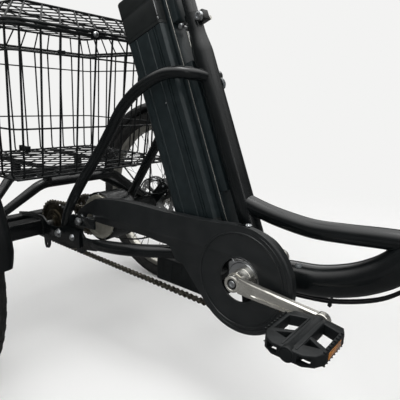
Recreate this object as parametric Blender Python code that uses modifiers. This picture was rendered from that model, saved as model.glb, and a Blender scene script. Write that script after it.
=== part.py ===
# Electric tricycle: step-through frame, rear hub motor, wire basket, three spoked wheels.
# Metres, +Z up, +X forward, +Y to the rider's left. It is built from a point on the floor under
# the rear axle, and the last lines move it so that the origin is in the middle of its length.

import bpy
import bmesh
import math
from mathutils import Matrix, Vector
from mathutils.geometry import delaunay_2d_cdt

# Wheels
TYRE_RADIUS = 0.305
TYRE_WIDTH = 0.054
RIM_RADIUS = 0.2595
RIM_WIDTH = 0.033
RIM_DEPTH = 0.024
HUB_WIDTH = 0.068
FRONT_HUB_WIDTH = 0.072
FLANGE_INSET = 0.0100
HUB_FLANGE_RADIUS = 0.031
HUB_SHELL_RADIUS = 0.019
SPOKES = 20
SPOKE_RADIUS = 0.0009
ROTOR_RADIUS = 0.080
ROTOR_THICKNESS = 0.0024
WHEEL_SEGMENTS = 28

# Where the wheels stand
HALF_TRACK = 0.375
WHEELBASE = 1.265

# Rear axle and its carrier
AXLE_RADIUS = 0.0085
HOUSING_SIZE = 0.040
HOUSING_WALL = 0.003
HOUSING_END = 0.316
PLATE_THICKNESS = 0.005
PLATE_Y = 0.1078
CARRIER_TUBE = 0.0125
ARCH_TOP_Z = 0.4255
ARCH_KNEE_Y = 0.116
ARCH_FOOT_Y = 0.262
RAIL_Y = 0.100
RAIL_WIDTH = 0.018

# Frame
BB_X = 0.613
BB_Z = 0.326
BB_SHELL_RADIUS = 0.0225
BB_SHELL_WIDTH = 0.068
SEAT_TUBE_FOOT_X = 0.622
SEAT_ANGLE = 67.4
SEAT_TUBE_RADIUS = 0.021
SEAT_NECK_RADIUS = 0.0165
SEAT_TUBE_LENGTH = 0.525
MAIN_TUBE_RADIUS = 0.029
UPPER_TUBE_RADIUS = 0.0175
STAY_RADIUS = 0.012
CHAIN_STAY_RADIUS = 0.0145
HEAD_ANGLE = 68.0
HEAD_TUBE_RADIUS = 0.0215
HEAD_TUBE_LENGTH = 0.150
FORK_OFFSET = 0.045
STEERER_RADIUS = 0.0127

# Drive
CHAIN_PITCH = 0.0127
CHAIN_HALF_HEIGHT = 0.0042
CHAIN_PLATE = 0.0014
CHAIN_INNER_WIDTH = 0.0042
ROLLER_HALF = 0.0020
RING_TEETH = 40
FREEWHEEL_TEETH = 28
CHAIN_LINE = 0.060
RING_THICKNESS = 0.0024
CRANK_LENGTH = 0.170
CRANK_DROP = 3.0
CRANK_Y = 0.092
SPINDLE_RADIUS = 0.008
GUARD_Y = 0.0715
GUARD_THICKNESS = 0.003
GUARD_RADIUS = 0.107
GUARD_OPENING = 0.0425
PEDAL_LENGTH = 0.100
PEDAL_WIDTH = 0.092
PEDAL_HEIGHT = 0.024

# Motor
MOTOR_X = 0.172
MOTOR_Z = 0.352
MOTOR_RADIUS = 0.062
MOTOR_COVER_RADIUS = 0.056
MOTOR_AXLE_RADIUS = 0.006
MOTOR_TEETH = 16
AXLE_TEETH = 28
MOTOR_CHAIN_LINE = 0.048

# Battery, measured back from the seat tube's axis and up along it
BATTERY_FRONT = 0.055
BATTERY_DEPTH = 0.100
BATTERY_WIDTH = 0.086
BATTERY_FOOT = 0.100
BATTERY_SEAM = 0.535
BATTERY_TOP = 0.620

# Basket and lid
BASKET_FLOOR_Z = 0.470
BASKET_RIM_Z = 0.778
BASKET_RINGS = (0.727, 0.576)
BASKET_FRONT_TOP = 0.207
BASKET_FRONT_FLOOR = 0.172
BASKET_BACK_TOP = -0.278
BASKET_BACK_FLOOR = -0.266
BASKET_HALF_TOP = 0.268
BASKET_HALF_FLOOR = 0.255
WIRE_HALF = 0.0017
RIM_HALF = 0.0034
WIRES_ACROSS = 9
WIRES_ALONG = 7
LID_WIRES = 7
LID_RISE = 0.042
LID_INSET = 0.042
LATCH_Y = 0.128

# Seat
POST_RADIUS = 0.0136
POST_TOP = 0.660
SADDLE_LENGTH = 0.265
SADDLE_WIDTH = 0.235

# Bar
BAR_RADIUS = 0.0111
GRIP_RADIUS = 0.0165
GRIP_LENGTH = 0.115

# Fenders
FENDER_RADIUS = 0.3335
FENDER_HALF_WIDTH = 0.036
FENDER_WALL = 0.0016
FENDER_END = 165.0

# Gaps between neighbours
FIT_GAP = 0.0003

seat_up = Vector((-math.cos(math.radians(SEAT_ANGLE)), 0, math.sin(math.radians(SEAT_ANGLE))))
seat_back = Vector((-seat_up.z, 0, seat_up.x))
seat_foot = Vector((SEAT_TUBE_FOOT_X, 0, BB_Z))
head_up = Vector((-math.cos(math.radians(HEAD_ANGLE)), 0, math.sin(math.radians(HEAD_ANGLE))))
head_front = Vector((head_up.z, 0, -head_up.x))
front_hub = Vector((WHEELBASE, 0, TYRE_RADIUS))
head_foot = front_hub - FORK_OFFSET * head_front
rear_hub = Vector((0, 0, TYRE_RADIUS))
bb = Vector((BB_X, 0, BB_Z))
motor = Vector((MOTOR_X, 0, MOTOR_Z))


for old in list(bpy.data.objects):
    bpy.data.objects.remove(old)
parts = bpy.data.collections.new("electric_tricycle")
tools = bpy.data.collections.new("cutters")
bpy.context.scene.collection.children.link(parts)
bpy.context.scene.collection.children.link(tools)


# Materials

def linear(channel):
    return channel / 12.92 if channel <= 0.04045 else ((channel + 0.055) / 1.055) ** 2.4


def material(name, colour, roughness, metallic):
    """A Principled material from an sRGB hex colour."""
    mat = bpy.data.materials.new(name)
    mat.use_nodes = True
    rgb = [linear(int(colour[i:i + 2], 16) / 255) for i in (0, 2, 4)]
    shader = mat.node_tree.nodes["Principled BSDF"]
    shader.inputs["Base Color"].default_value = (*rgb, 1)
    shader.inputs["Roughness"].default_value = roughness
    shader.inputs["Metallic"].default_value = metallic
    mat.diffuse_color = (*rgb, 1)
    return mat


powder_black = material("powder_coated_steel", "1c2224", 0.42, 0.0)
plastic_black = material("moulded_black_plastic", "26292a", 0.5, 0.0)
guard_black = material("matte_guard_plastic", "2f3030", 0.6, 0.0)
rubber_black = material("tyre_rubber", "161718", 0.85, 0.0)
rim_silver = material("anodised_rim_aluminium", "bdbab0", 0.35, 0.9)
polished = material("polished_aluminium", "c9c8c0", 0.25, 1.0)
zinc = material("zinc_plated_steel", "b9bcbc", 0.35, 1.0)
steel = material("brushed_steel", "a9aaa6", 0.35, 1.0)
chain_steel = material("oiled_chain_steel", "3c3a32", 0.4, 0.9)
bronze_steel = material("bronze_sprocket_steel", "4a4436", 0.4, 0.9)
motor_silver = material("cast_motor_aluminium", "b5b3a5", 0.4, 0.8)
battery_black = material("anodised_battery_aluminium", "2c3234", 0.4, 0.6)
saddle_black = material("saddle_cover", "202122", 0.6, 0.0)
cable_black = material("cable_sheath", "141516", 0.5, 0.0)
disc_steel = material("brake_disc_steel", "9c9d9a", 0.3, 1.0)


# Making and joining

def put(name, mesh, collection=tools):
    obj = bpy.data.objects.new(name, mesh)
    collection.objects.link(obj)
    return obj


def tidy(mesh):
    """Weld loose caps and turn every face outwards."""
    bm = bmesh.new()
    bm.from_mesh(mesh)
    bmesh.ops.remove_doubles(bm, verts=bm.verts, dist=0.00002)
    bmesh.ops.recalc_face_normals(bm, faces=bm.faces)
    bm.to_mesh(mesh)
    bm.free()


def as_mesh(obj):
    """Replace a curve or a modified object with its evaluated mesh, in world space."""
    bpy.context.view_layer.update()
    evaluated = obj.evaluated_get(bpy.context.evaluated_depsgraph_get())
    mesh = bpy.data.meshes.new_from_object(evaluated)
    mesh.transform(obj.matrix_world)
    tidy(mesh)
    name = obj.name
    bpy.data.objects.remove(obj)
    return put(name, mesh)


def combine(target, others, operation="UNION"):
    """Join or cut target with each of the others, which are used up."""
    for other in others:
        step = target.modifiers.new("joint", "BOOLEAN")
        step.operation = operation
        step.object = other
    result = as_mesh(target)
    for other in others:
        bpy.data.objects.remove(other)
    return result


def tube(name, points, radius, resolution=3, radii=None):
    """A round bar along points; radii gives each point its own radius."""
    curve = bpy.data.curves.new(name, "CURVE")
    curve.dimensions = "3D"
    curve.bevel_depth = radius
    curve.bevel_resolution = resolution
    curve.use_fill_caps = True
    spline = curve.splines.new("POLY")
    spline.points.add(len(points) - 1)
    for index, place in enumerate(points):
        spline.points[index].co = (*place, 1)
        if radii:
            spline.points[index].radius = radii[index] / radius
    return as_mesh(put(name, curve))


def rod(name, start, end, radius, resolution=4):
    return tube(name, [Vector(start), Vector(end)], radius, resolution)


def turned(name, profile, centre, axis=(0, 1, 0), steps=24, ring=False):
    """Turn a profile of (radius, height) pairs about the axis through centre."""
    mesh = bpy.data.meshes.new(name)
    count = len(profile)
    edges = [(i, i + 1) for i in range(count - 1)]
    if ring:
        edges.append((count - 1, 0))
    mesh.from_pydata([(radius, 0, height) for radius, height in profile], edges, [])
    obj = put(name, mesh)
    screw = obj.modifiers.new("turn", "SCREW")
    screw.steps = steps
    screw.render_steps = steps
    screw.use_merge_vertices = True
    screw.merge_threshold = 0.00001
    obj.rotation_mode = "QUATERNION"
    obj.rotation_quaternion = Vector((0, 0, 1)).rotation_difference(Vector(axis))
    obj.location = centre
    return as_mesh(obj)


def plate(name, outlines, thickness, centre_y):
    """A flat piece in the XZ plane: the first outline is its edge, the others are holes."""
    curve = bpy.data.curves.new(name, "CURVE")
    curve.dimensions = "2D"
    curve.fill_mode = "BOTH"
    curve.extrude = thickness / 2
    for outline in outlines:
        spline = curve.splines.new("POLY")
        spline.points.add(len(outline) - 1)
        spline.use_cyclic_u = True
        for point, (x, z) in zip(spline.points, outline):
            point.co = (x, z, 0, 1)
    obj = put(name, curve)
    obj.rotation_euler = (math.radians(90), 0, 0)
    obj.location = (0, centre_y, 0)
    return as_mesh(obj)


def box(name, low, high, bevel=0.0):
    mesh = bpy.data.meshes.new(name)
    bm = bmesh.new()
    bmesh.ops.create_cube(bm, size=1)
    size = Vector(high) - Vector(low)
    middle = (Vector(high) + Vector(low)) / 2
    for vert in bm.verts:
        vert.co = Vector(c * s for c, s in zip(vert.co, size)) + middle
    if bevel:
        bmesh.ops.bevel(bm, geom=bm.edges[:], offset=bevel, segments=1, affect="EDGES")
    bm.to_mesh(mesh)
    bm.free()
    return put(name, mesh)


def bars(name, pairs, half, sides=4):
    """Straight wires of square or three-sided section, one for each pair of ends."""
    mesh = bpy.data.meshes.new(name)
    bm = bmesh.new()
    for start, end in pairs:
        start, end = Vector(start), Vector(end)
        along = end - start
        turn = Vector((0, 0, 1)).rotation_difference(along).to_matrix().to_4x4()
        radius = half / math.cos(math.pi / sides)
        place = Matrix.Translation((start + end) / 2) @ turn @ Matrix.Rotation(math.pi / sides, 4, "Z")
        bmesh.ops.create_cone(bm, cap_ends=True, segments=sides, radius1=radius, radius2=radius,
                              depth=along.length, matrix=place)
    bm.to_mesh(mesh)
    bm.free()
    return put(name, mesh)


def circle(x, z, radius, count, start=0.0):
    return [(x + radius * math.cos(start + 2 * math.pi * i / count),
             z + radius * math.sin(start + 2 * math.pi * i / count)) for i in range(count)]


def smooth_path(points, per_span):
    """Points read from a Catmull-Rom curve through the given points."""
    points = [Vector(p) for p in points]
    padded = [2 * points[0] - points[1]] + points + [2 * points[-1] - points[-2]]
    path = []
    for i in range(1, len(padded) - 2):
        a, b, c, d = padded[i - 1:i + 3]
        for k in range(per_span):
            t = k / per_span
            path.append(0.5 * (2 * b + (c - a) * t + (2 * a - 5 * b + 4 * c - d) * t ** 2
                               + (3 * b - a - 3 * c + d) * t ** 3))
    path.append(points[-1])
    return path


def bent_path(points, radius, steps):
    """Straight runs through points, with each inner corner rounded to the bend radius."""
    points = [Vector(p) for p in points]
    path = [points[0]]
    for before, corner, after in zip(points, points[1:], points[2:]):
        back = (before - corner).normalized()
        on = (after - corner).normalized()
        half = back.angle(on) / 2
        reach = radius / math.tan(half)
        middle = corner + (back + on).normalized() * radius / math.sin(half)
        first = (corner + back * reach - middle).normalized()
        last = (corner + on * reach - middle).normalized()
        for k in range(steps + 1):
            path.append(middle + radius * first.slerp(last, k / steps))
    path.append(points[-1])
    return path


def mirrored(point):
    return Vector((point[0], -point[1], point[2]))


def along_seat(up, back=0.0, side=0.0):
    """A point given up the seat tube's axis, back from it and to the left of it."""
    return seat_foot + seat_up * up + seat_back * back + Vector((0, side, 0))


def along_head(up, front=0.0, side=0.0):
    return head_foot + head_up * up + head_front * front + Vector((0, side, 0))


def hand_in(obj, name, mat, pivot=None, smooth=True, origin=(0, 0, 0)):
    """Name a finished piece, give it its material and origin, and hang it on its pivot."""
    obj.name = name
    obj.data.name = name
    obj.data.materials.clear()
    obj.data.materials.append(mat)
    if smooth:
        obj.data.shade_smooth()
        obj.data.set_sharp_from_angle(angle=math.radians(38))
    origin = Vector(pivot.location if pivot else origin)
    obj.data.transform(Matrix.Translation(-origin))
    obj.location = origin
    tools.objects.unlink(obj)
    parts.objects.link(obj)
    if pivot:
        obj.parent = pivot
        obj.matrix_parent_inverse = Matrix.Translation(-origin)
    return obj


def pivot_at(name, place):
    empty = bpy.data.objects.new(name, None)
    empty.location = place
    empty.empty_display_size = 0.05
    parts.objects.link(empty)
    return empty


steering_axis = pivot_at("steering_axis", along_head(0.45))
crank_axis = pivot_at("crank_axis", bb)
rear_axis = pivot_at("rear_axle_axis", rear_hub)
right_wheel_axis = pivot_at("right_wheel_axis", rear_hub + Vector((0, -HALF_TRACK, 0)))
freewheel_axis = pivot_at("freewheel_axis", rear_hub + Vector((0, -CHAIN_LINE, 0)))
motor_axis = pivot_at("motor_axis", motor)
front_axis = pivot_at("front_wheel_axis", front_hub)
post_axis = pivot_at("seat_post_axis", along_seat(SEAT_TUBE_LENGTH))
battery_axis = pivot_at("battery_axis", along_seat(BATTERY_FOOT, BATTERY_FRONT))
lid_axis = pivot_at("lid_axis", (BASKET_BACK_TOP - RIM_HALF - 0.002, 0, BASKET_RIM_Z))


# Wheels

def tyre(name, centre, pivot):
    half = TYRE_WIDTH / 2
    seat = RIM_RADIUS + FIT_GAP
    depth = TYRE_RADIUS - seat
    profile = [(seat, -RIM_WIDTH / 2), (seat, RIM_WIDTH / 2), (seat + 0.45 * depth, half),
               (TYRE_RADIUS, 0.42 * half), (TYRE_RADIUS, -0.42 * half), (seat + 0.45 * depth, -half)]
    obj = turned(name, profile, centre, steps=WHEEL_SEGMENTS, ring=True)
    hand_in(obj, name, rubber_black, pivot)


def rim(name, centre, pivot):
    half = RIM_WIDTH / 2
    inner = RIM_RADIUS - RIM_DEPTH
    profile = [(RIM_RADIUS, half), (RIM_RADIUS, -half), (inner, -0.55 * half), (inner, 0.55 * half)]
    obj = turned(name, profile, centre, steps=WHEEL_SEGMENTS, ring=True)
    hand_in(obj, name, rim_silver, pivot)


def hub(name, centre, pivot, bore, width=HUB_WIDTH):
    """A flanged hub shell with its laced spokes, bored for its axle."""
    half = width / 2
    flange = half - FLANGE_INSET
    profile = [(bore, -half), (bore + 0.0075, -half), (HUB_FLANGE_RADIUS, -flange - 0.0017),
               (HUB_FLANGE_RADIUS, -flange + 0.0017), (HUB_SHELL_RADIUS, -flange + 0.0060),
               (HUB_SHELL_RADIUS, flange - 0.0060), (HUB_FLANGE_RADIUS, flange - 0.0017),
               (HUB_FLANGE_RADIUS, flange + 0.0017), (bore + 0.0075, half), (bore, half)]
    shell = turned(name, profile, centre, steps=10, ring=True)
    inner = RIM_RADIUS - RIM_DEPTH - FIT_GAP
    reach = inner * math.cos(math.pi / WHEEL_SEGMENTS) - SPOKE_RADIUS
    start = HUB_FLANGE_RADIUS - 0.0055
    pairs = []
    for i in range(SPOKES):
        side = 1 if i % 2 else -1
        lead = 1 if (i // 2) % 2 else -1
        rim_angle = 2 * math.pi * i / SPOKES
        hub_angle = rim_angle + lead * math.radians(50)
        offset = side * (flange + lead * 0.0014)
        pairs.append((centre + Vector((start * math.cos(hub_angle), offset, start * math.sin(hub_angle))),
                      centre + Vector((reach * math.cos(rim_angle), side * 0.003,
                                       reach * math.sin(rim_angle)))))
    spokes = bars("spokes", pairs, SPOKE_RADIUS, sides=3)
    hand_in(combine(shell, [spokes]), name, polished, pivot)


def rotor(name, centre, y, side, pivot, bore):
    """A brake disc with a scalloped rim and wide windows between its arms."""
    edge = []
    for i in range(16):
        angle = 2 * math.pi * i / 16
        radius = ROTOR_RADIUS - (0.0016 if i % 2 else 0)
        edge.append((centre.x + radius * math.cos(angle), centre.z + radius * math.sin(angle)))
    windows = []
    for i in range(4):
        mid = 2 * math.pi * i / 4
        window = []
        for r, spread in ((0.030, -0.52), (0.062, -0.62), (0.062, 0.62), (0.030, 0.52)):
            window.append((centre.x + r * math.cos(mid + spread), centre.z + r * math.sin(mid + spread)))
        windows.append(window)
    hole = circle(centre.x, centre.z, bore, 12)
    obj = plate(name, [edge, hole] + windows, ROTOR_THICKNESS, side * y)
    hand_in(obj, name, disc_steel, pivot, smooth=False)


left_hub = rear_hub + Vector((0, HALF_TRACK, 0))
right_hub = rear_hub + Vector((0, -HALF_TRACK, 0))
rear_rotor_y = HALF_TRACK - HUB_WIDTH / 2 - FIT_GAP - ROTOR_THICKNESS / 2
front_rotor_y = FRONT_HUB_WIDTH / 2 + FIT_GAP + ROTOR_THICKNESS / 2
front_axle_radius = 0.005

for side_name, centre, pivot, bore, width in (
        ("left", left_hub, rear_axis, AXLE_RADIUS, HUB_WIDTH),
        ("right", right_hub, right_wheel_axis, AXLE_RADIUS, HUB_WIDTH),
        ("front", front_hub, front_axis, front_axle_radius, FRONT_HUB_WIDTH)):
    tyre(f"tyre_{side_name}", centre, pivot)
    rim(f"rim_{side_name}", centre, pivot)
    hub(f"hub_{side_name}", centre, pivot, bore + 3 * FIT_GAP, width)
rotor("rotor_left", rear_hub, rear_rotor_y, 1, rear_axis, AXLE_RADIUS + FIT_GAP)
rotor("rotor_right", rear_hub, rear_rotor_y, -1, right_wheel_axis, AXLE_RADIUS + FIT_GAP)
rotor("rotor_front", front_hub, front_rotor_y, 1, front_axis, front_axle_radius + FIT_GAP)


# Chain drive

def pitch_radius(teeth):
    return CHAIN_PITCH / (2 * math.sin(math.pi / teeth))


def sprocket_outline(centre, teeth, phase):
    """Pointed teeth between gaps that each hold one roller."""
    radius = pitch_radius(teeth)
    root, tip = radius - 0.0048, radius + 0.0030
    step = 2 * math.pi / teeth
    outline = []
    for i in range(teeth):
        angle = phase + i * step
        for share, reach in ((0, root), (0.5, tip)):
            turn = angle + share * step
            outline.append((centre.x + reach * math.cos(turn), centre.z + reach * math.sin(turn)))
    return outline


class ChainLoop:
    """The pitch line of a chain round two sprockets, and where its rollers sit."""

    def __init__(self, small, small_teeth, large, large_teeth):
        self.small, self.large = small, large
        self.r_small, self.r_large = pitch_radius(small_teeth), pitch_radius(large_teeth)
        span = large - small
        distance = math.hypot(span.x, span.z)
        self.base = math.atan2(span.z, span.x)
        lean = math.asin((self.r_large - self.r_small) / distance)
        self.top = self.base + math.pi / 2 + lean
        self.bottom = self.base - math.pi / 2 - lean
        self.run = distance * math.cos(lean)
        self.wrap_large = math.pi + 2 * lean
        self.wrap_small = math.pi - 2 * lean
        self.arc_large = self.wrap_large * self.r_large
        self.arc_small = self.wrap_small * self.r_small
        self.length = 2 * self.run + self.arc_large + self.arc_small
        self.places = self.rollers(small_teeth, large_teeth)

    def rollers(self, small_teeth, large_teeth):
        """Distances of the rollers: at every second gap on each sprocket, evenly spaced between them."""
        places = []
        for teeth, wrap, radius, start in (
                (large_teeth, self.wrap_large, self.r_large, 0),
                (small_teeth, self.wrap_small, self.r_small, self.arc_large + self.run)):
            step = 2 * math.pi / teeth
            reach = int(wrap / 4 / step)
            places.append([start + (wrap / 2 - 2 * k * step) * radius for k in range(reach, -reach - 1, -1)])
        on_large, on_small = places
        for first, last in ((on_large[-1], on_small[0]), (on_small[-1], on_large[0] + self.length)):
            step = 2 * CHAIN_PITCH
            span = last - first - 2 * step
            count = round(span / step)
            places.append([first + step + span * k / count for k in range(count + 1)])
        return sorted(d % self.length for run in places for d in run)

    def on(self, centre, radius, angle):
        return centre + radius * Vector((math.cos(angle), 0, math.sin(angle)))

    def at(self, distance):
        """The point at a distance from the large sprocket's top."""
        d = distance
        if d < self.arc_large:
            return self.on(self.large, self.r_large, self.top - d / self.r_large)
        d -= self.arc_large
        if d < self.run:
            return self.on(self.large, self.r_large, self.bottom).lerp(
                self.on(self.small, self.r_small, self.bottom), d / self.run)
        d -= self.run
        if d < self.arc_small:
            return self.on(self.small, self.r_small, self.bottom - d / self.r_small)
        d -= self.arc_small
        return self.on(self.small, self.r_small, self.top).lerp(
            self.on(self.large, self.r_large, self.top), d / self.run)

    def edge(self, offset):
        """The loop's outline at an offset from the pitch line, with points only on the arcs."""
        outline = []
        for centre, radius, start, wrap in ((self.large, self.r_large, self.top, self.wrap_large),
                                            (self.small, self.r_small, self.bottom, self.wrap_small)):
            count = max(12, round(0.7 * wrap * radius / CHAIN_PITCH))
            for k in range(count + 1):
                place = self.on(centre, radius + offset, start - wrap * k / count)
                outline.append((place.x, place.z))
        return outline


def chain(name, loop, centre_y):
    """Two side plates all round, held apart by three-sided rollers at every second pitch."""
    rings = [loop.edge(CHAIN_HALF_HEIGHT), loop.edge(-CHAIN_HALF_HEIGHT)]
    for distance in loop.places:
        place, near = loop.at(distance), loop.at((distance + 0.001) % loop.length)
        along = math.atan2(near.z - place.z, near.x - place.x)
        rings.append(circle(place.x, place.z, 1.35 * ROLLER_HALF, 3, along + math.pi / 2))
    flat = [Vector(point) for ring in rings for point in ring]
    starts, edges = [], []
    for ring in rings:
        first = len(edges)
        starts.append(first)
        edges += [(first + k, first + (k + 1) % len(ring)) for k in range(len(ring))]
    owner = [index for index, ring in enumerate(rings) for point in ring]
    found = delaunay_2d_cdt(flat, edges, [], 0, 1e-7)
    flat, faces = found[0], found[2]
    faces = [face for face in faces if len({owner[v] for v in face}) > 1 or owner[face[0]] == 0]
    count = len(flat)
    half_inner = CHAIN_INNER_WIDTH / 2
    levels = (centre_y - half_inner - CHAIN_PLATE, centre_y - half_inner,
              centre_y + half_inner, centre_y + half_inner + CHAIN_PLATE)
    verts = [(x, y, z) for y in levels for x, z in flat]
    solid = []
    for level in (1, 2):
        solid += [tuple(v + level * count for v in face) for face in faces]
    around = len(rings[0])
    for level in (0, 3):
        for k in range(around):
            ring = (k, (k + 1) % around, (k + 1) % around + around, k + around)
            solid.append(tuple(v + level * count for v in ring))
    for index, (first, ring) in enumerate(zip(starts, rings)):
        spans = ((0, 1), (2, 3)) if index < 2 else ((1, 2),)
        for low, high in spans:
            for k in range(len(ring)):
                here, there = first + k, first + (k + 1) % len(ring)
                solid.append((here + low * count, there + low * count,
                              there + high * count, here + high * count))
    mesh = bpy.data.meshes.new(name)
    mesh.from_pydata(verts, [], solid)
    bm = bmesh.new()
    bm.from_mesh(mesh)
    bmesh.ops.delete(bm, geom=[v for v in bm.verts if not v.link_faces], context="VERTS")
    bmesh.ops.recalc_face_normals(bm, faces=bm.faces)
    bm.to_mesh(mesh)
    bm.free()
    hand_in(put(name, mesh), name, chain_steel, smooth=False)


main_loop = ChainLoop(rear_hub, FREEWHEEL_TEETH, bb, RING_TEETH)
motor_loop = ChainLoop(motor, MOTOR_TEETH, rear_hub, AXLE_TEETH)
print("pitches in the drive chain", 2 * len(main_loop.places), "and the motor chain", 2 * len(motor_loop.places))
chain("drive_chain", main_loop, -CHAIN_LINE)
chain("motor_chain", motor_loop, MOTOR_CHAIN_LINE)


def sprocket(name, centre, teeth, phase, y, bore, windows=0, window_reach=(0.0, 0.0)):
    """A toothed plate with a round bore and an even ring of lightening windows."""
    outlines = [sprocket_outline(centre, teeth, phase), circle(centre.x, centre.z, bore, 20)]
    inner, outer = window_reach
    for i in range(windows):
        middle = 2 * math.pi * (i + 0.5) / windows
        spread = 0.62 * math.pi / windows
        outlines.append([(centre.x + r * math.cos(middle + a * spread),
                          centre.z + r * math.sin(middle + a * spread))
                         for r, a in ((inner, -0.8), (outer, -1), (outer, 0), (outer, 1), (inner, 0.8))])
    return plate(name, outlines, RING_THICKNESS, y)


obj = sprocket("chainring", bb, RING_TEETH, main_loop.base, -CHAIN_LINE, 0.0205, 5, (0.034, 0.066))
hand_in(obj, "chainring", steel, crank_axis, smooth=False)

obj = sprocket("freewheel", rear_hub, FREEWHEEL_TEETH, main_loop.base + math.pi, -CHAIN_LINE, 0.020)
body = turned("freewheel_body", [
    (AXLE_RADIUS + FIT_GAP, -0.072), (0.0180, -0.072), (0.0210, -0.069), (0.0335, -0.066),
    (0.0370, -0.0625), (0.0370, -0.0575), (0.0300, -0.052), (0.0240, -0.050),
    (AXLE_RADIUS + FIT_GAP, -0.050)], rear_hub, steps=16, ring=True)
hand_in(combine(obj, [body]), "freewheel", bronze_steel, freewheel_axis)

axle = turned("rear_axle", [
    (0, -HALF_TRACK - 0.047), (0.0065, -HALF_TRACK - 0.047), (0.0065, -HALF_TRACK - HUB_WIDTH / 2 - 0.001),
    (AXLE_RADIUS, -HALF_TRACK - HUB_WIDTH / 2 - 0.001), (AXLE_RADIUS, HALF_TRACK + HUB_WIDTH / 2 + 0.001),
    (0.0065, HALF_TRACK + HUB_WIDTH / 2 + 0.001), (0.0065, HALF_TRACK + 0.047), (0, HALF_TRACK + 0.047)],
    rear_hub, steps=12)
flange = turned("flange", [(0, MOTOR_CHAIN_LINE - 0.010), (0.019, MOTOR_CHAIN_LINE - 0.010),
                           (0.021, MOTOR_CHAIN_LINE), (0.019, MOTOR_CHAIN_LINE + 0.004),
                           (0, MOTOR_CHAIN_LINE + 0.004)], rear_hub, steps=12)
wheel_nuts = [turned("nut", [(0, y), (0.0125, y), (0.0125, y + 0.010), (0, y + 0.010)], rear_hub, steps=6)
              for y in (-HALF_TRACK - HUB_WIDTH / 2 - 0.0115, HALF_TRACK + HUB_WIDTH / 2 + 0.0015)]
obj = sprocket("axle_sprocket", rear_hub, AXLE_TEETH, motor_loop.base, MOTOR_CHAIN_LINE, 0.012)
hand_in(combine(axle, [flange, obj] + wheel_nuts), "rear_axle", zinc, rear_axis)


# Crankset and pedals

def arm_outline(start, start_radius, end, end_radius, count=5):
    """The outline round two circles and the straight sides between them."""
    along = math.atan2(end[1] - start[1], end[0] - start[0])
    outline = []
    for centre, radius, first in ((end, end_radius, along - math.pi / 2),
                                  (start, start_radius, along + math.pi / 2)):
        for k in range(count + 1):
            angle = first + math.pi * k / count
            outline.append((centre[0] + radius * math.cos(angle), centre[1] + radius * math.sin(angle)))
    return outline


drop = math.radians(CRANK_DROP)
pieces = []
eyes = {}
for side_name, side in (("right", -1), ("left", 1)):
    way = Vector((-side * math.cos(drop), 0, side * math.sin(drop)))
    eye = bb + CRANK_LENGTH * way
    eyes[side_name] = eye
    pieces.append(plate("arm", [arm_outline((bb.x, bb.z), 0.0185, (eye.x, eye.z), 0.0130)], 0.013,
                        side * CRANK_Y))
    pieces.append(rod("pin", eye + Vector((0, side * 0.090, 0)), eye + Vector((0, side * 0.2105, 0)), 0.0050, 2))
boss = turned("boss", [(0, -0.094), (0.0195, -0.094), (0.0200, -0.0575), (0.0135, -0.0555),
                       (0.0110, -0.036), (0, -0.036)], bb, steps=16)
spindle = rod("crankset", bb + Vector((0, -0.095, 0)), bb + Vector((0, 0.095, 0)), SPINDLE_RADIUS, 3)
hand_in(combine(spindle, [boss] + pieces), "crankset", polished, crank_axis)

for side_name, side in (("right", -1), ("left", 1)):
    eye = eyes[side_name]
    near, far = side * 0.1015, side * 0.2145
    low_y, high_y = min(near, far), max(near, far)
    half_w, half_h = PEDAL_WIDTH / 2, PEDAL_HEIGHT / 2
    body = box("pedal", (eye.x - half_w, low_y, eye.z - half_h), (eye.x + half_w, high_y, eye.z + half_h), 0.004)
    windows = []
    middle_y = (low_y + high_y) / 2
    for end in (-1, 1):
        for along in (-1, 1):
            x0, x1 = eye.x + end * 0.0125, eye.x + end * (half_w - 0.009)
            y0, y1 = middle_y + along * 0.006, middle_y + along * 0.046
            windows.append(box("window", (min(x0, x1), min(y0, y1), eye.z - 0.03),
                               (max(x0, x1), max(y0, y1), eye.z + 0.03)))
    windows.append(rod("bore", eye + Vector((0, side * 0.09, 0)), eye + Vector((0, side * 0.2108, 0)), 0.0056))
    pedal_axis = pivot_at(f"pedal_{side_name}_axis", eye + Vector((0, side * 0.158, 0)))
    hand_in(combine(body, windows, "DIFFERENCE"), f"pedal_{side_name}", plastic_black, pedal_axis, smooth=False)


# Motor

hub_profile = [
    (MOTOR_AXLE_RADIUS + FIT_GAP, -0.050), (0.0140, -0.050), (0.0200, -0.0460), (0.0440, -0.0465),
    (0.0475, -0.0490), (0.0545, -0.0490), (MOTOR_COVER_RADIUS, -0.0450), (MOTOR_RADIUS, -0.0440),
    (MOTOR_RADIUS, 0.0300), (0.0240, 0.0330), (0.0215, 0.0500), (MOTOR_AXLE_RADIUS + FIT_GAP, 0.0500)]
shell = turned("motor_hub", hub_profile, motor, steps=20, ring=True)
teeth = sprocket("motor_teeth", motor, MOTOR_TEETH, motor_loop.base + math.pi, MOTOR_CHAIN_LINE, 0.015)
hand_in(combine(shell, [teeth]), "motor_hub", motor_silver, motor_axis)

half_profile = [(0.0060, 0.1125), (0.0060, 0.1115), (0.0100, 0.1115), (0.0100, 0.1040), (0.0060, 0.1040),
                (0.0060, 0.0970), (0.0100, 0.0970), (0.0100, 0.0905), (0.0060, 0.0905)]
profile = [(0, 0.1125)] + half_profile + [(r, -y) for r, y in reversed(half_profile)] + [(0, -0.1125)]
axle = turned("motor_axle", profile, motor, steps=8)
hand_in(axle, "motor_axle", zinc)


# Main frame

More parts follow.
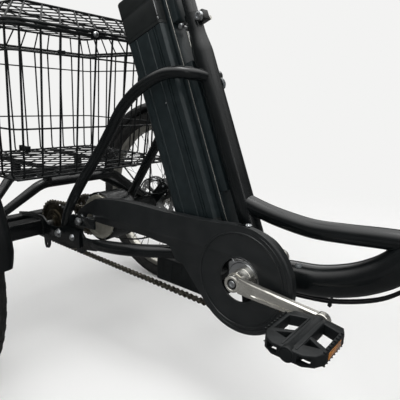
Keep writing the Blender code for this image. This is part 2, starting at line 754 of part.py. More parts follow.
down_path = smooth_path([(0.613, 0, 0.3255), (0.682, 0, 0.333), (0.738, 0, 0.340), (0.790, 0, 0.357),
                         (0.829, 0, 0.378), (0.860, 0, 0.403), (0.905, 0, 0.455), (0.955, 0, 0.525),
                         (1.005, 0, 0.606), (1.0566, 0, 0.7006)], 1)
radii = [MAIN_TUBE_RADIUS] * len(down_path)
radii[-2:] = [0.0265, 0.0190]
down = tube("main_frame", down_path, MAIN_TUBE_RADIUS, 3, radii)
upper = tube("upper", smooth_path([(0.568, 0, 0.457), (0.610, 0, 0.446), (0.654, 0, 0.438), (0.7135, 0, 0.4325),
                                   (0.772, 0, 0.4365), (0.8335, 0, 0.443), (0.895, 0, 0.448)], 1),
             UPPER_TUBE_RADIUS, 2)
seat = turned("seat", [(0, 0), (SEAT_TUBE_RADIUS, 0), (SEAT_TUBE_RADIUS, 0.450), (SEAT_NECK_RADIUS, 0.487),
                       (SEAT_NECK_RADIUS, SEAT_TUBE_LENGTH), (0, SEAT_TUBE_LENGTH)],
              seat_foot, seat_up, steps=16)
head = turned("head", [(0, 0.392), (0.0240, 0.392), (0.0240, 0.405), (HEAD_TUBE_RADIUS, 0.408),
                       (HEAD_TUBE_RADIUS, 0.534), (0.0240, 0.537), (0.0240, 0.548), (0, 0.548)],
              head_foot, head_up, steps=16)
shell = turned("shell", [(0, -BB_SHELL_WIDTH / 2), (BB_SHELL_RADIUS, -BB_SHELL_WIDTH / 2),
                         (BB_SHELL_RADIUS, BB_SHELL_WIDTH / 2), (0, BB_SHELL_WIDTH / 2)], bb, steps=16)
main = combine(down, [upper, seat, head, shell])

end_plate = [(0.078, 0.292), (0.078, 0.318), (0.112, 0.330), (0.126, 0.342), (0.127, 0.357), (0.140, 0.363),
             (0.226, 0.364), (0.226, 0.342), (0.186, 0.339), (0.179, 0.332), (0.179, 0.321), (0.188, 0.313),
             (0.232, 0.315), (0.232, 0.290), (0.192, 0.283), (0.178, 0.270), (0.158, 0.270), (0.150, 0.288)]
for side in (-1, 1):
    seat_stay = smooth_path([(0.487, side * 0.010, 0.690), (0.470, side * 0.042, 0.695),
                             (0.440, side * 0.062, 0.697), (0.398, side * 0.070, 0.690),
                             (0.345, side * 0.077, 0.662), (0.300, side * 0.081, 0.622),
                             (0.265, side * 0.085, 0.570), (0.230, side * 0.090, 0.519),
                             (0.185, side * 0.096, 0.460), (0.140, side * 0.1005, 0.396),
                             (0.113, side * 0.1005, 0.352), (0.098, side * 0.1005, 0.312)], 1)
    radii = [STAY_RADIUS] * len(seat_stay)
    radii[-2:] = [0.0065, 0.0032]
    stay = tube("stay", seat_stay, STAY_RADIUS, 1, radii)
    lower_path = smooth_path([(0.212, side * 0.0995, 0.302), (0.240, side * 0.0985, 0.306),
                              (0.290, side * 0.0965, 0.3125), (0.335, side * 0.090, 0.318),
                              (0.375, side * 0.078, 0.3225), (0.412, side * 0.063, 0.327),
                              (0.455, side * 0.049, 0.332), (0.520, side * 0.040, 0.334),
                              (0.588, side * 0.023, 0.330)], 1)
    radii = [CHAIN_STAY_RADIUS] * len(lower_path)
    radii[:2] = [0.0045, 0.0110]
    lower = tube("lower", lower_path, CHAIN_STAY_RADIUS, 2, radii)
    ends = plate("end", [end_plate, circle(MOTOR_X, MOTOR_Z, MOTOR_AXLE_RADIUS + 2 * FIT_GAP, 16)], 0.006,
                 side * 0.1005)
    main = combine(main, [stay, lower, ends])

guard_bolts = [
    rod("tab", (0.138, -0.1005, 0.350), (0.138, -GUARD_Y - GUARD_THICKNESS / 2 - FIT_GAP, 0.350), 0.0045, 2),
    rod("tab", (0.585, -0.010, 0.4160), (0.585, -GUARD_Y + GUARD_THICKNESS / 2 + FIT_GAP, 0.4160), 0.0028, 2)]
main = combine(main, guard_bolts)
bores = [
    rod("bore", bb + Vector((0, -0.05, 0)), bb + Vector((0, 0.05, 0)), SPINDLE_RADIUS + 3 * FIT_GAP, 3),
    turned("bore", [(0, 0.20), (POST_RADIUS + FIT_GAP, 0.20), (POST_RADIUS + FIT_GAP, 0.60), (0, 0.60)],
           seat_foot, seat_up, steps=16),
    turned("bore", [(0, 0.35), (STEERER_RADIUS + 2 * FIT_GAP, 0.35), (STEERER_RADIUS + 2 * FIT_GAP, 0.60),
                    (0, 0.60)], head_foot, head_up, steps=16)]
hand_in(combine(main, bores, "DIFFERENCE"), "main_frame", powder_black)


# Rear axle housing with its dropout plates

half = HOUSING_SIZE / 2
inner = half - HOUSING_WALL
axis_z = TYRE_RADIUS
plate_outline = [(-0.100, 0.296), (-0.100, 0.324), (-0.034, 0.336), (0.018, 0.336), (0.045, 0.318),
                 (0.085, 0.320), (0.133, 0.331), (0.1765, 0.330), (0.1765, 0.286), (0.138, 0.2755),
                 (0.049, 0.2760), (-0.034, 0.2775)]
hanger_outline = plate_outline[:-1] + [(0.047, 0.262), (0.041, 0.252), (0.029, 0.250), (0.024, 0.258),
                                       (0.022, 0.2768)] + plate_outline[-1:]
housing = rod("axle_housing", (-0.085, -PLATE_Y, 0.310), (-0.085, PLATE_Y, 0.310), 0.0125, 4)
solids, hollows = [], []
for side in (-1, 1):
    holes = [circle(0.034, 0.261, 0.0045, 10)] if side < 0 else []
    outline = hanger_outline if side < 0 else plate_outline
    solids.append(plate("cheek", [outline] + holes, PLATE_THICKNESS, side * PLATE_Y))
    low, high = sorted((side * PLATE_Y, side * HOUSING_END))
    solids.append(box("outer", (-half, low, axis_z - half), (half, high, axis_z + half), 0.003))
    low, high = sorted((side * (PLATE_Y + 0.012), side * (HOUSING_END - 0.014)))
    hollows.append(box("hollow", (-inner, low, axis_z - inner), (inner, high, axis_z + inner)))
    low, high = sorted((side * (PLATE_Y - 0.02), side * (HOUSING_END + 0.02)))
    hollows.append(rod("through", (0, low, axis_z), (0, high, axis_z), AXLE_RADIUS + 3 * FIT_GAP, 4))
housing = combine(combine(housing, solids), hollows, "DIFFERENCE")
hand_in(housing, "axle_housing", powder_black, smooth=False)


# Basket carrier

def arch(x_top, x_foot, name):
    path = [(x_foot, -ARCH_FOOT_Y, axis_z + half + FIT_GAP), (x_top, -ARCH_KNEE_Y, ARCH_TOP_Z),
            (x_top, ARCH_KNEE_Y, ARCH_TOP_Z), (x_foot, ARCH_FOOT_Y, axis_z + half + FIT_GAP)]
    return tube(name, bent_path(path, 0.040, 2), CARRIER_TUBE, 2)


carrier = combine(arch(0.035, 0.010, "basket_carrier"), [arch(-0.115, -0.012, "rear_arch")])
trim = box("trim", (-0.2, -0.5, axis_z + half - 0.05), (0.2, 0.5, axis_z + half + 0.0022))
carrier = combine(carrier, [trim], "DIFFERENCE")
rails = []
for side in (-1, 1):
    low, high = sorted((side * (RAIL_Y - RAIL_WIDTH / 2), side * (RAIL_Y + RAIL_WIDTH / 2)))
    rails.append(box("rail", (-0.235, low, ARCH_TOP_Z + 0.006), (0.145, high, BASKET_FLOOR_Z - WIRE_HALF - FIT_GAP),
                     0.0015))
    low, high = sorted((side * 0.205, side * 0.290))
    rails.append(box("foot", (-0.0195, low, axis_z + half + FIT_GAP), (0.0195, high, axis_z + half + 0.0045)))
carrier = combine(carrier, rails)
hand_in(carrier, "basket_carrier", powder_black)


# Basket: five welded grilles, and a tray-shaped lid

def lattice(name, outline, windows, thickness, corner, across, up):
    """A flat grille: windows cut through an outline, both given along two direction vectors."""
    rings = [outline] + windows
    flat = [Vector(point) for ring in rings for point in ring]
    owner = [index for index, ring in enumerate(rings) for point in ring]
    edges, borders = [], []
    for ring in rings:
        first = len(edges)
        edges += [(first + k, first + (k + 1) % len(ring)) for k in range(len(ring))]
    found = delaunay_2d_cdt(flat, edges, [], 0, 1e-7)
    flat = found[0]
    faces = [face for face in found[2] if len({owner[v] for v in face}) > 1 or owner[face[0]] == 0]
    across, up, corner = Vector(across).normalized(), Vector(up).normalized(), Vector(corner)
    out = across.cross(up) * thickness / 2
    verts = [corner + across * u + up * v + out * side for side in (-1, 1) for u, v in flat]
    count = len(flat)
    solid = [tuple(reversed(face)) for face in faces] + [tuple(v + count for v in face) for face in faces]
    solid += [(a, b, b + count, a + count) for a, b in edges]
    mesh = bpy.data.meshes.new(name)
    mesh.from_pydata(verts, [], solid)
    obj = put(name, mesh)
    tidy(mesh)
    return obj


def panel(name, corner, across, up, columns, rows, spread):
    """A welded wire wall: rim bars top and bottom, and wires dividing it; spread widens its top."""
    length, height = Vector(across).length, Vector(up).length

    def flared(u, v):
        return (u + (spread[1] * u / length - spread[0] * (1 - u / length)) * v / height, v)

    bounds_u = [(length - 2 * WIRE_HALF) * k / (columns - 1) for k in range(columns)]
    bounds_v = [0.0] + sorted(rows) + [height]
    windows = []
    for u0, u1 in zip(bounds_u, bounds_u[1:]):
        for j, (v0, v1) in enumerate(zip(bounds_v, bounds_v[1:])):
            low = v0 + (2 * RIM_HALF if j == 0 else WIRE_HALF)
            high = v1 - (2 * RIM_HALF if j == len(bounds_v) - 2 else WIRE_HALF)
            windows.append([flared(u0 + 2 * WIRE_HALF, low), flared(u1, low), flared(u1, high),
                            flared(u0 + 2 * WIRE_HALF, high)])
    outline = [flared(0, 0), flared(length, 0), flared(length, height), flared(0, height)]
    obj = lattice(name, outline, windows, 2 * WIRE_HALF, corner, across, up)
    hand_in(obj, name, powder_black, smooth=False)


corner_gap = WIRE_HALF + 2 * FIT_GAP
height = BASKET_RIM_Z - BASKET_FLOOR_Z
rows = [z - BASKET_FLOOR_Z for z in BASKET_RINGS]
lean_in = BASKET_HALF_TOP - BASKET_HALF_FLOOR
lean_front = BASKET_FRONT_TOP - BASKET_FRONT_FLOOR
lean_back = BASKET_BACK_FLOOR - BASKET_BACK_TOP
for name, x_floor, x_top in (("basket_front", BASKET_FRONT_FLOOR, BASKET_FRONT_TOP),
                             ("basket_back", BASKET_BACK_FLOOR, BASKET_BACK_TOP)):
    panel(name, (x_floor, -BASKET_HALF_FLOOR, BASKET_FLOOR_Z), (0, 2 * BASKET_HALF_FLOOR, 0),
          (x_top - x_floor, 0, height), WIRES_ACROSS, rows, (lean_in, lean_in))
for name, side in (("basket_left", 1), ("basket_right", -1)):
    x_back = BASKET_BACK_FLOOR - WIRE_HALF
    x_front = BASKET_FRONT_FLOOR + WIRE_HALF
    panel(name, (x_back, side * (BASKET_HALF_FLOOR + corner_gap), BASKET_FLOOR_Z), (x_front - x_back, 0, 0),
          (0, side * lean_in, height), WIRES_ALONG, rows, (lean_back, lean_front))
inset_x = WIRE_HALF + 2 * FIT_GAP
floor_corners = [(BASKET_BACK_FLOOR + inset_x, -BASKET_HALF_FLOOR - FIT_GAP),
                 (BASKET_FRONT_FLOOR - inset_x, BASKET_HALF_FLOOR + FIT_GAP)]


def clipped(shape, low, high):
    """A convex outline cut down to a rectangle."""
    for axis, limit, sign in ((0, low[0], 1), (0, high[0], -1), (1, low[1], 1), (1, high[1], -1)):
        kept = []
        for here, there in zip(shape, shape[1:] + shape[:1]):
            a, b = sign * (here[axis] - limit), sign * (there[axis] - limit)
            if a >= 0:
                kept.append(here)
            if a * b < 0:
                share = a / (a - b)
                kept.append((here[0] + (there[0] - here[0]) * share, here[1] + (there[1] - here[1]) * share))
        shape = kept
    return shape


(x0, y0), (x1, y1) = floor_corners
length, width = x1 - x0, y1 - y0
across_count, along_count = 4, 3
step_u, step_v = length / along_count, width / across_count
windows = []
for i in range(2 * along_count + 1):
    for j in range(2 * across_count + 1):
        if (i + j) % 2 == 0:
            continue
        u, v = i * step_u / 2, j * step_v / 2
        reach_u, reach_v = step_u / 2 - 0.0034, step_v / 2 - 0.0038
        diamond = [(u + reach_u, v), (u, v + reach_v), (u - reach_u, v), (u, v - reach_v)]
        window = clipped(diamond, (0.0048, 0.0048), (length - 0.0048, width - 0.0048))
        if len(window) > 2:
            windows.append(window)
obj = lattice("basket_floor", [(0, 0), (length, 0), (length, width), (0, width)], windows, 2 * WIRE_HALF,
              (x0, y0, BASKET_FLOOR_Z), (1, 0, 0), (0, 1, 0))
hand_in(obj, "basket_floor", powder_black, smooth=False)

lid_z = BASKET_RIM_Z + RIM_HALF + FIT_GAP
lid_low = [(BASKET_BACK_TOP, -BASKET_HALF_TOP), (BASKET_FRONT_TOP, -BASKET_HALF_TOP),
           (BASKET_FRONT_TOP, BASKET_HALF_TOP), (BASKET_BACK_TOP, BASKET_HALF_TOP)]
lid_high = [(BASKET_BACK_TOP + LID_INSET, -BASKET_HALF_TOP + LID_INSET),
            (BASKET_FRONT_TOP - LID_INSET, -BASKET_HALF_TOP + LID_INSET),
            (BASKET_FRONT_TOP - LID_INSET, BASKET_HALF_TOP - LID_INSET),
            (BASKET_BACK_TOP + LID_INSET, BASKET_HALF_TOP - LID_INSET)]


def loop_bars(name, corners, z, half_size):
    """A closed rectangle of bars, joined at its corners."""
    rods = []
    for i in range(4):
        start, end = Vector((*corners[i], z)), Vector((*corners[(i + 1) % 4], z))
        reach = (end - start).normalized() * (half_size if i % 2 == 0 else half_size * 0.9)
        rods.append(bars("side", [(start - reach, end + reach)], half_size if i % 2 == 0 else half_size * 0.97))
    rods[0].name = name
    return combine(rods[0], rods[1:])


lid = loop_bars("lid", lid_low, lid_z, RIM_HALF)
top_ring = loop_bars("top_ring", lid_high, lid_z + LID_RISE, RIM_HALF * 0.9)
lengthwise, crosswise = [], []
for k in range(LID_WIRES):
    share = k / (LID_WIRES - 1)
    y_low = -BASKET_HALF_TOP + 0.012 + (2 * BASKET_HALF_TOP - 0.024) * share
    y_high = -BASKET_HALF_TOP + LID_INSET + 2 * (BASKET_HALF_TOP - LID_INSET) * share
    for x_low, x_high in ((BASKET_BACK_TOP, BASKET_BACK_TOP + LID_INSET),
                          (BASKET_FRONT_TOP, BASKET_FRONT_TOP - LID_INSET)):
        lengthwise.append(((x_low, y_low, lid_z), (x_high, y_high, lid_z + LID_RISE)))
    if 0 < k < LID_WIRES - 1:
        lengthwise.append(((BASKET_BACK_TOP + LID_INSET, y_high, lid_z + LID_RISE),
                           (BASKET_FRONT_TOP - LID_INSET, y_high, lid_z + LID_RISE)))
for share in (0, 0.333, 0.667, 1):
    x_low = BASKET_BACK_TOP + 0.012 + (BASKET_FRONT_TOP - BASKET_BACK_TOP - 0.024) * share
    x_high = BASKET_BACK_TOP + LID_INSET + (BASKET_FRONT_TOP - BASKET_BACK_TOP - 2 * LID_INSET) * share
    for side in (-1, 1):
        crosswise.append(((x_low, side * BASKET_HALF_TOP, lid_z),
                          (x_high, side * (BASKET_HALF_TOP - LID_INSET), lid_z + LID_RISE)))
for x in (-0.120, 0.045):
    crosswise.append(((x, -BASKET_HALF_TOP + LID_INSET, lid_z + LID_RISE),
                      (x, BASKET_HALF_TOP - LID_INSET, lid_z + LID_RISE)))
lid = combine(lid, [top_ring])
lid = combine(lid, [bars("lengthwise", lengthwise, WIRE_HALF, sides=3)])
lid = combine(lid, [bars("crosswise", crosswise, WIRE_HALF * 0.9, sides=3)])
hand_in(lid, "lid", powder_black, lid_axis, smooth=False)


latch_x = BASKET_FRONT_TOP + 0.0095
latch = box("lid_latch", (latch_x - 0.0045, LATCH_Y - 0.013, BASKET_RIM_Z - 0.040),
            (latch_x - 0.0020, LATCH_Y + 0.013, lid_z + 0.0070))
hook = box("hook", (BASKET_FRONT_TOP - 0.004, LATCH_Y - 0.013, lid_z + 0.0042),
           (latch_x - 0.003, LATCH_Y + 0.013, lid_z + 0.0068))
knob = rod("knob", (latch_x - 0.003, LATCH_Y, BASKET_RIM_Z - 0.022), (latch_x + 0.006, LATCH_Y, BASKET_RIM_Z - 0.022),
           0.006, 2)
latch_axis = pivot_at("latch_axis", (BASKET_FRONT_TOP - 0.004, LATCH_Y, lid_z + 0.0055))
hand_in(combine(latch, [hook, knob]), "lid_latch", zinc, latch_axis, smooth=False)


# Chain guard

arm_top = [(0.118, 0.350), (0.123, 0.361), (0.140, 0.375), (0.177, 0.397), (0.204, 0.407), (0.300, 0.4185),
           (0.432, 0.4195), (0.524, 0.4225), (0.600, 0.4290)]
arm_low = [(0.474, 0.320), (0.455, 0.322), (0.437, 0.3475), (0.405, 0.350), (0.343, 0.353), (0.247, 0.349),
           (0.188, 0.349), (0.186, 0.358),
           (0.179, 0.364), (0.165, 0.364), (0.158, 0.358), (0.157, 0.344), (0.124, 0.335)]
arc = [(bb.x + GUARD_RADIUS * 0.975 * math.cos(math.radians(a)),
        bb.z + GUARD_RADIUS * 0.975 * math.sin(math.radians(a))) for a in range(86, -131, -18)]
guard = plate("chain_guard", [arm_top + arc + arm_low, circle(bb.x, bb.z, GUARD_OPENING, 18)],
              GUARD_THICKNESS, -GUARD_Y)
ridge = turned("ridge", [(0.087, -GUARD_Y - 0.0035), (0.0905, -GUARD_Y - 0.0035), (0.0925, -GUARD_Y),
                         (0.085, -GUARD_Y)], bb, steps=20, ring=True)
lip_edge = [(x, z) for x, z in arm_top if x > 0.19]
lip = plate("lip", [lip_edge + [(x, z - 0.0020) for x, z in reversed(lip_edge)]], 0.0165, -GUARD_Y + 0.0090)
hand_in(combine(guard, [ridge, lip]), "chain_guard", guard_black)


# Battery on its rail

def seat_box(name, back0, back1, up0, up1, half_width, bevel=0.0):
    """A box squared to the seat tube."""
    obj = box(name, (-back1, -half_width, up0), (-back0, half_width, up1), bevel)
    turn = Matrix.Rotation(math.atan2(seat_up.x, seat_up.z), 4, "Y")
    obj.data.transform(Matrix.Translation(seat_foot) @ turn)
    return obj


rail_up = seat_box("battery_rail", SEAT_TUBE_RADIUS + FIT_GAP, BATTERY_FRONT - FIT_GAP - 0.004, 0.170, 0.440, 0.014, 0.002)
lips = [seat_box("lip", 0.038, BATTERY_FRONT - 2 * FIT_GAP, 0.100, 0.455, 0.0215, 0.0012)]
hand_in(combine(rail_up, lips), "battery_rail", polished, smooth=False)

half_w = BATTERY_WIDTH / 2
back_far = BATTERY_FRONT + BATTERY_DEPTH
body = seat_box("battery", BATTERY_FRONT + 0.001, back_far, BATTERY_FOOT, BATTERY_SEAM, half_w, 0.010)
cap = seat_box("cap", BATTERY_FRONT, back_far + 0.002, BATTERY_SEAM, BATTERY_TOP, half_w + 0.002, 0.010)
foot = seat_box("foot", BATTERY_FRONT, back_far + 0.002, BATTERY_FOOT - 0.012, BATTERY_FOOT + 0.028, half_w + 0.002,
                0.010)
slope = seat_box("slope", BATTERY_FRONT - 0.06, BATTERY_FRONT + 0.030, BATTERY_TOP - 0.026, BATTERY_TOP + 0.1, 0.1)
grooves = []
for side in (-1, 1):
    for back in (0.082, 0.105, 0.128):
        groove = seat_box("groove", back, back + 0.006, BATTERY_FOOT + 0.03, BATTERY_SEAM - 0.001, 0.0025)
        groove.data.transform(Matrix.Translation((0, side * half_w, 0)))
        grooves.append(groove)
battery = combine(combine(body, [cap, foot]), grooves + [slope], "DIFFERENCE")
hand_in(battery, "battery", battery_black, battery_axis, smooth=False)


# Seat post, clamp and saddle

clamp_low, clamp_high = SEAT_TUBE_LENGTH - 0.022, SEAT_TUBE_LENGTH - 0.003
clamp = turned("seat_clamp", [(SEAT_NECK_RADIUS + FIT_GAP, clamp_low), (0.0212, clamp_low), (0.0212, clamp_high),
                              (SEAT_NECK_RADIUS + FIT_GAP, clamp_high)], seat_foot, seat_up, steps=16, ring=True)
ears = seat_box("ears", 0.0185, 0.031, clamp_low + 0.002, clamp_high - 0.002, 0.0085)
gap = seat_box("gap", 0.014, 0.04, clamp_low - 0.01, clamp_high + 0.01, 0.0012)
clamp = combine(combine(clamp, [ears]), [gap], "DIFFERENCE")
clamp_mid = (clamp_low + clamp_high) / 2
skewer = rod("skewer", along_seat(clamp_mid, 0.0262, -0.0150), along_seat(clamp_mid, 0.0262, 0.0120), 0.0030, 2)
nut = turned("nut", [(0, -0.0150), (0.0062, -0.0150), (0.0062, -0.0084), (0, -0.0084)],
             along_seat(clamp_mid, 0.0262), steps=8)
hand_in(combine(clamp, [skewer, nut]), "seat_clamp", zinc)

lever_axis = pivot_at("clamp_lever_axis", along_seat(clamp_mid, 0.0262, 0.0165))
lever_path = [along_seat(clamp_mid, 0.0262, 0.0165), along_seat(clamp_mid, 0.010, 0.0245),
              along_seat(clamp_mid, -0.008, 0.0270), along_seat(clamp_mid, -0.024, 0.0255)]
lever = tube("clamp_lever", lever_path, 0.0030, 2, [0.0042, 0.0034, 0.0032, 0.0036])
hand_in(lever, "clamp_lever", zinc, lever_axis)

post_foot = 0.300
post_top = POST_TOP
post = turned("seat_post", [(0, post_foot), (POST_RADIUS, post_foot), (POST_RADIUS, post_top - 0.030),
                            (0.0110, post_top - 0.024), (0.0110, post_top), (0, post_top)],
              seat_foot, seat_up, steps=16)
hand_in(post, "seat_post", polished, post_axis)

post_head = along_seat(post_top)
saddle_z = post_head.z + 0.012
rail_y = 0.022
saddle_x = post_head.x
cradle = turned("saddle_springs", [(0, 0.0006), (0.0118, 0.0006), (0.0118, -0.020), (0.0165, -0.020),
                                   (0.0165, 0.010), (0, 0.010)], post_head, seat_up, steps=12)
yoke = rod("yoke", (saddle_x, -rail_y - 0.006, saddle_z), (saddle_x, rail_y + 0.006, saddle_z), 0.010, 2)
pieces = [yoke]
spring_top = saddle_z + 0.048
for side in (-1, 1):
    rail_path = smooth_path([(saddle_x + 0.118, side * 0.012, saddle_z + 0.030), (saddle_x + 0.090, side * 0.016, saddle_z + 0.010),
                             (saddle_x + 0.050, side * rail_y, saddle_z), (saddle_x - 0.035, side * rail_y, saddle_z),
                             (saddle_x - 0.070, side * 0.040, saddle_z - 0.010),
                             (saddle_x - 0.092, side * 0.066, saddle_z - 0.014)], 1)
    pieces.append(tube("rail", rail_path, 0.0040, 1))
    turns, radius = 4, 0.0150
    middle = Vector((saddle_x - 0.098, side * 0.078, 0))
    coil = [(middle.x, side * 0.060, saddle_z - 0.0145)]
    for k in range(turns * 8 + 1):
        angle = 2 * math.pi * k / 8 - side * math.pi / 2
        coil.append((middle.x + radius * math.cos(angle), middle.y + radius * math.sin(angle),
                     saddle_z - 0.0145 + 0.050 * k / (turns * 8)))
    coil.append((middle.x, middle.y, saddle_z + 0.040))
    coil.append((middle.x, middle.y, spring_top - 0.002))
    pieces.append(tube("coil", coil, 0.0024, 0))
nose = rod("nose", (saddle_x + 0.117, -0.015, saddle_z + 0.030), (saddle_x + 0.117, 0.015, saddle_z + 0.030), 0.0060, 2)
base = []
for x, z, width in ((saddle_x + 0.130, saddle_z + 0.041, 0.020), (saddle_x + 0.050, saddle_z + 0.041, 0.036),
                    (saddle_x - 0.030, saddle_z + 0.043, 0.085), (saddle_x - 0.118, saddle_z + 0.046, 0.100)):
    base.append((x, z, width))
mesh = bpy.data.meshes.new("pan")
verts, faces = [], []
for x, z, width in base:
    verts += [(x, -width, z - 0.003), (x, width, z - 0.003), (x, width, z + 0.003), (x, -width, z + 0.003)]
for k in range(len(base) - 1):
    for j in range(4):
        here, there = 4 * k + j, 4 * k + (j + 1) % 4
        faces.append((here, there, there + 4, here + 4))
faces += [(3, 2, 1, 0), tuple(4 * (len(base) - 1) + j for j in range(4))]
mesh.from_pydata(verts, [], faces)
pan = put("pan", mesh)
tidy(pan.data)
post_block = rod("block", (saddle_x + 0.117, 0, saddle_z + 0.030), (saddle_x + 0.117, 0, saddle_z + 0.0405), 0.0045, 2)
hand_in(combine(cradle, pieces + [nose, post_block, pan]), "saddle_springs", steel, post_axis)


bottom = saddle_z + 0.0495 + FIT_GAP
rows = 8
sections = [(-0.136, 0.060, 0.026), (-0.126, 0.098, 0.042), (-0.095, 0.1165, 0.056), (-0.050, 0.112, 0.056),
            (-0.010, 0.086, 0.051), (0.035, 0.052, 0.047), (0.085, 0.034, 0.044), (0.122, 0.027, 0.040),
            (0.140, 0.016, 0.028)]
verts, faces = [], []
for x, half_width, top in sections:
    for k in range(rows + 1):
        share = 2 * k / rows - 1
        y = half_width * math.copysign(abs(share) ** 0.85, share)
        edge = max(0.0, 1 - abs(share) ** 3.2) ** 0.5
        dip = 0.006 * math.exp(-(y / 0.016) ** 2)
        verts.append((saddle_x + x, y, bottom + 0.008 + (top - 0.008) * edge - dip * edge))
    for y in (half_width, -half_width):
        verts.append((saddle_x + x, y * 0.94, bottom))
ring_count = rows + 3
for i in range(len(sections) - 1):
    for k in range(ring_count):
        here, there = i * ring_count + k, i * ring_count + (k + 1) % ring_count
        faces.append((here, there, there + ring_count, here + ring_count))
faces.append(tuple(reversed(range(ring_count))))
faces.append(tuple((len(sections) - 1) * ring_count + k for k in range(ring_count)))
mesh = bpy.data.meshes.new("saddle")
mesh.from_pydata(verts, [], faces)
saddle = put("saddle", mesh)
tidy(saddle.data)
hand_in(saddle, "saddle", saddle_black, post_axis)


# Fenders

def fender(name, centre, start, end, stays, pivot=None):
    """A curved guard over a wheel, with stays of two rods each down to their feet."""
    reach, half = FENDER_RADIUS, FENDER_HALF_WIDTH
    outer = [(reach - 0.016, -half), (reach, -0.021), (reach, 0.021), (reach - 0.016, half)]
    inner = [(r - FENDER_WALL, y * (1 - FENDER_WALL / half)) for r, y in reversed(outer)]
    section = outer + inner
    steps = 15
    verts, faces = [], []
    for k in range(steps + 1):
        angle = math.radians(start + (end - start) * k / steps)
        verts += [centre + Vector((r * math.cos(angle), y, r * math.sin(angle))) for r, y in section]
    size = len(section)
    for k in range(steps):
        for j in range(size):
            here, there = k * size + j, k * size + (j + 1) % size
            faces.append((here, there, there + size, here + size))
    faces.append(tuple(reversed(range(size))))
    faces.append(tuple(steps * size + j for j in range(size)))
    mesh = bpy.data.meshes.new(name)
    mesh.from_pydata(verts, [], faces)
    obj = put(name, mesh)
    tidy(mesh)
    return combine(obj, stays)


for side_name, side in (("left", 1), ("right", -1)):
    centre = rear_hub + Vector((0, side * HALF_TRACK, 0))
    inner_y = side * (HALF_TRACK - FENDER_HALF_WIDTH)
    foot_z = axis_z + HOUSING_SIZE / 2 + FIT_GAP
    foot_y = side * (HOUSING_END - 0.012)
    stays = [box("foot", (-0.016, min(foot_y - 0.008, foot_y + 0.008), foot_z),
                 (0.016, max(foot_y - 0.008, foot_y + 0.008), foot_z + 0.006))]
    for angle in (33, 95, 149):
        turn = math.radians(angle)
        top = centre + Vector((0.3225 * math.cos(turn), 0, 0.3225 * math.sin(turn)))
        top.y = inner_y + side * 0.0031
        stays.append(tube("stay", [Vector((0.010 * math.cos(turn), foot_y, foot_z + 0.0035)),
                                   Vector((0.045 * math.cos(turn), foot_y + side * 0.002,
                                           axis_z + 0.045 * math.sin(turn) + 0.004)),
                                   top], 0.0030, 0))
    hand_in(fender(f"fender_{side_name}", centre, 8, FENDER_END, stays), f"fender_{side_name}", plastic_black)


# Fork, front fender and lamp

fork = turned("fork", [(0, 0.362), (0.0175, 0.362), (0.0240, 0.378), (0.0240, 0.3915), (STEERER_RADIUS, 0.3915),
                       (STEERER_RADIUS, 0.5485), (0.0215, 0.5485), (0.0215, 0.5600), (0.0165, 0.5620),
                       (0.0165, 0.5720), (0.0117, 0.5720), (0.0117, 0.4900), (0, 0.4900)],
              head_foot, head_up, steps=12)
crown = rod("crown", along_head(0.374, 0, -0.060), along_head(0.374, 0, 0.060), 0.0160, 2)
pieces = [crown]
for side in (-1, 1):
    pieces.append(tube("blade", [along_head(0.382, 0, side * 0.0570), along_head(0.300, 0, side * 0.0590),
                                 along_head(0.160, 0.002, side * 0.0590), along_head(0.080, 0.014, side * 0.0560),
                                 along_head(0.024, 0.034, side * 0.0505)], 0.0130, 2,
                       [0.0140, 0.0140, 0.0125, 0.0100, 0.0065]))
    tip = along_head(0.060, 0.022)
    pieces.append(plate("dropout", [arm_outline((front_hub.x, front_hub.z), 0.0130, (tip.x, tip.z), 0.0080, 5)],
                        0.005, side * 0.0475))
pieces.append(turned("front_axle", [(0, -0.0600), (0.0050, -0.0600), (0.0050, -0.0560), (0.0095, -0.0560),
                                    (0.0095, -0.0490), (0.0050, -0.0490), (0.0050, 0.0490), (0.0095, 0.0490),
                                    (0.0095, 0.0560), (0.0050, 0.0560), (0.0050, 0.0600), (0, 0.0600)],
                     front_hub, steps=12))
lamp_place = along_head(0.405, 0.078)
pieces.append(tube("bracket", [along_head(0.374, 0.010), along_head(0.376, 0.050),
                               Vector((lamp_place.x, 0, lamp_place.z - 0.0357))], 0.0050, 1))
hand_in(combine(fork, pieces), "fork", powder_black, steering_axis)

lamp = turned("headlight", [(0, -0.036), (0.012, -0.034), (0.024, -0.022), (0.031, 0.000), (0.034, 0.016),
                            (0.034, 0.022), (0.031, 0.022), (0.029, 0.018), (0, 0.021)], lamp_place, (1, 0, 0), steps=16)
hand_in(lamp, "headlight", plastic_black, steering_axis)

stays = []
for angle in (38, 160):
    turn = math.radians(angle)
    for side in (-1, 1):
        far = front_hub + Vector((0.3225 * math.cos(turn), side * 0.0345, 0.3225 * math.sin(turn)))
        near = front_hub + Vector((0.0250 * math.cos(turn), side * 0.0535, 0.0250 * math.sin(turn)))
        mid = far.lerp(near, 0.22)
        mid.y = side * 0.0500
        stays.append(tube("stay", [near, mid, far], 0.0027, 0))
hanger = front_hub + Vector((0.3385 * math.cos(math.radians(112)), 0, 0.3385 * math.sin(math.radians(112))))
stays.append(rod("hanger", hanger - head_up * 0.009, hanger + head_up * 0.0085, 0.0080, 2))
hand_in(fender("fender_front", front_hub, 28, 178, stays), "fender_front", plastic_black, steering_axis)


# Stem, bar and controls

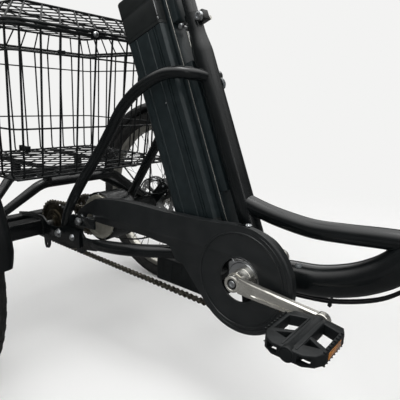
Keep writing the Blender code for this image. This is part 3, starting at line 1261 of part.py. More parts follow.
clamp_place = along_head(0.735, 0.055)
stem = turned("stem", [(0, 0.500), (0.0111, 0.500), (0.0111, 0.690), (0.0150, 0.700), (0.0150, 0.722),
                       (0, 0.722)], head_foot, head_up, steps=12)
reach_path = [along_head(0.708, 0.0), along_head(0.718, 0.020), clamp_place]
jaw = turned("jaw", [(0, -0.020), (0.0180, -0.020), (0.0180, 0.020), (0, 0.020)], clamp_place, steps=12)
stem = combine(stem, [tube("reach", reach_path, 0.0130, 2), jaw])
bore = turned("bore", [(0, -0.03), (BAR_RADIUS + 3 * FIT_GAP, -0.03), (BAR_RADIUS + 3 * FIT_GAP, 0.03), (0, 0.03)],
              clamp_place, steps=12)
hand_in(combine(stem, [bore], "DIFFERENCE"), "stem", powder_black, steering_axis)

straight_start = Vector((0.898, 0.279, 1.050))
straight_end = Vector((0.744, 0.350, 1.036))
bar_length = (straight_end - straight_start).length
grip_way = (straight_end - straight_start).normalized()
grip_out = Vector((-grip_way.y, grip_way.x, 0)).normalized() * -1
half_bar = [clamp_place, clamp_place + Vector((0, 0.030, 0)), clamp_place + Vector((-0.004, 0.062, 0.006)),
            Vector((0.983, 0.110, 1.015)), Vector((0.968, 0.165, 1.041)), Vector((0.940, 0.228, 1.051))]
left_path = smooth_path(half_bar + [straight_start], 1) + [straight_end]
bar_path = [mirrored(point) for point in reversed(left_path[1:])] + left_path
bar = tube("handlebar", bar_path, BAR_RADIUS, 3)


def on_bar(side, along, out=0.0, up=0.0):
    """A point along the straight end of the bar, out from it and above it."""
    place = straight_start + grip_way * along + grip_out * out + grip_way.cross(grip_out) * up * -1
    return place if side > 0 else mirrored(place)


pieces = []
for side in (1, -1):
    way = grip_way if side > 0 else mirrored(grip_way)
    pieces.append(turned("perch", [(0, 0.012), (0.0160, 0.012), (0.0160, 0.030), (0, 0.030)],
                         on_bar(side, 0), way, steps=12))
    pieces.append(tube("arm", [on_bar(side, 0.021, 0.006), on_bar(side, 0.021, 0.0300)], 0.0065, 1))
    pieces.append(tube("barrel", [on_bar(side, 0.020, 0.019), on_bar(side, -0.010, 0.021)], 0.0045, 1))
bar = combine(bar, pieces)
slots = []
for side in (1, -1):
    slots.append(rod("slot", on_bar(side, 0.021, 0.032, -0.0032), on_bar(side, 0.021, 0.032, 0.0032), 0.0098, 3))
hand_in(combine(bar, slots, "DIFFERENCE"), "handlebar", powder_black, steering_axis)


def sleeve(name, side, start, end, closed):
    """A rubber sleeve on the bar, closed over the bar's end where asked."""
    bore, outside = BAR_RADIUS + FIT_GAP, GRIP_RADIUS
    if closed:
        profile = [(0, end), (bore, end), (bore, start), (outside, start), (outside, end + 0.002),
                   (outside - 0.004, end + 0.005), (0, end + 0.005)]
    else:
        profile = [(bore, start), (outside + 0.002, start), (outside, start + 0.006), (outside, end), (bore, end)]
    way = grip_way if side > 0 else mirrored(grip_way)
    return turned(name, profile, on_bar(side, 0), way, steps=16, ring=not closed)


tip = bar_length + FIT_GAP
hand_in(sleeve("grip_left", 1, 0.050, tip, True), "grip_left", rubber_black, steering_axis)
hand_in(sleeve("grip_right", -1, 0.0720, tip, True), "grip_right", rubber_black, steering_axis)
throttle_axis = pivot_at("throttle_axis", on_bar(-1, 0.052))
hand_in(sleeve("throttle", -1, 0.0335, 0.0715, False), "throttle", rubber_black, throttle_axis)

for side, side_name in ((1, "left"), (-1, "right")):
    pivot = pivot_at(f"brake_lever_{side_name}_axis", on_bar(side, 0.021, 0.0335))
    blade = tube("blade", [on_bar(side, 0.0215, 0.0335), on_bar(side, 0.036, 0.0415), on_bar(side, 0.060, 0.0460),
                           on_bar(side, 0.100, 0.0475), on_bar(side, 0.140, 0.0500), on_bar(side, 0.152, 0.0530)],
                 0.0040, 1, [0.0028, 0.0029, 0.0046, 0.0046, 0.0044, 0.0056])
    eye = rod("eye", on_bar(side, 0.021, 0.0335, -0.0027), on_bar(side, 0.021, 0.0335, 0.0027), 0.0060, 2)
    hand_in(combine(blade, [eye]), f"brake_lever_{side_name}", polished, pivot)

display = box("display", (clamp_place.x - 0.026, -0.038, clamp_place.z + 0.0225),
              (clamp_place.x + 0.026, 0.038, clamp_place.z + 0.0385), 0.004)
feet = box("feet", (clamp_place.x - 0.010, -0.014, clamp_place.z + 0.0184),
           (clamp_place.x + 0.010, 0.014, clamp_place.z + 0.026))
hand_in(combine(display, [feet]), "display", plastic_black, steering_axis, smooth=False)


# Disc brakes

def caliper(name, hub_place, rotor_y, low, high, bracket_y, bracket_thickness, angle, ring_bore, pivot=None):
    """A caliper over its disc, its bracket round the axle and its cable arm."""
    turn = math.radians(angle)
    way = Vector((math.cos(turn), 0, math.sin(turn)))
    block = box(name, (-0.015, low, -0.024), (0.017, high, 0.024), 0.003)
    block.data.transform(Matrix.Translation(Vector((hub_place.x, 0, hub_place.z)) + way * 0.072)
                         @ Matrix.Rotation(-turn, 4, "Y"))
    far = Vector((hub_place.x, 0, hub_place.z)) + way * 0.070
    outline = arm_outline((hub_place.x, hub_place.z), ring_bore + 0.0065, (far.x, far.z), 0.0200, 6)
    bracket = plate("bracket", [outline, circle(hub_place.x, hub_place.z, ring_bore, 14)], bracket_thickness,
                    bracket_y)
    slot = box("slot", (-0.017, rotor_y - 0.0020, -0.030), (0.0125, rotor_y + 0.0020, 0.030))
    slot.data.transform(Matrix.Translation(Vector((hub_place.x, 0, hub_place.z)) + way * 0.072)
                        @ Matrix.Rotation(-turn, 4, "Y"))
    body = combine(combine(block, [slot], "DIFFERENCE"), [bracket])
    outward = 1 if bracket_y > rotor_y else -1
    face = outward * max(outward * low, outward * high, outward * bracket_y + bracket_thickness / 2)
    pin = Vector((far.x, face, far.z)) + way * 0.006
    arm_end = pin + Vector((-way.z, 0, way.x)) * 0.030
    arm = [rod("pin", pin - Vector((0, outward * 0.004, 0)), pin + Vector((0, outward * 0.0045, 0)), 0.0080, 1),
           tube("arm", [pin + Vector((0, outward * 0.0025, 0)), arm_end + Vector((0, outward * 0.0025, 0))],
                0.0024, 0)]
    hand_in(combine(body, arm), name, plastic_black, pivot, smooth=False)
    return arm_end + Vector((0, outward * 0.0025, 0))


rear_ends = {}
for side, side_name in ((1, "left"), (-1, "right")):
    low, high = sorted((side * 0.3205, side * 0.3492))
    rear_ends[side] = caliper(f"caliper_{side_name}", rear_hub, side * rear_rotor_y, low, high,
                              side * 0.3190, 0.0048, 47, 0.0125)
front_end = caliper("caliper_front", front_hub, front_rotor_y, 0.0295, 0.0465, 0.04165, 0.0036, 172, 0.0058,
                    steering_axis)
print("caliper arm ends", rear_ends, front_end)


# Brake cables

cable = 0.0025
main_run = smooth_path([along_head(0.5160, -0.002, 0.0270), along_head(0.470, -0.012, 0.0290),
                        along_head(0.425, -0.034, 0.0315), (1.0080, 0.0310, 0.5900), (0.9960, 0.0200, 0.5350),
                        (0.9650, 0.0120, 0.4800), (0.9080, 0.0110, 0.4040),
                        (0.8680, 0.0110, 0.3580), (0.8270, 0.0110, 0.3300), (0.7600, 0.0110, 0.3060),
                        (0.6930, 0.0120, 0.2960), (0.6350, 0.0160, 0.2910), (0.5850, 0.0260, 0.2980),
                        (0.5300, 0.0390, 0.3130), (0.4550, 0.0490, 0.3125), (0.4120, 0.0620, 0.3080),
                        (0.3750, 0.0760, 0.3040), (0.3350, 0.0880, 0.2990), (0.2900, 0.0940, 0.2930),
                        (0.2350, 0.0930, 0.2830), (0.1800, 0.0800, 0.2640), (0.1100, 0.0740, 0.2520),
                        (0.0300, 0.0760, 0.2500), (-0.0300, 0.0780, 0.2560)], 1)
pieces = [rod("splitter", (-0.0250, 0.0780, 0.2555), (-0.0560, 0.0790, 0.2590), 0.0055, 2)]
for side in (1, -1):
    end = rear_ends[side]
    if side > 0:
        start = [(-0.0540, 0.0790, 0.2588), (-0.0700, 0.0900, 0.2620), (-0.0660, 0.1250, 0.2680)]
    else:
        start = [(-0.0540, 0.0780, 0.2586), (-0.0900, 0.0600, 0.2720), (-0.1000, 0.0, 0.2900),
                 (-0.0950, -0.0700, 0.2800), (-0.0700, -0.1250, 0.2680)]
    path = start + [(-0.0330, side * 0.1900, 0.2760), (-0.0340, side * 0.2450, 0.2950),
                    (-0.0300, side * 0.2820, 0.3400), (-0.0110, side * 0.2890, 0.3730),
                    (0.0080, side * 0.3010, 0.3800), (end.x - 0.0042, end.y, end.z - 0.0044)]
    pieces.append(tube("branch", smooth_path(path, 1), cable, 0))
hand_in(combine(tube("rear_brake_cable", main_run, cable, 0), pieces), "rear_brake_cable", cable_black)

loop = smooth_path([on_bar(1, -0.0105, 0.0213), on_bar(1, -0.050, 0.026, 0.004), Vector((1.020, 0.190, 1.066)),
                    Vector((1.085, 0.110, 1.030)), Vector((1.108, 0.060, 0.940)), along_head(0.620, 0.020, 0.0400),
                    along_head(0.565, 0.002, 0.0310), along_head(0.5165, -0.002, 0.0270)], 1)
hand_in(tube("cable_loop", loop, cable, 1), "cable_loop", cable_black, steering_axis)
front_run = smooth_path([on_bar(-1, -0.0105, 0.0213), on_bar(-1, -0.050, 0.026, 0.004), Vector((1.035, -0.160, 1.075)),
                         Vector((1.110, -0.070, 1.020)), Vector((1.140, 0.010, 0.920)), Vector((1.130, 0.060, 0.800)),
                         along_head(0.440, 0.004, 0.079), along_head(0.370, -0.020, 0.0810),
                         along_head(0.300, -0.024, 0.0670), along_head(0.160, -0.022, 0.0640),
                         Vector((1.166, 0.0620, 0.3720)), Vector((1.163, 0.0600, 0.3400)),
                         Vector((1.170, 0.0530, 0.3080)), front_end + Vector((-0.0058, 0, 0.002))], 1)
hand_in(tube("front_brake_cable", front_run, cable, 1), "front_brake_cable", cable_black, steering_axis)

bpy.data.collections.remove(tools)
front_axis.parent = steering_axis
front_axis.matrix_parent_inverse = Matrix.Translation(-steering_axis.location)

# The frame's origin is on the ground, midway between the rear fenders' ends and the front tyre's edge
middle_x = (WHEELBASE + TYRE_RADIUS + FENDER_RADIUS * math.cos(math.radians(FENDER_END))) / 2
for obj in parts.objects:
    if obj.parent is None:
        obj.location.x -= middle_x
print("middle of the length, ahead of the rear axle:", round(middle_x, 6))
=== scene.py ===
import math
import random
import bmesh
import bpy
from mathutils import Matrix, Vector
from mathutils.bvhtree import BVHTree


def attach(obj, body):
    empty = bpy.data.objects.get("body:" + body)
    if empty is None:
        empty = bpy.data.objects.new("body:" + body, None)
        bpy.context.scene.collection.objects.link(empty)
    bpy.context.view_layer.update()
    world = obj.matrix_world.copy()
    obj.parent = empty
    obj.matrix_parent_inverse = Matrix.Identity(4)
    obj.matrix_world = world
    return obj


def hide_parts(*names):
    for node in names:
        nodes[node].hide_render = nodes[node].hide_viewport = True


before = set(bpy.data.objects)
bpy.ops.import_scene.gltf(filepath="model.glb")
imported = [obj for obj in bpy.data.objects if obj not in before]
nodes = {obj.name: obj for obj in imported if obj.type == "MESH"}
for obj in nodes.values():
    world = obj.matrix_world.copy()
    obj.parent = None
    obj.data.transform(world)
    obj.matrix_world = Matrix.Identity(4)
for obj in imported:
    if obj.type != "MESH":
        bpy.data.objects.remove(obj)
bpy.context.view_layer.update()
rearAxleX = -0.623932  # the loaded model's X at the rear axle; all lengths below are measured from that axle
shiftToFrame = Matrix.Translation((rearAxleX, 0, 0))
scene = bpy.context.scene
scene.view_settings.view_transform = "Standard"


# Camera and studio

view = {"lens": 37.744, "place": (0.99652, -0.68677, 0.65024), "azimuth": 38.156, "down": 13.619, "roll": 2.1437}
studio = {"paper": "f3f3f2", "floorTint": "f6f6f5", "floorMirrored": "747474", "worldFill": 0.83, "frontPower": 30.0,
    "mirrored": 0.1, "mirroredTop": 2.8, "keyPower": 19.0, "sidePower": 3.6, "backPower": 6.0, "fadeStart": 1.15,
    "fadeEnd": 2.6}


def hexColour(code):
    channels = [int(code[i:i + 2], 16) / 255 for i in (0, 2, 4)]
    return tuple(c / 12.92 if c <= 0.04045 else ((c + 0.055) / 1.055) ** 2.4 for c in channels) + (1.0,)


def addNode(tree, kind, inputs=None, **settings):
    node = tree.nodes.new(kind)
    for key, value in settings.items():
        setattr(node, key, value)
    for key, value in (inputs or {}).items():
        socket = node.inputs[key]
        if isinstance(value, bpy.types.NodeSocket):
            tree.links.new(value, socket)
        else:
            socket.default_value = value
    return node


def lookThrough(place, azimuth, down, roll):
    a, e, r = (math.radians(value) for value in (azimuth, down, roll))
    forward = Vector((-math.sin(a) * math.cos(e), math.cos(a) * math.cos(e), -math.sin(e)))
    level = Vector((math.cos(a), math.sin(a), 0))
    upright = level.cross(forward)
    across = level * math.cos(r) + upright * math.sin(r)
    upward = upright * math.cos(r) - level * math.sin(r)
    matrix = Matrix((across, upward, -forward)).transposed().to_4x4()
    matrix.translation = Vector(place) + Vector((rearAxleX, 0, 0))
    return matrix


lens = bpy.data.cameras.new("studioCamera")
lens.lens = view["lens"]
lens.sensor_width = 36
lens.sensor_fit = "HORIZONTAL"
lens.clip_start = 0.02
camera = bpy.data.objects.new("studioCamera", lens)
scene.collection.objects.link(camera)
camera.matrix_world = lookThrough(view["place"], view["azimuth"], view["down"], view["roll"])
scene.camera = camera


def softBox(name, place, aim, size, power, mirrored=True):
    lamp = bpy.data.lights.new(name, "AREA")
    lamp.shape = "RECTANGLE"
    lamp.size, lamp.size_y = size
    lamp.energy = power
    obj = bpy.data.objects.new(name, lamp)
    obj.location = place
    obj.rotation_euler = (Vector(aim) - Vector(place)).to_track_quat("-Z", "Y").to_euler()
    obj.visible_glossy = mirrored
    scene.collection.objects.link(obj)


softBox("topSoftBox", (0.1, -0.35, 2.9), (0.0, 0.0, 0.4), (1.0, 1.0), studio["keyPower"])
softBox("sideSoftBox", (2.4, -2.2, 1.5), (0.0, 0.0, 0.5), (0.26, 1.5), studio["sidePower"])
softBox("frontFill", (1.3, -3.0, 1.7), (0.0, 0.0, 0.2), (2.6, 2.2), studio["frontPower"], False)
softBox("backSoftBox", (-1.6, 2.4, 1.9), (0.0, 0.0, 0.5), (1.2, 0.8), studio["backPower"])

world = bpy.data.worlds.new("paperRoom")
scene.world = world
world.use_nodes = True
tree = world.node_tree
tree.nodes.clear()
path = addNode(tree, "ShaderNodeLightPath")
seen = addNode(tree, "ShaderNodeMath", {0: path.outputs["Is Camera Ray"], 1: path.outputs["Is Transmission Ray"]},
    operation="MAXIMUM")
fill = addNode(tree, "ShaderNodeBackground", {"Color": hexColour("ffffff"), "Strength": studio["worldFill"]})
paper = addNode(tree, "ShaderNodeBackground", {"Color": hexColour(studio["paper"]), "Strength": 1.0})
sky = addNode(tree, "ShaderNodeTexCoord")
height = addNode(tree, "ShaderNodeSeparateXYZ", {0: sky.outputs["Generated"]})
ramp = addNode(tree, "ShaderNodeMapRange", {"Value": height.outputs["Z"], "From Min": 0.3, "From Max": 1.0,
    "To Min": studio["mirrored"], "To Max": studio["mirroredTop"]}, interpolation_type="SMOOTHSTEP")
mirrored = addNode(tree, "ShaderNodeBackground", {"Color": hexColour(studio["paper"]), "Strength": ramp.outputs[0]})
mixSoft = addNode(tree, "ShaderNodeMixShader", {0: path.outputs["Is Glossy Ray"], 1: fill.outputs[0],
    2: mirrored.outputs[0]})
mix = addNode(tree, "ShaderNodeMixShader", {0: seen.outputs[0], 1: mixSoft.outputs[0], 2: paper.outputs[0]})
addNode(tree, "ShaderNodeOutputWorld", {"Surface": mix.outputs[0]})

floorPaper = bpy.data.materials.new("studioPaper")  # matte paper, fading into the same pale tone all round
floorPaper.use_nodes = True
tree = floorPaper.node_tree
tree.nodes.clear()
coords = addNode(tree, "ShaderNodeTexCoord")
flat = addNode(tree, "ShaderNodeVectorMath", {0: coords.outputs["Object"], 1: (1, 1, 0)}, operation="MULTIPLY")
away = addNode(tree, "ShaderNodeVectorMath", {0: flat.outputs[0]}, operation="LENGTH")
fade = addNode(tree, "ShaderNodeMapRange", {"Value": away.outputs["Value"], "From Min": studio["fadeStart"],
    "From Max": studio["fadeEnd"], "To Min": 0.0, "To Max": 1.0}, interpolation_type="SMOOTHSTEP")
matteFull = addNode(tree, "ShaderNodeBsdfDiffuse", {"Color": hexColour(studio["floorTint"]), "Roughness": 1.0})
matteDim = addNode(tree, "ShaderNodeBsdfDiffuse", {"Color": hexColour(studio["floorMirrored"]), "Roughness": 1.0})
glow = addNode(tree, "ShaderNodeEmission", {"Color": hexColour(studio["paper"]), "Strength": 1.0})
path = addNode(tree, "ShaderNodeLightPath")
matte = addNode(tree, "ShaderNodeMixShader", {0: path.outputs["Is Glossy Ray"], 1: matteFull.outputs[0],
    2: matteDim.outputs[0]})
glowShare = addNode(tree, "ShaderNodeMath", {0: fade.outputs[0], 1: path.outputs["Is Camera Ray"]},
    operation="MULTIPLY")
mix = addNode(tree, "ShaderNodeMixShader", {0: glowShare.outputs[0], 1: matte.outputs[0], 2: glow.outputs[0]})
addNode(tree, "ShaderNodeOutputMaterial", {"Surface": mix.outputs[0]})
floorMesh = bpy.data.meshes.new("studioFloor")
floorMesh.from_pydata([(-6, -6, -0.0005), (6, -6, -0.0005), (6, 6, -0.0005), (-6, 6, -0.0005)], [], [(0, 1, 2, 3)])
floor = bpy.data.objects.new("studioFloor", floorMesh)
floorMesh.materials.append(floorPaper)
scene.collection.objects.link(floor)
print("studio ready")


# Finishes: what each gives the eye stands beside it. Sizes are in mm, and the record slot comes first.
# tones: cell size, detail, dark, light; rough: cell size, detail, low, high; bump: cell size, detail, depth, strength

finishes = {
    "satinBlackPowderCoat": {  # orange peel of about 2 mm, broken reflections and a slight cool cast
        "slot": "powder_coated_steel", "base": ("0a0d0e", 0.32, 0), "Specular IOR Level": 0.5,
        "tones": (60, 3, "080b0c", "0d1011"), "rough": (25, 4, 0.2, 0.27), "bump": (2.2, 1, 0.18, 0.35)},
    "blackWireCoat": {  # the same coat on thin wire, which takes it thicker
        "slot": "powder_coated_steel", "base": ("0f1112", 0.38, 0), "Specular IOR Level": 0.3,
        "tones": (30, 3, "0c0e0f", "141718"), "bump": (3, 2, 0.2, 0.4)},
    "tyreRubber": {  # vulcanised and matte, faintly dusty grey where it has rolled
        "slot": "tyre_rubber", "base": ("191919", 0.8, 0), "Specular IOR Level": 0.3,
        "tones": (18, 5, "161616", "222221"), "rough": (40, 3, 0.74, 0.9), "bump": (1.2, 3, 0.2, 0.5)},
    "gripRubber": {  # soft moulding with a fine matte grain
        "slot": "moulded_black_plastic", "base": ("171819", 0.66, 0), "Specular IOR Level": 0.3,
        "tones": (12, 3, "141516", "1d1e1f"), "bump": (0.8, 2, 0.15, 0.5)},
    "anodisedRimAluminium": {  # extruded: a faint grain under an even satin oxide
        "slot": "anodised_rim_aluminium", "base": ("b3b1a8", 0.32, 1),
        "tones": (30, 3, "aaa8a0", "bcbab2"), "rough": (9, 4, 0.28, 0.4), "bump": (0.9, 2, 0.05, 0.4)},
    "polishedAluminium": {  # forged and bright, with soft cloudy polishing marks
        "slot": "polished_aluminium", "base": ("cbc9c2", 0.22, 0.85),
        "tones": (22, 2, "c3c1ba", "d3d1ca"), "rough": (14, 2, 0.18, 0.27), "bump": (6, 2, 0.03, 0.25)},
    "groundDiscSteel": {  # stainless, ground flat; the grind is shown coarser than the real 0.1 mm
        "slot": "brake_disc_steel", "base": ("b7b8b7", 0.3, 1),
        "rough": (5, 5, 0.22, 0.42), "bump": (1, 3, 0.04, 0.5)},
    "oiledChainSteel": {  # dark brown-grey film over bright plate edges
        "slot": "oiled_chain_steel", "base": ("56524a", 0.42, 1),
        "tones": (5, 4, "35322d", "8a857a"), "rough": (3, 3, 0.3, 0.55)},
    "phosphatedSprocketSteel": {  # brown, worn towards metal where the chain runs
        "slot": "bronze_sprocket_steel", "base": ("3a362d", 0.45, 1),
        "tones": (8, 5, "38342b", "5f584a"), "rough": (4, 3, 0.36, 0.58), "bump": (1.5, 3, 0.08, 0.5)},
    "brightZincPlate": {  # bolts, nuts and washers: slightly mottled blue-grey
        "slot": "zinc_plated_steel", "base": ("c3c6c8", 0.3, 1),
        "tones": (4, 4, "b2b6b9", "d3d5d6"), "rough": (2, 3, 0.24, 0.42)},
    "chromedSteel": {  # a clean mirror with a slight haze
        "slot": "brushed_steel", "base": ("c9cbcd", 0.16, 1),
        "tones": (15, 2, "bfc1c3", "d2d4d5"), "rough": (10, 4, 0.12, 0.24)},
    "mouldedBlackNylon": {  # dull, with a fine tool grain
        "slot": "moulded_black_plastic", "base": ("101314", 0.46, 0), "Specular IOR Level": 0.3,
        "tones": (25, 3, "0d1011", "141718"), "rough": (8, 3, 0.42, 0.56), "bump": (0.9, 2, 0.1, 0.5)},
    "glossBlackPolypropylene": {  # fenders: glossier, with long soft reflections
        "slot": "moulded_black_plastic", "base": ("0a0c0d", 0.26, 0), "Specular IOR Level": 0.45,
        "tones": (80, 2, "090b0c", "0d0f10"), "rough": (40, 3, 0.24, 0.34)},
    "matteCharcoalAbs": {  # the chain guard's even spark-eroded face
        "slot": "matte_guard_plastic", "base": ("161819", 0.36, 0), "Specular IOR Level": 0.45,
        "tones": (35, 3, "141718", "1b1d1e"), "rough": (12, 3, 0.32, 0.42), "bump": (0.8, 2, 0.12, 0.55)},
    "lacqueredMotorCasting": {  # cream-silver lacquer over fine casting texture
        "slot": "cast_motor_aluminium", "base": ("c4c1b4", 0.34, 0.7),
        "tones": (12, 4, "bbb8ab", "cdcbbf"), "rough": (5, 3, 0.3, 0.44), "bump": (1.4, 3, 0.08, 0.5)},
    "blackAnodisedExtrusion": {  # straight draw lines along the battery's length
        "slot": "anodised_battery_aluminium", "base": ("1a2224", 0.3, 0.2), "Specular IOR Level": 0.45,
        "tones": (20, 3, "182022", "20282a"), "rough": (6, 3, 0.32, 0.42), "bump": (1.2, 2, 0.06, 0.5),
        "drawn": (6, 6, 1)},
    "matteCapPlastic": {  # soft charcoal end caps
        "slot": "moulded_black_plastic", "base": ("191c1c", 0.46, 0), "Specular IOR Level": 0.28,
        "tones": (30, 3, "171a1a", "1e2121"), "bump": (0.9, 2, 0.1, 0.5)},
    "grainedSaddleVinyl": {  # leather grain of about 2 mm cells over foam
        "slot": "saddle_cover", "base": ("151515", 0.46, 0), "Specular IOR Level": 0.35,
        "tones": (40, 3, "121212", "1a1a1a"), "rough": (10, 3, 0.42, 0.58),
        "cells": (520, "DISTANCE_TO_EDGE", 0.2, 0.6)},
    "blackCableSheath": {  # extruded PVC
        "slot": "cable_sheath", "base": ("131415", 0.42, 0), "Specular IOR Level": 0.35,
        "tones": (20, 2, "101112", "191a1b")},
    # amber reflector: each 3 mm prism cell is painted darker at its centre and lighter at its rim, a painted glint on
    # the facets
    "amberReflector": {  # moulded prisms of 3 mm behind a clear face
        "slot": "moulded_black_plastic", "base": ("8c5420", 0.16, 0), "IOR": 1.49, "Coat Weight": 0.6,
        "cells": (330, "F1", 0.3, 0.6), "cellTones": ("6e3f14", "a56a2c", 0.1, 0.6)},
    # lamp lens: its pale colour is a painted reflection of the bright reflector behind it, and the flutes are painted
    # in lighter and darker bands as painted highlights
    "flutedLampLens": {  # vertical flutes over a bright reflector
        "slot": "moulded_black_plastic", "base": ("dfe3e4", 0.08, 0), "IOR": 1.49, "Coat Weight": 0.5,
        "flutes": (60, 0.4, 0.5), "cellTones": ("b9bfc2", "eef0f0", 0.2, 0.8)},
    "darkDisplayWindow": {  # nearly black glass with a blue cast
        "slot": "moulded_black_plastic", "base": ("0b0d10", 0.08, 0), "IOR": 1.5, "Coat Weight": 0.5,
        "tones": (25, 2, "090b0e", "10141a")},
    "smokedPlug": {  # translucent grey push-in plugs
        "slot": "moulded_black_plastic", "base": ("5c6162", 0.26, 0), "Transmission Weight": 0.3,
        "tones": (6, 2, "50555a", "6c7172")},
}


def makeFinish(name, look):
    material = bpy.data.materials.new(name)
    material.use_nodes = True
    tree = material.node_tree
    shader = tree.nodes["Principled BSDF"]
    place = addNode(tree, "ShaderNodeTexCoord").outputs["Object"]
    colour, roughness, metallic = look["base"]
    constants = {"Base Color": hexColour(colour), "Roughness": roughness, "Metallic": metallic}
    for key, value in list(constants.items()) + [item for item in look.items() if item[0] in shader.inputs]:
        shader.inputs[key].default_value = value
    material.diffuse_color = hexColour(colour)

    def noise(sizeMm, detail, where):
        return addNode(tree, "ShaderNodeTexNoise", {"Vector": where, "Scale": 1000 / sizeMm,
            "Detail": detail}).outputs[0]

    def paint(factor, dark, light, low, high):
        share = addNode(tree, "ShaderNodeMapRange", {"Value": factor, "From Min": low, "From Max": high})
        mix = addNode(tree, "ShaderNodeMix", {0: share.outputs[0], 6: hexColour(dark), 7: hexColour(light)},
            data_type="RGBA")
        tree.links.new(mix.outputs[2], shader.inputs["Base Color"])

    pattern = None
    if "cells" in look:
        scale, feature, depth, strength = look["cells"]
        pattern = addNode(tree, "ShaderNodeTexVoronoi", {"Vector": place, "Scale": scale}, feature=feature).outputs[0]
    elif "flutes" in look:
        scale, depth, strength = look["flutes"]
        pattern = addNode(tree, "ShaderNodeTexWave", {"Vector": place, "Scale": scale},
            bands_direction="Y").outputs[0]
    elif "bump" in look:
        size, detail, depth, strength = look["bump"]
        where = place
        if "drawn" in look:
            where = addNode(tree, "ShaderNodeMapping", {"Vector": place, "Scale": look["drawn"]}).outputs[0]
        pattern = noise(size, detail, where)
    if pattern:
        bump = addNode(tree, "ShaderNodeBump", {"Height": pattern, "Distance": depth / 1000, "Strength": strength})
        tree.links.new(bump.outputs[0], shader.inputs["Normal"])
    # painted glints: prism cells and lens flutes are painted lighter and darker along their own pattern, standing in
    # for light on the facets
    if "cellTones" in look:
        paint(pattern, *look["cellTones"])
    if "tones" in look:
        size, detail, dark, light = look["tones"]
        paint(noise(size, detail, place), dark, light, 0.35, 0.65)
    if "rough" in look:
        size, detail, low, high = look["rough"]
        spread = addNode(tree, "ShaderNodeMapRange", {"Value": noise(size, detail, place), "From Min": 0.3,
            "From Max": 0.7, "To Min": low, "To Max": high})
        tree.links.new(spread.outputs[0], shader.inputs["Roughness"])
    return material


(powderCoat, wireCoat, tyreRubber, gripRubber, rimAluminium, polishedAluminium, discSteel, chainSteel, sprocketSteel,
    zincPlate, chromedSteel, mouldedBlack, fenderPlastic, guardPlastic, motorCasting, batteryAluminium, capPlastic,
    saddleVinyl, cableSheath, amberReflector, lampLens, displayGlass, smokedPlug) = (makeFinish(name, look) for name,
    look in finishes.items())
print("finishes ready")


# Shapes: each function gives (points, faces), and shapeMesh joins them

def smoothPath(points, perSpan=4):
    points = [Vector(p) for p in points]
    padded = [2 * points[0] - points[1]] + points + [2 * points[-1] - points[-2]]
    path = []
    for a, b, c, d in zip(padded, padded[1:], padded[2:], padded[3:]):
        for k in range(perSpan):
            t = k / perSpan
            path.append(0.5 * (2 * b + (c - a) * t + (2 * a - 5 * b + 4 * c - d) * t ** 2
                + (3 * b - a - 3 * c + d) * t ** 3))
    path.append(points[-1])
    return path


def smoothValues(values, perSpan=4):
    return [v.x for v in smoothPath([(value, 0, 0) for value in values], perSpan)]


def bentPath(points, radius, steps=6):
    points = [Vector(p) for p in points]
    path = [points[0]]
    for before, corner, after in zip(points, points[1:], points[2:]):
        back, on = (before - corner).normalized(), (after - corner).normalized()
        half = back.angle(on) / 2
        reach = radius / math.tan(half)
        middle = corner + (back + on).normalized() * radius / math.sin(half)
        first, last = (corner + back * reach - middle).normalized(), (corner + on * reach - middle).normalized()
        path += [middle + radius * first.slerp(last, k / steps) for k in range(steps + 1)]
    path.append(points[-1])
    return path


def ringShape(rings, closed=False, caps=True):
    count = len(rings[0])
    points = [p for ring in rings for p in ring]
    faces = []
    last = len(rings) if closed else len(rings) - 1
    for i in range(last):
        low, high = i * count, ((i + 1) % len(rings)) * count
        for k in range(count):
            n = (k + 1) % count
            faces.append((low + k, low + n, high + n, high + k))
    if caps and not closed:
        faces.append(tuple(reversed(range(count))))
        faces.append(tuple(range(len(points) - count, len(points))))
    return points, faces


def sweep(path, radius, sides=16, closed=False, caps=True, section=None, upward=None):
    path = [Vector(p) for p in path]
    radii = radius if isinstance(radius, (list, tuple)) else [radius] * len(path)
    section = section or [(math.cos(2 * math.pi * k / sides), math.sin(2 * math.pi * k / sides))
        for k in range(sides)]
    count = len(path)
    ways = []
    for i in range(count):
        before = path[i - 1] if i or closed else path[0]
        after = path[(i + 1) % count] if i < count - 1 or closed else path[-1]
        ways.append((after - before).normalized())
    start = Vector(upward) if upward else ways[0].orthogonal()
    side = (start - ways[0] * start.dot(ways[0])).normalized()
    rings = []
    for i in range(count):
        if i:
            side = ways[i - 1].rotation_difference(ways[i]) @ side
            side = (side - ways[i] * side.dot(ways[i])).normalized()
        if upward and closed is False:
            straight = Vector(upward) - ways[i] * Vector(upward).dot(ways[i])
            if straight.length > 0.2:
                side = straight.normalized()
        other = ways[i].cross(side)
        wide, high = radii[i] if isinstance(radii[i], tuple) else (radii[i], radii[i])
        rings.append([path[i] + side * u * wide + other * v * high for u, v in section])
    return ringShape(rings, closed, caps)


def lathe(profile, centre, axis=(0, 1, 0), steps=48, ring=False, side=1):
    axis = Vector(axis).normalized()
    turn = Vector((0, 0, 1)).rotation_difference(axis)
    first, second = turn @ Vector((1, 0, 0)), turn @ Vector((0, 1, 0))
    centre = Vector(centre)
    points, rows = [], []
    for radius, height in [(r, side * h) for r, h in profile]:
        if radius < 1e-6:
            rows.append([len(points)] * steps)
            points.append(centre + axis * height)
        else:
            rows.append(list(range(len(points), len(points) + steps)))
            points += [centre + axis * height + radius * (first * math.cos(2 * math.pi * k / steps)
                + second * math.sin(2 * math.pi * k / steps)) for k in range(steps)]
    faces = []
    pairs = list(zip(rows, rows[1:])) + ([(rows[-1], rows[0])] if ring else [])
    for low, high in pairs:
        for k in range(steps):
            n = (k + 1) % steps
            face = [low[k], low[n], high[n], high[k]]
            face = [v for i, v in enumerate(face) if v != face[i - 1]]
            if len(face) > 2:
                faces.append(tuple(face))
    return points, faces


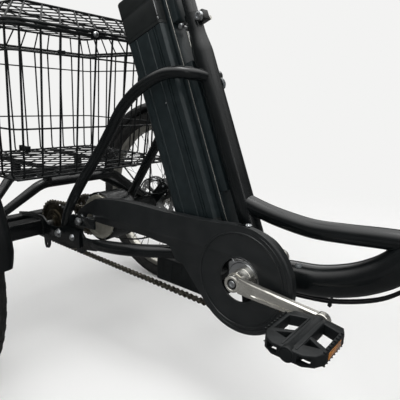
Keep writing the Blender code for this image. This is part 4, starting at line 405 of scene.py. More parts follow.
def block(first, last, bevel=0.0, segments=2, turn=None):
    low, high = (Vector(pick(pair) for pair in zip(first, last)) for pick in (min, max))
    bm = bmesh.new()
    bmesh.ops.create_cube(bm, size=1)
    for vert in bm.verts:
        vert.co = Vector(c * s for c, s in zip(vert.co, high - low)) + (high + low) / 2
    if bevel:
        bmesh.ops.bevel(bm, geom=bm.edges[:], offset=bevel, segments=segments, affect="EDGES", profile=0.5)
    if turn:
        bm.transform(turn)
    bm.verts.index_update()
    shape = [v.co.copy() for v in bm.verts], [tuple(v.index for v in f.verts) for f in bm.faces]
    bm.free()
    return shape


def slab(outlines, thickness, place, bevel=0.0, segments=2):
    curve = bpy.data.curves.new("slab", "CURVE")
    curve.dimensions = "2D"
    curve.fill_mode = "BOTH"
    curve.extrude = thickness / 2 - bevel
    curve.bevel_depth = bevel
    curve.bevel_resolution = segments - 1 if segments > 1 else 0
    curve.offset = -bevel
    for outline in outlines:
        spline = curve.splines.new("POLY")
        spline.points.add(len(outline) - 1)
        spline.use_cyclic_u = True
        for point, (u, v) in zip(spline.points, outline):
            point.co = (u, v, 0, 1)
    obj = bpy.data.objects.new("slab", curve)
    scene.collection.objects.link(obj)
    bpy.context.view_layer.update()
    mesh = bpy.data.meshes.new_from_object(obj.evaluated_get(bpy.context.evaluated_depsgraph_get()))
    bpy.data.objects.remove(obj)
    bpy.data.curves.remove(curve)
    mesh.transform(place)
    shape = [v.co.copy() for v in mesh.vertices], [tuple(p.vertices) for p in mesh.polygons]
    bpy.data.meshes.remove(mesh)
    return shape


def sideways(y=0.0):
    return Matrix.Translation((0, y, 0)) @ Matrix.Rotation(math.radians(90), 4, "X")


def circlePoints(x, z, radius, count, start=0.0):
    return [(x + radius * math.cos(start + 2 * math.pi * i / count),
        z + radius * math.sin(start + 2 * math.pi * i / count)) for i in range(count)]


def shapeMesh(name, *shapes):
    points, faces = [], []
    for shapePoints, shapeFaces in shapes:
        first = len(points)
        points += shapePoints
        faces += [tuple(v + first for v in face) for face in shapeFaces]
    mesh = bpy.data.meshes.new(name)
    mesh.from_pydata(points, [], faces)
    bm = bmesh.new()
    bm.from_mesh(mesh)
    bmesh.ops.remove_doubles(bm, verts=bm.verts, dist=0.000004)
    bmesh.ops.recalc_face_normals(bm, faces=bm.faces)
    bm.to_mesh(mesh)
    bm.free()
    return mesh


def evaluatedMesh(obj):
    bpy.context.view_layer.update()
    mesh = bpy.data.meshes.new_from_object(obj.evaluated_get(bpy.context.evaluated_depsgraph_get()))
    bpy.data.objects.remove(obj)
    return mesh


def withModifiers(mesh, *steps):
    obj = bpy.data.objects.new(mesh.name, mesh)
    scene.collection.objects.link(obj)
    for kind, settings in steps:
        step = obj.modifiers.new(kind.lower(), kind)
        for key, value in settings.items():
            setattr(step, key, value)
    return evaluatedMesh(obj)


def cutBy(mesh, cutters):
    tools = []
    obj = bpy.data.objects.new(mesh.name, mesh)
    scene.collection.objects.link(obj)
    for cutter in cutters:
        tool = bpy.data.objects.new("cutter", cutter)
        scene.collection.objects.link(tool)
        tools.append(tool)
        step = obj.modifiers.new("cut", "BOOLEAN")
        step.operation = "DIFFERENCE"
        step.object = tool
    result = evaluatedMesh(obj)
    for tool in tools:
        bpy.data.objects.remove(tool)
    return result


def finishPiece(name, shapes, body, finish, replaces=(), angle=35):
    mesh = shapes if isinstance(shapes, bpy.types.Mesh) else shapeMesh(name, *shapes)
    mesh.transform(shiftToFrame)
    mesh.name = name
    mesh.materials.clear()
    mesh.materials.append(finish)
    mesh.shade_smooth()
    mesh.set_sharp_from_angle(angle=math.radians(angle))
    obj = bpy.data.objects.new(name, mesh)
    scene.collection.objects.link(obj)
    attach(obj, body)
    if replaces:
        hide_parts(*replaces)
    return obj


# Geometry Nodes

def newTree(name, inputs):
    group = bpy.data.node_groups.new(name, "GeometryNodeTree")
    group.interface.new_socket(name="Geometry", in_out="INPUT", socket_type="NodeSocketGeometry")
    for label, kind in inputs:
        group.interface.new_socket(name=label, in_out="INPUT", socket_type=kind)
    group.interface.new_socket(name="Geometry", in_out="OUTPUT", socket_type="NodeSocketGeometry")
    return group, addNode(group, "NodeGroupInput")


def endTree(group, given, geometry):
    real = addNode(group, "GeometryNodeRealizeInstances", {0: geometry})
    painted = addNode(group, "GeometryNodeSetMaterial", {"Geometry": real.outputs[0],
        "Material": given.outputs["Material"]})
    addNode(group, "NodeGroupOutput", {0: painted.outputs[0]})


def runTree(group, mesh, material, values):
    obj = bpy.data.objects.new(mesh.name, mesh)
    scene.collection.objects.link(obj)
    step = obj.modifiers.new(group.name, "NODES")
    step.node_group = group
    sockets = {item.name: item.identifier for item in group.interface.items_tree if item.item_type == "SOCKET"
        and item.in_out == "INPUT"}
    for label, value in dict(values, Material=material).items():
        step[sockets[label]] = value
    return evaluatedMesh(obj)


wireTree, given = newTree("wiresAlongEdges", (("Wire Radius", "NodeSocketFloat"), ("Sides", "NodeSocketInt"),
    ("Material", "NodeSocketMaterial")))
lines = addNode(wireTree, "GeometryNodeMeshToCurve", {"Mesh": given.outputs["Geometry"]})
thick = addNode(wireTree, "GeometryNodeCurvePrimitiveCircle",
    {"Resolution": given.outputs["Sides"], "Radius": given.outputs["Wire Radius"]})
wires = addNode(wireTree, "GeometryNodeCurveToMesh", {"Curve": lines.outputs[0], "Profile Curve": thick.outputs[0],
    "Fill Caps": True})
endTree(wireTree, given, wires.outputs[0])

repeatTree, given = newTree("oneOnEveryPoint", (("Piece", "NodeSocketObject"), ("Material", "NodeSocketMaterial")))
info = addNode(repeatTree, "GeometryNodeObjectInfo", {"Object": given.outputs["Piece"]})
turnOf = addNode(repeatTree, "GeometryNodeInputNamedAttribute", {"Name": "turn"}, data_type="FLOAT_VECTOR")
sizeOf = addNode(repeatTree, "GeometryNodeInputNamedAttribute", {"Name": "size"}, data_type="FLOAT_VECTOR")
placed = addNode(repeatTree, "GeometryNodeInstanceOnPoints",
    {"Points": given.outputs["Geometry"], "Instance": info.outputs["Geometry"], "Rotation": turnOf.outputs[0],
    "Scale": sizeOf.outputs[0]})
endTree(repeatTree, given, placed.outputs[0])

ringTree, given = newTree("evenRing", (("Piece", "NodeSocketObject"), ("Count", "NodeSocketInt"),
    ("Centre", "NodeSocketVector"), ("Start Angle", "NodeSocketFloat"), ("Material", "NodeSocketMaterial")))
info = addNode(ringTree, "GeometryNodeObjectInfo", {"Object": given.outputs["Piece"]})
spots = addNode(ringTree, "GeometryNodeMeshLine", {"Count": given.outputs["Count"],
    "Start Location": given.outputs["Centre"], "Offset": (0, 0, 0)})
index = addNode(ringTree, "GeometryNodeInputIndex")
share = addNode(ringTree, "ShaderNodeMath", {0: index.outputs[0], 1: given.outputs["Count"]}, operation="DIVIDE")
turned = addNode(ringTree, "ShaderNodeMath", {0: share.outputs[0], 1: 2 * math.pi, 2: given.outputs["Start Angle"]},
    operation="MULTIPLY_ADD")
aboutY = addNode(ringTree, "ShaderNodeCombineXYZ", {"Y": turned.outputs[0]})
placed = addNode(ringTree, "GeometryNodeInstanceOnPoints", {"Points": spots.outputs[0],
    "Instance": info.outputs["Geometry"], "Rotation": aboutY.outputs[0]})
endTree(ringTree, given, placed.outputs[0])


def wireMesh(name, paths, radius, material, sides=8):
    points, edges = [], []
    for path in paths:
        first = len(points)
        points += [Vector(p) for p in path]
        edges += [(first + i, first + i + 1) for i in range(len(path) - 1)]
    mesh = bpy.data.meshes.new(name)
    mesh.from_pydata(points, edges, [])
    return runTree(wireTree, mesh, material, {"Wire Radius": radius, "Sides": sides})


def repeatMesh(name, shapes, places, material):
    piece = bpy.data.objects.new(name, shapeMesh(name, *shapes))
    scene.collection.objects.link(piece)
    mesh = bpy.data.meshes.new(name)
    mesh.from_pydata([Vector(place[0]) for place in places], [], [])
    turns = mesh.attributes.new("turn", "FLOAT_VECTOR", "POINT")
    sizes = mesh.attributes.new("size", "FLOAT_VECTOR", "POINT")
    for i, (_, axis, spin, size) in enumerate(places):
        turn = Vector((0, 0, 1)).rotation_difference(Vector(axis)).to_matrix() @ Matrix.Rotation(spin, 3, "Z")
        turns.data[i].vector = turn.to_euler()
        sizes.data[i].vector = (size, size, size)
    result = runTree(repeatTree, mesh, material, {"Piece": piece})
    bpy.data.objects.remove(piece)
    return result


def ringMesh(name, shapes, count, centre, material, start=0.0):
    piece = bpy.data.objects.new(name, shapeMesh(name, *shapes))
    scene.collection.objects.link(piece)
    result = runTree(ringTree, bpy.data.meshes.new(name), material,
        {"Piece": piece, "Count": count, "Centre": Vector(centre), "Start Angle": start})
    bpy.data.objects.remove(piece)
    return result


def joinMeshes(name, *meshes):
    bm = bmesh.new()
    for mesh in meshes:
        bm.from_mesh(mesh)
    mesh = bpy.data.meshes.new(name)
    bm.to_mesh(mesh)
    bm.free()
    return mesh


# Wire basket and its lid

basketSize = {"floorZ": 0.4705, "rimZ": 0.7745, "rings": (0.727, 0.576), "frontTop": 0.2045, "frontFloor": 0.171,
    "backTop": -0.2755, "backFloor": -0.265, "halfTop": 0.2655, "halfFloor": 0.2535, "cornerRadius": 0.02,
    "wireRadius": 0.0023, "rimRadius": 0.0034, "wiresAcross": 12, "wiresAlong": 11, "diamond": (0.05, 0.062),
    "strandRadius": 0.0016,}
lidSize = {"rimZ": 0.7817, "rise": 0.0425, "inset": 0.042, "stiffeners": (-0.12, 0.045), "clips": (-0.165, 0.165)}


def basketSpan(z):
    share = (z - basketSize["floorZ"]) / (basketSize["rimZ"] - basketSize["floorZ"])
    back = basketSize["backFloor"] + (basketSize["backTop"] - basketSize["backFloor"]) * share
    front = basketSize["frontFloor"] + (basketSize["frontTop"] - basketSize["frontFloor"]) * share
    half = basketSize["halfFloor"] + (basketSize["halfTop"] - basketSize["halfFloor"]) * share
    return back, front, half


def roundLoop(back, front, half, z, radius, steps=5):
    loop = []
    for x, y, start in ((front, half, 0), (back, half, 90), (back, -half, 180), (front, -half, 270)):
        middleX, middleY = x - math.copysign(radius, x - (back + front) / 2), y - math.copysign(radius, y)
        for k in range(steps + 1):
            angle = math.radians(start + 90 * k / steps)
            loop.append(Vector((middleX + radius * math.cos(angle), middleY + radius * math.sin(angle), z)))
    return loop


def wireShare(k, count):
    return (k + 0.42) / (count - 0.16) * 2 - 1  # from -1 to 1, with a slight lead at one end


def wallWires(count, floorZ, alongY):
    wires = []
    low, high = basketSpan(floorZ), basketSpan(basketSize["rimZ"])
    for k in range(count):
        share = wireShare(k, count)
        for end in (0, 1):
            if alongY:
                top = Vector((high[end], high[2] * share, basketSize["rimZ"]))
                foot = Vector((low[end], low[2] * share, floorZ))
                inner = foot + Vector(((1 if end == 0 else -1) * 0.026, 0, 0))
            else:
                side = 1 if end else -1
                middles = [(row[0] + row[1]) / 2 + (row[1] - row[0]) / 2 * share for row in (low, high)]
                top = Vector((middles[1], side * high[2], basketSize["rimZ"]))
                foot = Vector((middles[0], side * low[2], floorZ))
                inner = foot + Vector((0, -side * 0.026, 0))
            wires.append(bentPath([top, foot, inner], 0.012, 4))
    return wires


def diamondSheet(back, front, half, z, cell):
    stepX, stepY = cell
    columns, rows = round((front - back) / stepX), round(2 * half / stepY)
    stepX, stepY = (front - back) / columns, 2 * half / rows
    strands = []
    for i in range(columns + 1):
        x = back + stepX * i
        for lead in (-1, 1):
            path = []
            for k in range(2 * rows + 1):
                reach = lead * stepX / 2 if k % 2 else 0
                path.append(Vector((min(max(x + reach, back), front), -half + stepY * k / 2, z)))
            strands.append(path)
    return strands


floorZ = basketSize["floorZ"]
wires = wallWires(basketSize["wiresAcross"], floorZ, True) + wallWires(basketSize["wiresAlong"], floorZ, False)
basketWires = wireMesh("basketWires", wires, basketSize["wireRadius"], wireCoat, 7)
floorNet = wireMesh("basketFloorNet", diamondSheet(*basketSpan(floorZ)[:2], basketSpan(floorZ)[2] - 0.002,
    floorZ - 0.001, basketSize["diamond"]), basketSize["strandRadius"], wireCoat, 5)
hoops = [sweep(roundLoop(*basketSpan(z), z, basketSize["cornerRadius"]), radius, 8, closed=True) for z,
    radius in ((basketSize["rings"][0], 0.0019), (basketSize["rings"][1], 0.0019),
    (basketSize["rimZ"], basketSize["rimRadius"]), (floorZ, 0.0024))]
cross = [sweep([(x, -basketSpan(floorZ)[2] + 0.004, floorZ - 0.0003),
    (x, basketSpan(floorZ)[2] - 0.004, floorZ - 0.0003)], 0.0022, 8) for x in (-0.215, -0.16, 0.07, 0.125)]
basketMesh = joinMeshes("basket", basketWires, floorNet, shapeMesh("basketHoops", *hoops, *cross))
finishPiece("wireBasket", basketMesh, "frame", wireCoat, ("basket_floor", "basket_front", "basket_back",
    "basket_left", "basket_right"), 60)

# The lid is a shallow tray, upside down, with a skirt of straight wires
lidZ, lidTop, inset = lidSize["rimZ"], lidSize["rimZ"] + lidSize["rise"], lidSize["inset"]
back, front, half = basketSpan(basketSize["rimZ"])
back, front, half = back - 0.001, front + 0.001, half + 0.001
skirt = []
for k in range(basketSize["wiresAcross"]):
    share = wireShare(k, basketSize["wiresAcross"])
    for x, inner in ((back, back + inset), (front, front - inset)):
        skirt.append([(x, half * share, lidZ), (inner, (half - inset) * share, lidTop)])
for k in range(basketSize["wiresAlong"]):
    share = wireShare(k, basketSize["wiresAlong"])
    middle, reach = (back + front) / 2, (front - back) / 2
    for side in (-1, 1):
        skirt.append([(middle + reach * share, side * half, lidZ),
            (middle + (reach - inset) * share, side * (half - inset), lidTop)])
lidWires = wireMesh("lidWires", skirt, basketSize["wireRadius"] * 0.9, wireCoat, 7)
lidNet = wireMesh("lidNet", diamondSheet(back + inset, front - inset, half - inset, lidTop - 0.0005,
    basketSize["diamond"]), basketSize["strandRadius"], wireCoat, 5)
hoops = [sweep(roundLoop(back, front, half, lidZ, 0.02), basketSize["rimRadius"], 8, closed=True),
    sweep(roundLoop(back + inset, front - inset, half - inset, lidTop, 0.014), 0.0028, 8, closed=True)]
for x in lidSize["stiffeners"]:
    hoops.append(block((x - 0.006, -half + inset, lidTop - 0.005), (x + 0.006, half - inset, lidTop - 0.0015),
        0.0012))
lidMesh = joinMeshes("lid", lidWires, lidNet, shapeMesh("lidHoops", *hoops))
finishPiece("wireLid", lidMesh, "lid", wireCoat, ("lid",), 60)

# Moulded hinge clips snap round both back rods
clips = []
for y in lidSize["clips"]:
    clips.append(block((back - 0.0055, y - 0.013, lidZ - 0.005), (back + 0.005, y + 0.013, lidZ + 0.0052), 0.002))
    for end in (-0.009, 0.009):
        clips.append(block((back - 0.0062, y + end - 0.0035, lidZ - 0.0056),
            (back + 0.0056, y + end + 0.0035, lidZ + 0.006), 0.0022))
finishPiece("lidHingeClips", clips, "lid", mouldedBlack)

# Bent strip latch on the lid, with a zinc thumb bolt
latchSize = {"y": 0.128, "width": 0.022, "bolt": (0.2145, 0.758)}
strip = [(0.2035, 0.7884), (0.211, 0.7888), (0.213, 0.7868), (0.2132, 0.779), (0.2132, 0.744), (0.2152, 0.7395)]
edge = [Vector((x, 0, z)) for x, z in strip]
latch = sweep([p + Vector((0, latchSize["y"], 0)) for p in bentPath(edge, 0.0012, 3)], 1,
    section=[(0.0009, -latchSize["width"] / 2), (0.0009, latchSize["width"] / 2), (-0.0009, latchSize["width"] / 2),
    (-0.0009, -latchSize["width"] / 2)], upward=(0.3, 0, 1))
finishPiece("latchStrip", [latch], "lid_latch", mouldedBlack, ("lid_latch",), 30)
boltX, boltZ = latchSize["bolt"]
dome = lathe([(0, 0.0078), (0.0035, 0.0073), (0.0062, 0.0055), (0.0072, 0.003), (0.0074, 0), (0, 0)],
    (boltX - 0.0005, latchSize["y"], boltZ), (1, 0, 0), 24)
finishPiece("latchBolt", [dome], "lid_latch", zincPlate)
print("basket and lid finished")


# Frame tubes with their welds

seatUp, seatBack = Vector((-0.384295, 0, 0.92321)), Vector((-0.92321, 0, -0.384295))
seatFoot = Vector((0.622, 0, 0.326))
headUp, headFront = Vector((-0.374607, 0, 0.927184)), Vector((0.927184, 0, 0.374607))
headFoot = Vector((1.223277, 0, 0.288143))
crankCentre, motorCentre = Vector((0.613, 0, 0.326)), Vector((0.172, 0, 0.352))
rearHub, frontHub = Vector((0, 0, 0.305)), Vector((1.265, 0, 0.305))
tubeSize = {"down": 0.029, "upper": 0.0175, "seat": 0.021, "stay": 0.012, "chainStay": 0.0145, "bead": 0.0021,
    "sides": 28}


def alongSeat(up, back=0.0, side=0.0):
    return seatFoot + seatUp * up + seatBack * back + Vector((0, side, 0))


def alongHead(up, front=0.0, side=0.0):
    return headFoot + headUp * up + headFront * front + Vector((0, side, 0))


def ripple(count, radius, seed):
    chance = random.Random(seed)
    return [radius * (1 + 0.14 * math.sin(k * 2.1) + 0.1 * chance.uniform(-1, 1)) for k in range(count)]


def saddleBead(bigPoint, bigAxis, bigRadius, meet, way, smallRadius, seed):
    # the line where a small tube, running along way through meet, enters a big one
    bigAxis, way = Vector(bigAxis).normalized(), Vector(way).normalized()
    first = way.cross(bigAxis).normalized()
    second = way.cross(first)
    points = []
    count = 44
    for k in range(count):
        angle = 2 * math.pi * k / count
        start = Vector(meet) + (first * math.cos(angle) + second * math.sin(angle)) * smallRadius
        offset = start - Vector(bigPoint)
        flatOffset = offset - bigAxis * offset.dot(bigAxis)
        flatWay = way - bigAxis * way.dot(bigAxis)
        a, b, c = flatWay.dot(flatWay), 2 * flatOffset.dot(flatWay), flatOffset.dot(flatOffset) - bigRadius ** 2
        root = b * b - 4 * a * c
        points.append(start + way * ((-b - math.sqrt(max(root, 0))) / (2 * a)))
    return sweep(points, ripple(count, tubeSize["bead"], seed), 8, closed=True)


def ringBead(centre, axis, radius, seed, count=48):
    axis = Vector(axis).normalized()
    first = axis.orthogonal().normalized()
    second = axis.cross(first)
    points = [Vector(centre) + (first * math.cos(2 * math.pi * k / count)
        + second * math.sin(2 * math.pi * k / count)) * radius for k in range(count)]
    return sweep(points, ripple(count, tubeSize["bead"], seed), 8, closed=True)


sides = tubeSize["sides"]
downRoute = [(0.613, 0, 0.3255), (0.682, 0, 0.333), (0.738, 0, 0.34), (0.79, 0, 0.357), (0.829, 0, 0.378),
    (0.86, 0, 0.403), (0.905, 0, 0.455), (0.955, 0, 0.525), (1.005, 0, 0.606), (1.0566, 0, 0.7006)]
downTube = sweep(smoothPath(downRoute, 6), smoothValues([tubeSize["down"]] * 8 + [0.0265, 0.019], 6), 36)
upperRoute = [(0.568, 0, 0.457), (0.61, 0, 0.446), (0.654, 0, 0.438), (0.7135, 0, 0.4325), (0.772, 0, 0.4365),
    (0.8335, 0, 0.443), (0.895, 0, 0.448)]
upperTube = sweep(smoothPath(upperRoute, 6), tubeSize["upper"], sides)
seatTube = lathe([(0, 0), (0.021, 0), (0.021, 0.444), (0.0206, 0.452), (0.0194, 0.462), (0.0178, 0.474),
    (0.0168, 0.484), (0.0165, 0.492), (0.0165, 0.5245), (0.016, 0.525), (0.0139, 0.525), (0.0139, 0.512), (0, 0.512)],
    seatFoot, seatUp, 40)
headTube = lathe([(0, 0.392), (0.0232, 0.392), (0.024, 0.393), (0.024, 0.404), (0.0232, 0.4055), (0.0215, 0.4075),
    (0.0215, 0.534), (0.0232, 0.5365), (0.024, 0.5375), (0.024, 0.547), (0.0232, 0.548), (0, 0.548)], headFoot,
    headUp, 40)
crankShell = lathe([(0, -0.034), (0.0215, -0.034), (0.0225, -0.033), (0.0225, 0.033), (0.0215, 0.034), (0, 0.034)],
    crankCentre, steps=40)
shapes = [downTube, upperTube, seatTube, headTube, crankShell]
staySide = [(0.472, 0.007, 0.6905), (0.459, 0.039, 0.6955), (0.434, 0.0615, 0.6975), (0.398, 0.07, 0.69),
    (0.345, 0.077, 0.662), (0.3, 0.081, 0.622), (0.265, 0.085, 0.57), (0.23, 0.09, 0.519), (0.185, 0.096, 0.46),
    (0.14, 0.1005, 0.396), (0.113, 0.1005, 0.352), (0.098, 0.1005, 0.312)]
chainSide = [(0.212, 0.0995, 0.302), (0.24, 0.0985, 0.306), (0.29, 0.0965, 0.3125), (0.335, 0.09, 0.318),
    (0.375, 0.078, 0.3225), (0.412, 0.063, 0.327), (0.455, 0.049, 0.332), (0.52, 0.04, 0.334), (0.588, 0.023, 0.33)]
endPlate = [(0.078, 0.292), (0.078, 0.318), (0.112, 0.33), (0.126, 0.342), (0.127, 0.357), (0.14, 0.363),
    (0.226, 0.364), (0.226, 0.342), (0.186, 0.339), (0.179, 0.332), (0.179, 0.321), (0.188, 0.313), (0.232, 0.315),
    (0.232, 0.29), (0.192, 0.283), (0.178, 0.27), (0.158, 0.27), (0.15, 0.288)]
for side in (1, -1):
    route = smoothPath([(x, side * y, z) for x, y, z in staySide], 5)
    wide = smoothValues([tubeSize["stay"]] * 9 + [0.0125, 0.0135, 0.012], 5)
    thin = smoothValues([tubeSize["stay"]] * 9 + [0.011, 0.0065, 0.0032], 5)
    shapes.append(sweep(route, list(zip(thin, wide)), 24, upward=(0, 1, 0)))
    route = smoothPath([(x, side * y, z) for x, y, z in chainSide], 5)
    wide = smoothValues([0.0125, 0.014] + [tubeSize["chainStay"]] * 7, 5)
    thin = smoothValues([0.0042, 0.0105] + [tubeSize["chainStay"]] * 7, 5)
    shapes.append(sweep(route, list(zip(thin, wide)), 24, upward=(0, 1, 0)))
    shapes.append(slab([endPlate, circlePoints(motorCentre.x, motorCentre.z, 0.0066, 28)], 0.006,
        sideways(side * 0.1005), 0.0008))
    shapes.append(saddleBead(seatFoot, seatUp, tubeSize["seat"] - 0.001, (0.446, side * 0.053, 0.6965),
        (0.22, -side * 0.5, -0.035), 0.0115, 5 + side))
shapes.append(sweep([(0.138, -0.1005, 0.35), (0.138, -0.0733, 0.35)], 0.0045, 16))
shapes.append(sweep([(0.585, -0.01, 0.416), (0.585, -0.0697, 0.416)], 0.0028, 12))
# Beads round the joints of the two main tubes, the crank shell and the head tube
shapes.append(saddleBead(seatFoot, seatUp, 0.0208, (0.65, 0, 0.4385), (-0.045, 0, 0.007), 0.017, 11))
shapes.append(saddleBead((0.86, 0, 0.403), (0.045, 0, 0.052), 0.0288, (0.8, 0, 0.4395), (0.062, 0, 0.006), 0.017, 12))
shapes.append(saddleBead(headFoot, headUp, 0.0213, (1.025, 0, 0.645), (0.0516, 0, 0.0946), 0.0195, 13))
shapes.append(ringBead(alongSeat(0.0335), seatUp, 0.0205, 14))
for side in (-1, 1):
    shapes.append(ringBead(crankCentre + Vector((0, side * 0.0275, 0)), (0, 1, 0), 0.0222, 15 + side))
finishPiece("frameTubes", shapes, "frame", powderCoat, ("main_frame",), 40)

# Rear axle housing: square tubes between laser-cut cheek plates
housingSize = {"tube": 0.04, "end": 0.316, "cheekY": 0.1078, "cheekThick": 0.005, "rodRadius": 0.0125}
cheek = [(-0.1, 0.296), (-0.1, 0.324), (-0.034, 0.336), (0.018, 0.336), (0.045, 0.318), (0.085, 0.32), (0.133, 0.331),
    (0.1765, 0.33), (0.1765, 0.286), (0.138, 0.2755), (0.049, 0.276), (-0.034, 0.2775)]
hanger = cheek[:-1] + [(0.047, 0.262), (0.041, 0.252), (0.029, 0.25), (0.024, 0.258), (0.022, 0.2768)] + cheek[-1:]
shapes = [sweep([(-0.085, -0.2995, 0.31), (-0.085, -0.2985, 0.31), (-0.085, 0.2985, 0.31), (-0.085, 0.2995, 0.31)],
    [0.0115] + [housingSize["rodRadius"]] * 2 + [0.0115], 24)]
for side in (-1, 1):
    shapes.append(block((-0.09, side * 0.288 - 0.002, 0.296), (-0.0185, side * 0.288 + 0.002, 0.324), 0.0008, 1))
half = housingSize["tube"] / 2
for side in (-1, 1):
    y = housingSize["cheekY"]
    holes = [circlePoints(0.034, 0.261, 0.0045, 16)] if side < 0 else []
    holes.append(circlePoints(0, 0.305, 0.0115, 24))
    shapes.append(slab([hanger if side < 0 else cheek] + holes, housingSize["cheekThick"], sideways(side * y),
        0.0007))
    low, high = sorted((side * (y + 0.0024), side * housingSize["end"]))
    section = [(u * half, v * half) for u, v in ((1, 0.84), (0.96, 0.96), (0.84, 1), (-0.84, 1), (-0.96, 0.96),
        (-1, 0.84), (-1, -0.84), (-0.96, -0.96), (-0.84, -1), (0.84, -1), (0.96, -0.96), (1, -0.84))]
    shapes.append(sweep([(0, low, 0.305), (0, high, 0.305)], 1, section=section, upward=(0, 0, 1)))
    square = [Vector((u * (half + 0.0006), side * (y + 0.003), 0.305 + v * (half + 0.0006))) for u,
        v in [(math.copysign(min(1, abs(1.42 * math.cos(a))), math.cos(a)),
        math.copysign(min(1, abs(1.42 * math.sin(a))), math.sin(a)))
        for a in [2 * math.pi * k / 56 for k in range(56)]]]
    shapes.append(sweep(square, ripple(56, 0.002, 30 + side), 8, closed=True))
    shapes.append(lathe([(0.0092, housingSize["end"] - 0.01), (0.017, housingSize["end"] - 0.01),
        (0.017, housingSize["end"] - 0.0002), (0.0092, housingSize["end"] - 0.0002)], rearHub, steps=28, ring=True,
        side=side))
finishPiece("axleHousing", shapes, "frame", powderCoat, ("axle_housing",), 32)

# Carrier: two bent arches, two rails, flat feet
carrierSize = {"radius": 0.0125, "topZ": 0.4255, "kneeY": 0.116, "footY": 0.262, "bend": 0.066, "railY": 0.1,
    "railWidth": 0.018}
shapes = []
for topX, footX, seed in ((0.035, 0.01, 40), (-0.115, -0.012, 44)):
    corners = [(footX, -carrierSize["footY"], 0.33), (topX, -carrierSize["kneeY"], carrierSize["topZ"]),
        (topX, carrierSize["kneeY"], carrierSize["topZ"]), (footX, carrierSize["footY"], 0.33)]
    route = bentPath(corners, carrierSize["bend"], 8)
    ends, plain = [(carrierSize["radius"], 0.0085)], [carrierSize["radius"]] * (len(route) - 2)
    shapes.append(sweep(route, ends + plain + ends, 24))
    for side in (-1, 1):
        shapes.append(ringBead((footX, side * (carrierSize["footY"] + 0.002), 0.331), (0, 0, 1), 0.0135, seed + side))
for side in (-1, 1):
    middle, reach = side * carrierSize["railY"], carrierSize["railWidth"] / 2
    low, high = middle - reach, middle + reach
    shapes.append(block((-0.235, low, 0.46), (0.145, high, 0.4677), 0.002, 3))
    for x in (0.035, -0.115):
        shapes.append(block((x - 0.011, low + 0.002, 0.43), (x + 0.011, high - 0.002, 0.4612), 0.0015, 2))
    shapes.append(block((-0.0195, side * 0.205, 0.3254), (0.0195, side * 0.29, 0.3295), 0.0012, 2))
finishPiece("basketCarrier", shapes, "frame", powderCoat, ("basket_carrier",), 40)
print("frame finished")


# Chain drive

driveSize = {"pitch": 0.0127, "ringTeeth": 40, "freewheelTeeth": 28, "motorTeeth": 16, "axleTeeth": 28,
    "sprocketThick": 0.0024, "pin": 0.00635, "chainLine": -0.06, "motorLine": 0.048, "plateHalf": 0.0042,
    "crankDrop": 3.0, "crankLength": 0.17}


def pitchRadius(teeth):
    return driveSize["pitch"] / (2 * math.sin(math.pi / teeth))


def toothEdge(centre, teeth, phase):
    radius, step = pitchRadius(teeth), 2 * math.pi / teeth
    edge = []
    for i in range(teeth):
        for share, reach in ((-0.17, -0.003), (0, -0.0043), (0.17, -0.003), (0.34, 0.0006), (0.44, 0.0029),
                (0.56, 0.0029), (0.66, 0.0006)):
            turn = phase + (i + share) * step
            edge.append((centre.x + (radius + reach) * math.cos(turn), centre.z + (radius + reach) * math.sin(turn)))
    return edge


def chainPlaces(small, smallTeeth, large, largeTeeth):
    # roller centres in order: round the large sprocket, back along the bottom, round the small one, along the top
    span = large - small
    distance, base = math.hypot(span.x, span.z), math.atan2(span.z, span.x)
    bigRadius, smallRadius = pitchRadius(largeTeeth), pitchRadius(smallTeeth)
    lean = math.asin((bigRadius - smallRadius) / distance)
    places, arcs = [], []
    for centre, radius, teeth, middle, wrap in ((large, bigRadius, largeTeeth, base, math.pi + 2 * lean),
            (small, smallRadius, smallTeeth, base + math.pi, math.pi - 2 * lean)):
        step = 2 * math.pi / teeth
        reach = int(wrap / 2 / step)
        arcs.append([centre + radius * Vector((math.cos(middle - k * step), 0, math.sin(middle - k * step)))
            for k in range(-reach, reach + 1)])
    for arc, following in ((arcs[0], arcs[1]), (arcs[1], arcs[0])):
        places += arc
        run = following[0] - arc[-1]
        count = round(run.length / driveSize["pitch"])
        places += [arc[-1] + run * k / count for k in range(1, count)]
    return places


def chainMesh(name, places, lineY):
    outline = []
    for end, start in ((1, -90), (-1, 90)):
        outline += [(end * driveSize["pin"] + 0.0054 * math.cos(math.radians(start + 36 * k)),
            0.0054 * math.sin(math.radians(start + 36 * k))) for k in range(6)]
        outline.append((0, 0.0024 if end == 1 else -0.0024))
    outer = [slab([outline], 0.0011, Matrix.Translation((0, 0, side * driveSize["plateHalf"])), 0.0002, 1)
        for side in (-1, 1)]
    inner = [slab([outline], 0.0011, Matrix.Translation((0, 0, side * 0.0027)), 0.0002, 1) for side in (-1, 1)]
    pins = [lathe([(0, -0.0056), (0.002, -0.0056), (0.0023, -0.0052), (0.0023, 0.0052), (0.002, 0.0056), (0, 0.0056)],
        (end * driveSize["pin"], 0, 0), (0, 0, 1), 8) for end in (-1, 1)]
    roller = [lathe([(0, -0.0016), (0.0038, -0.0016), (0.0038, 0.0016), (0, 0.0016)], (end * driveSize["pin"], 0, 0),
        (0, 0, 1), 10) for end in (-1, 1)]
    outerSpots, innerSpots = [], []
    for i, place in enumerate(places):
        following = places[(i + 1) % len(places)]
        middle, way = (place + following) / 2, following - place
        spot = (middle + Vector((0, lineY, 0)), (0, 1, 0), -math.atan2(way.z, way.x), 1.0)
        (outerSpots if i % 2 else innerSpots).append(spot)
    return joinMeshes(name, repeatMesh(name + "Outer", outer + pins, outerSpots, chainSteel),
        repeatMesh(name + "Inner", inner + roller, innerSpots, chainSteel))


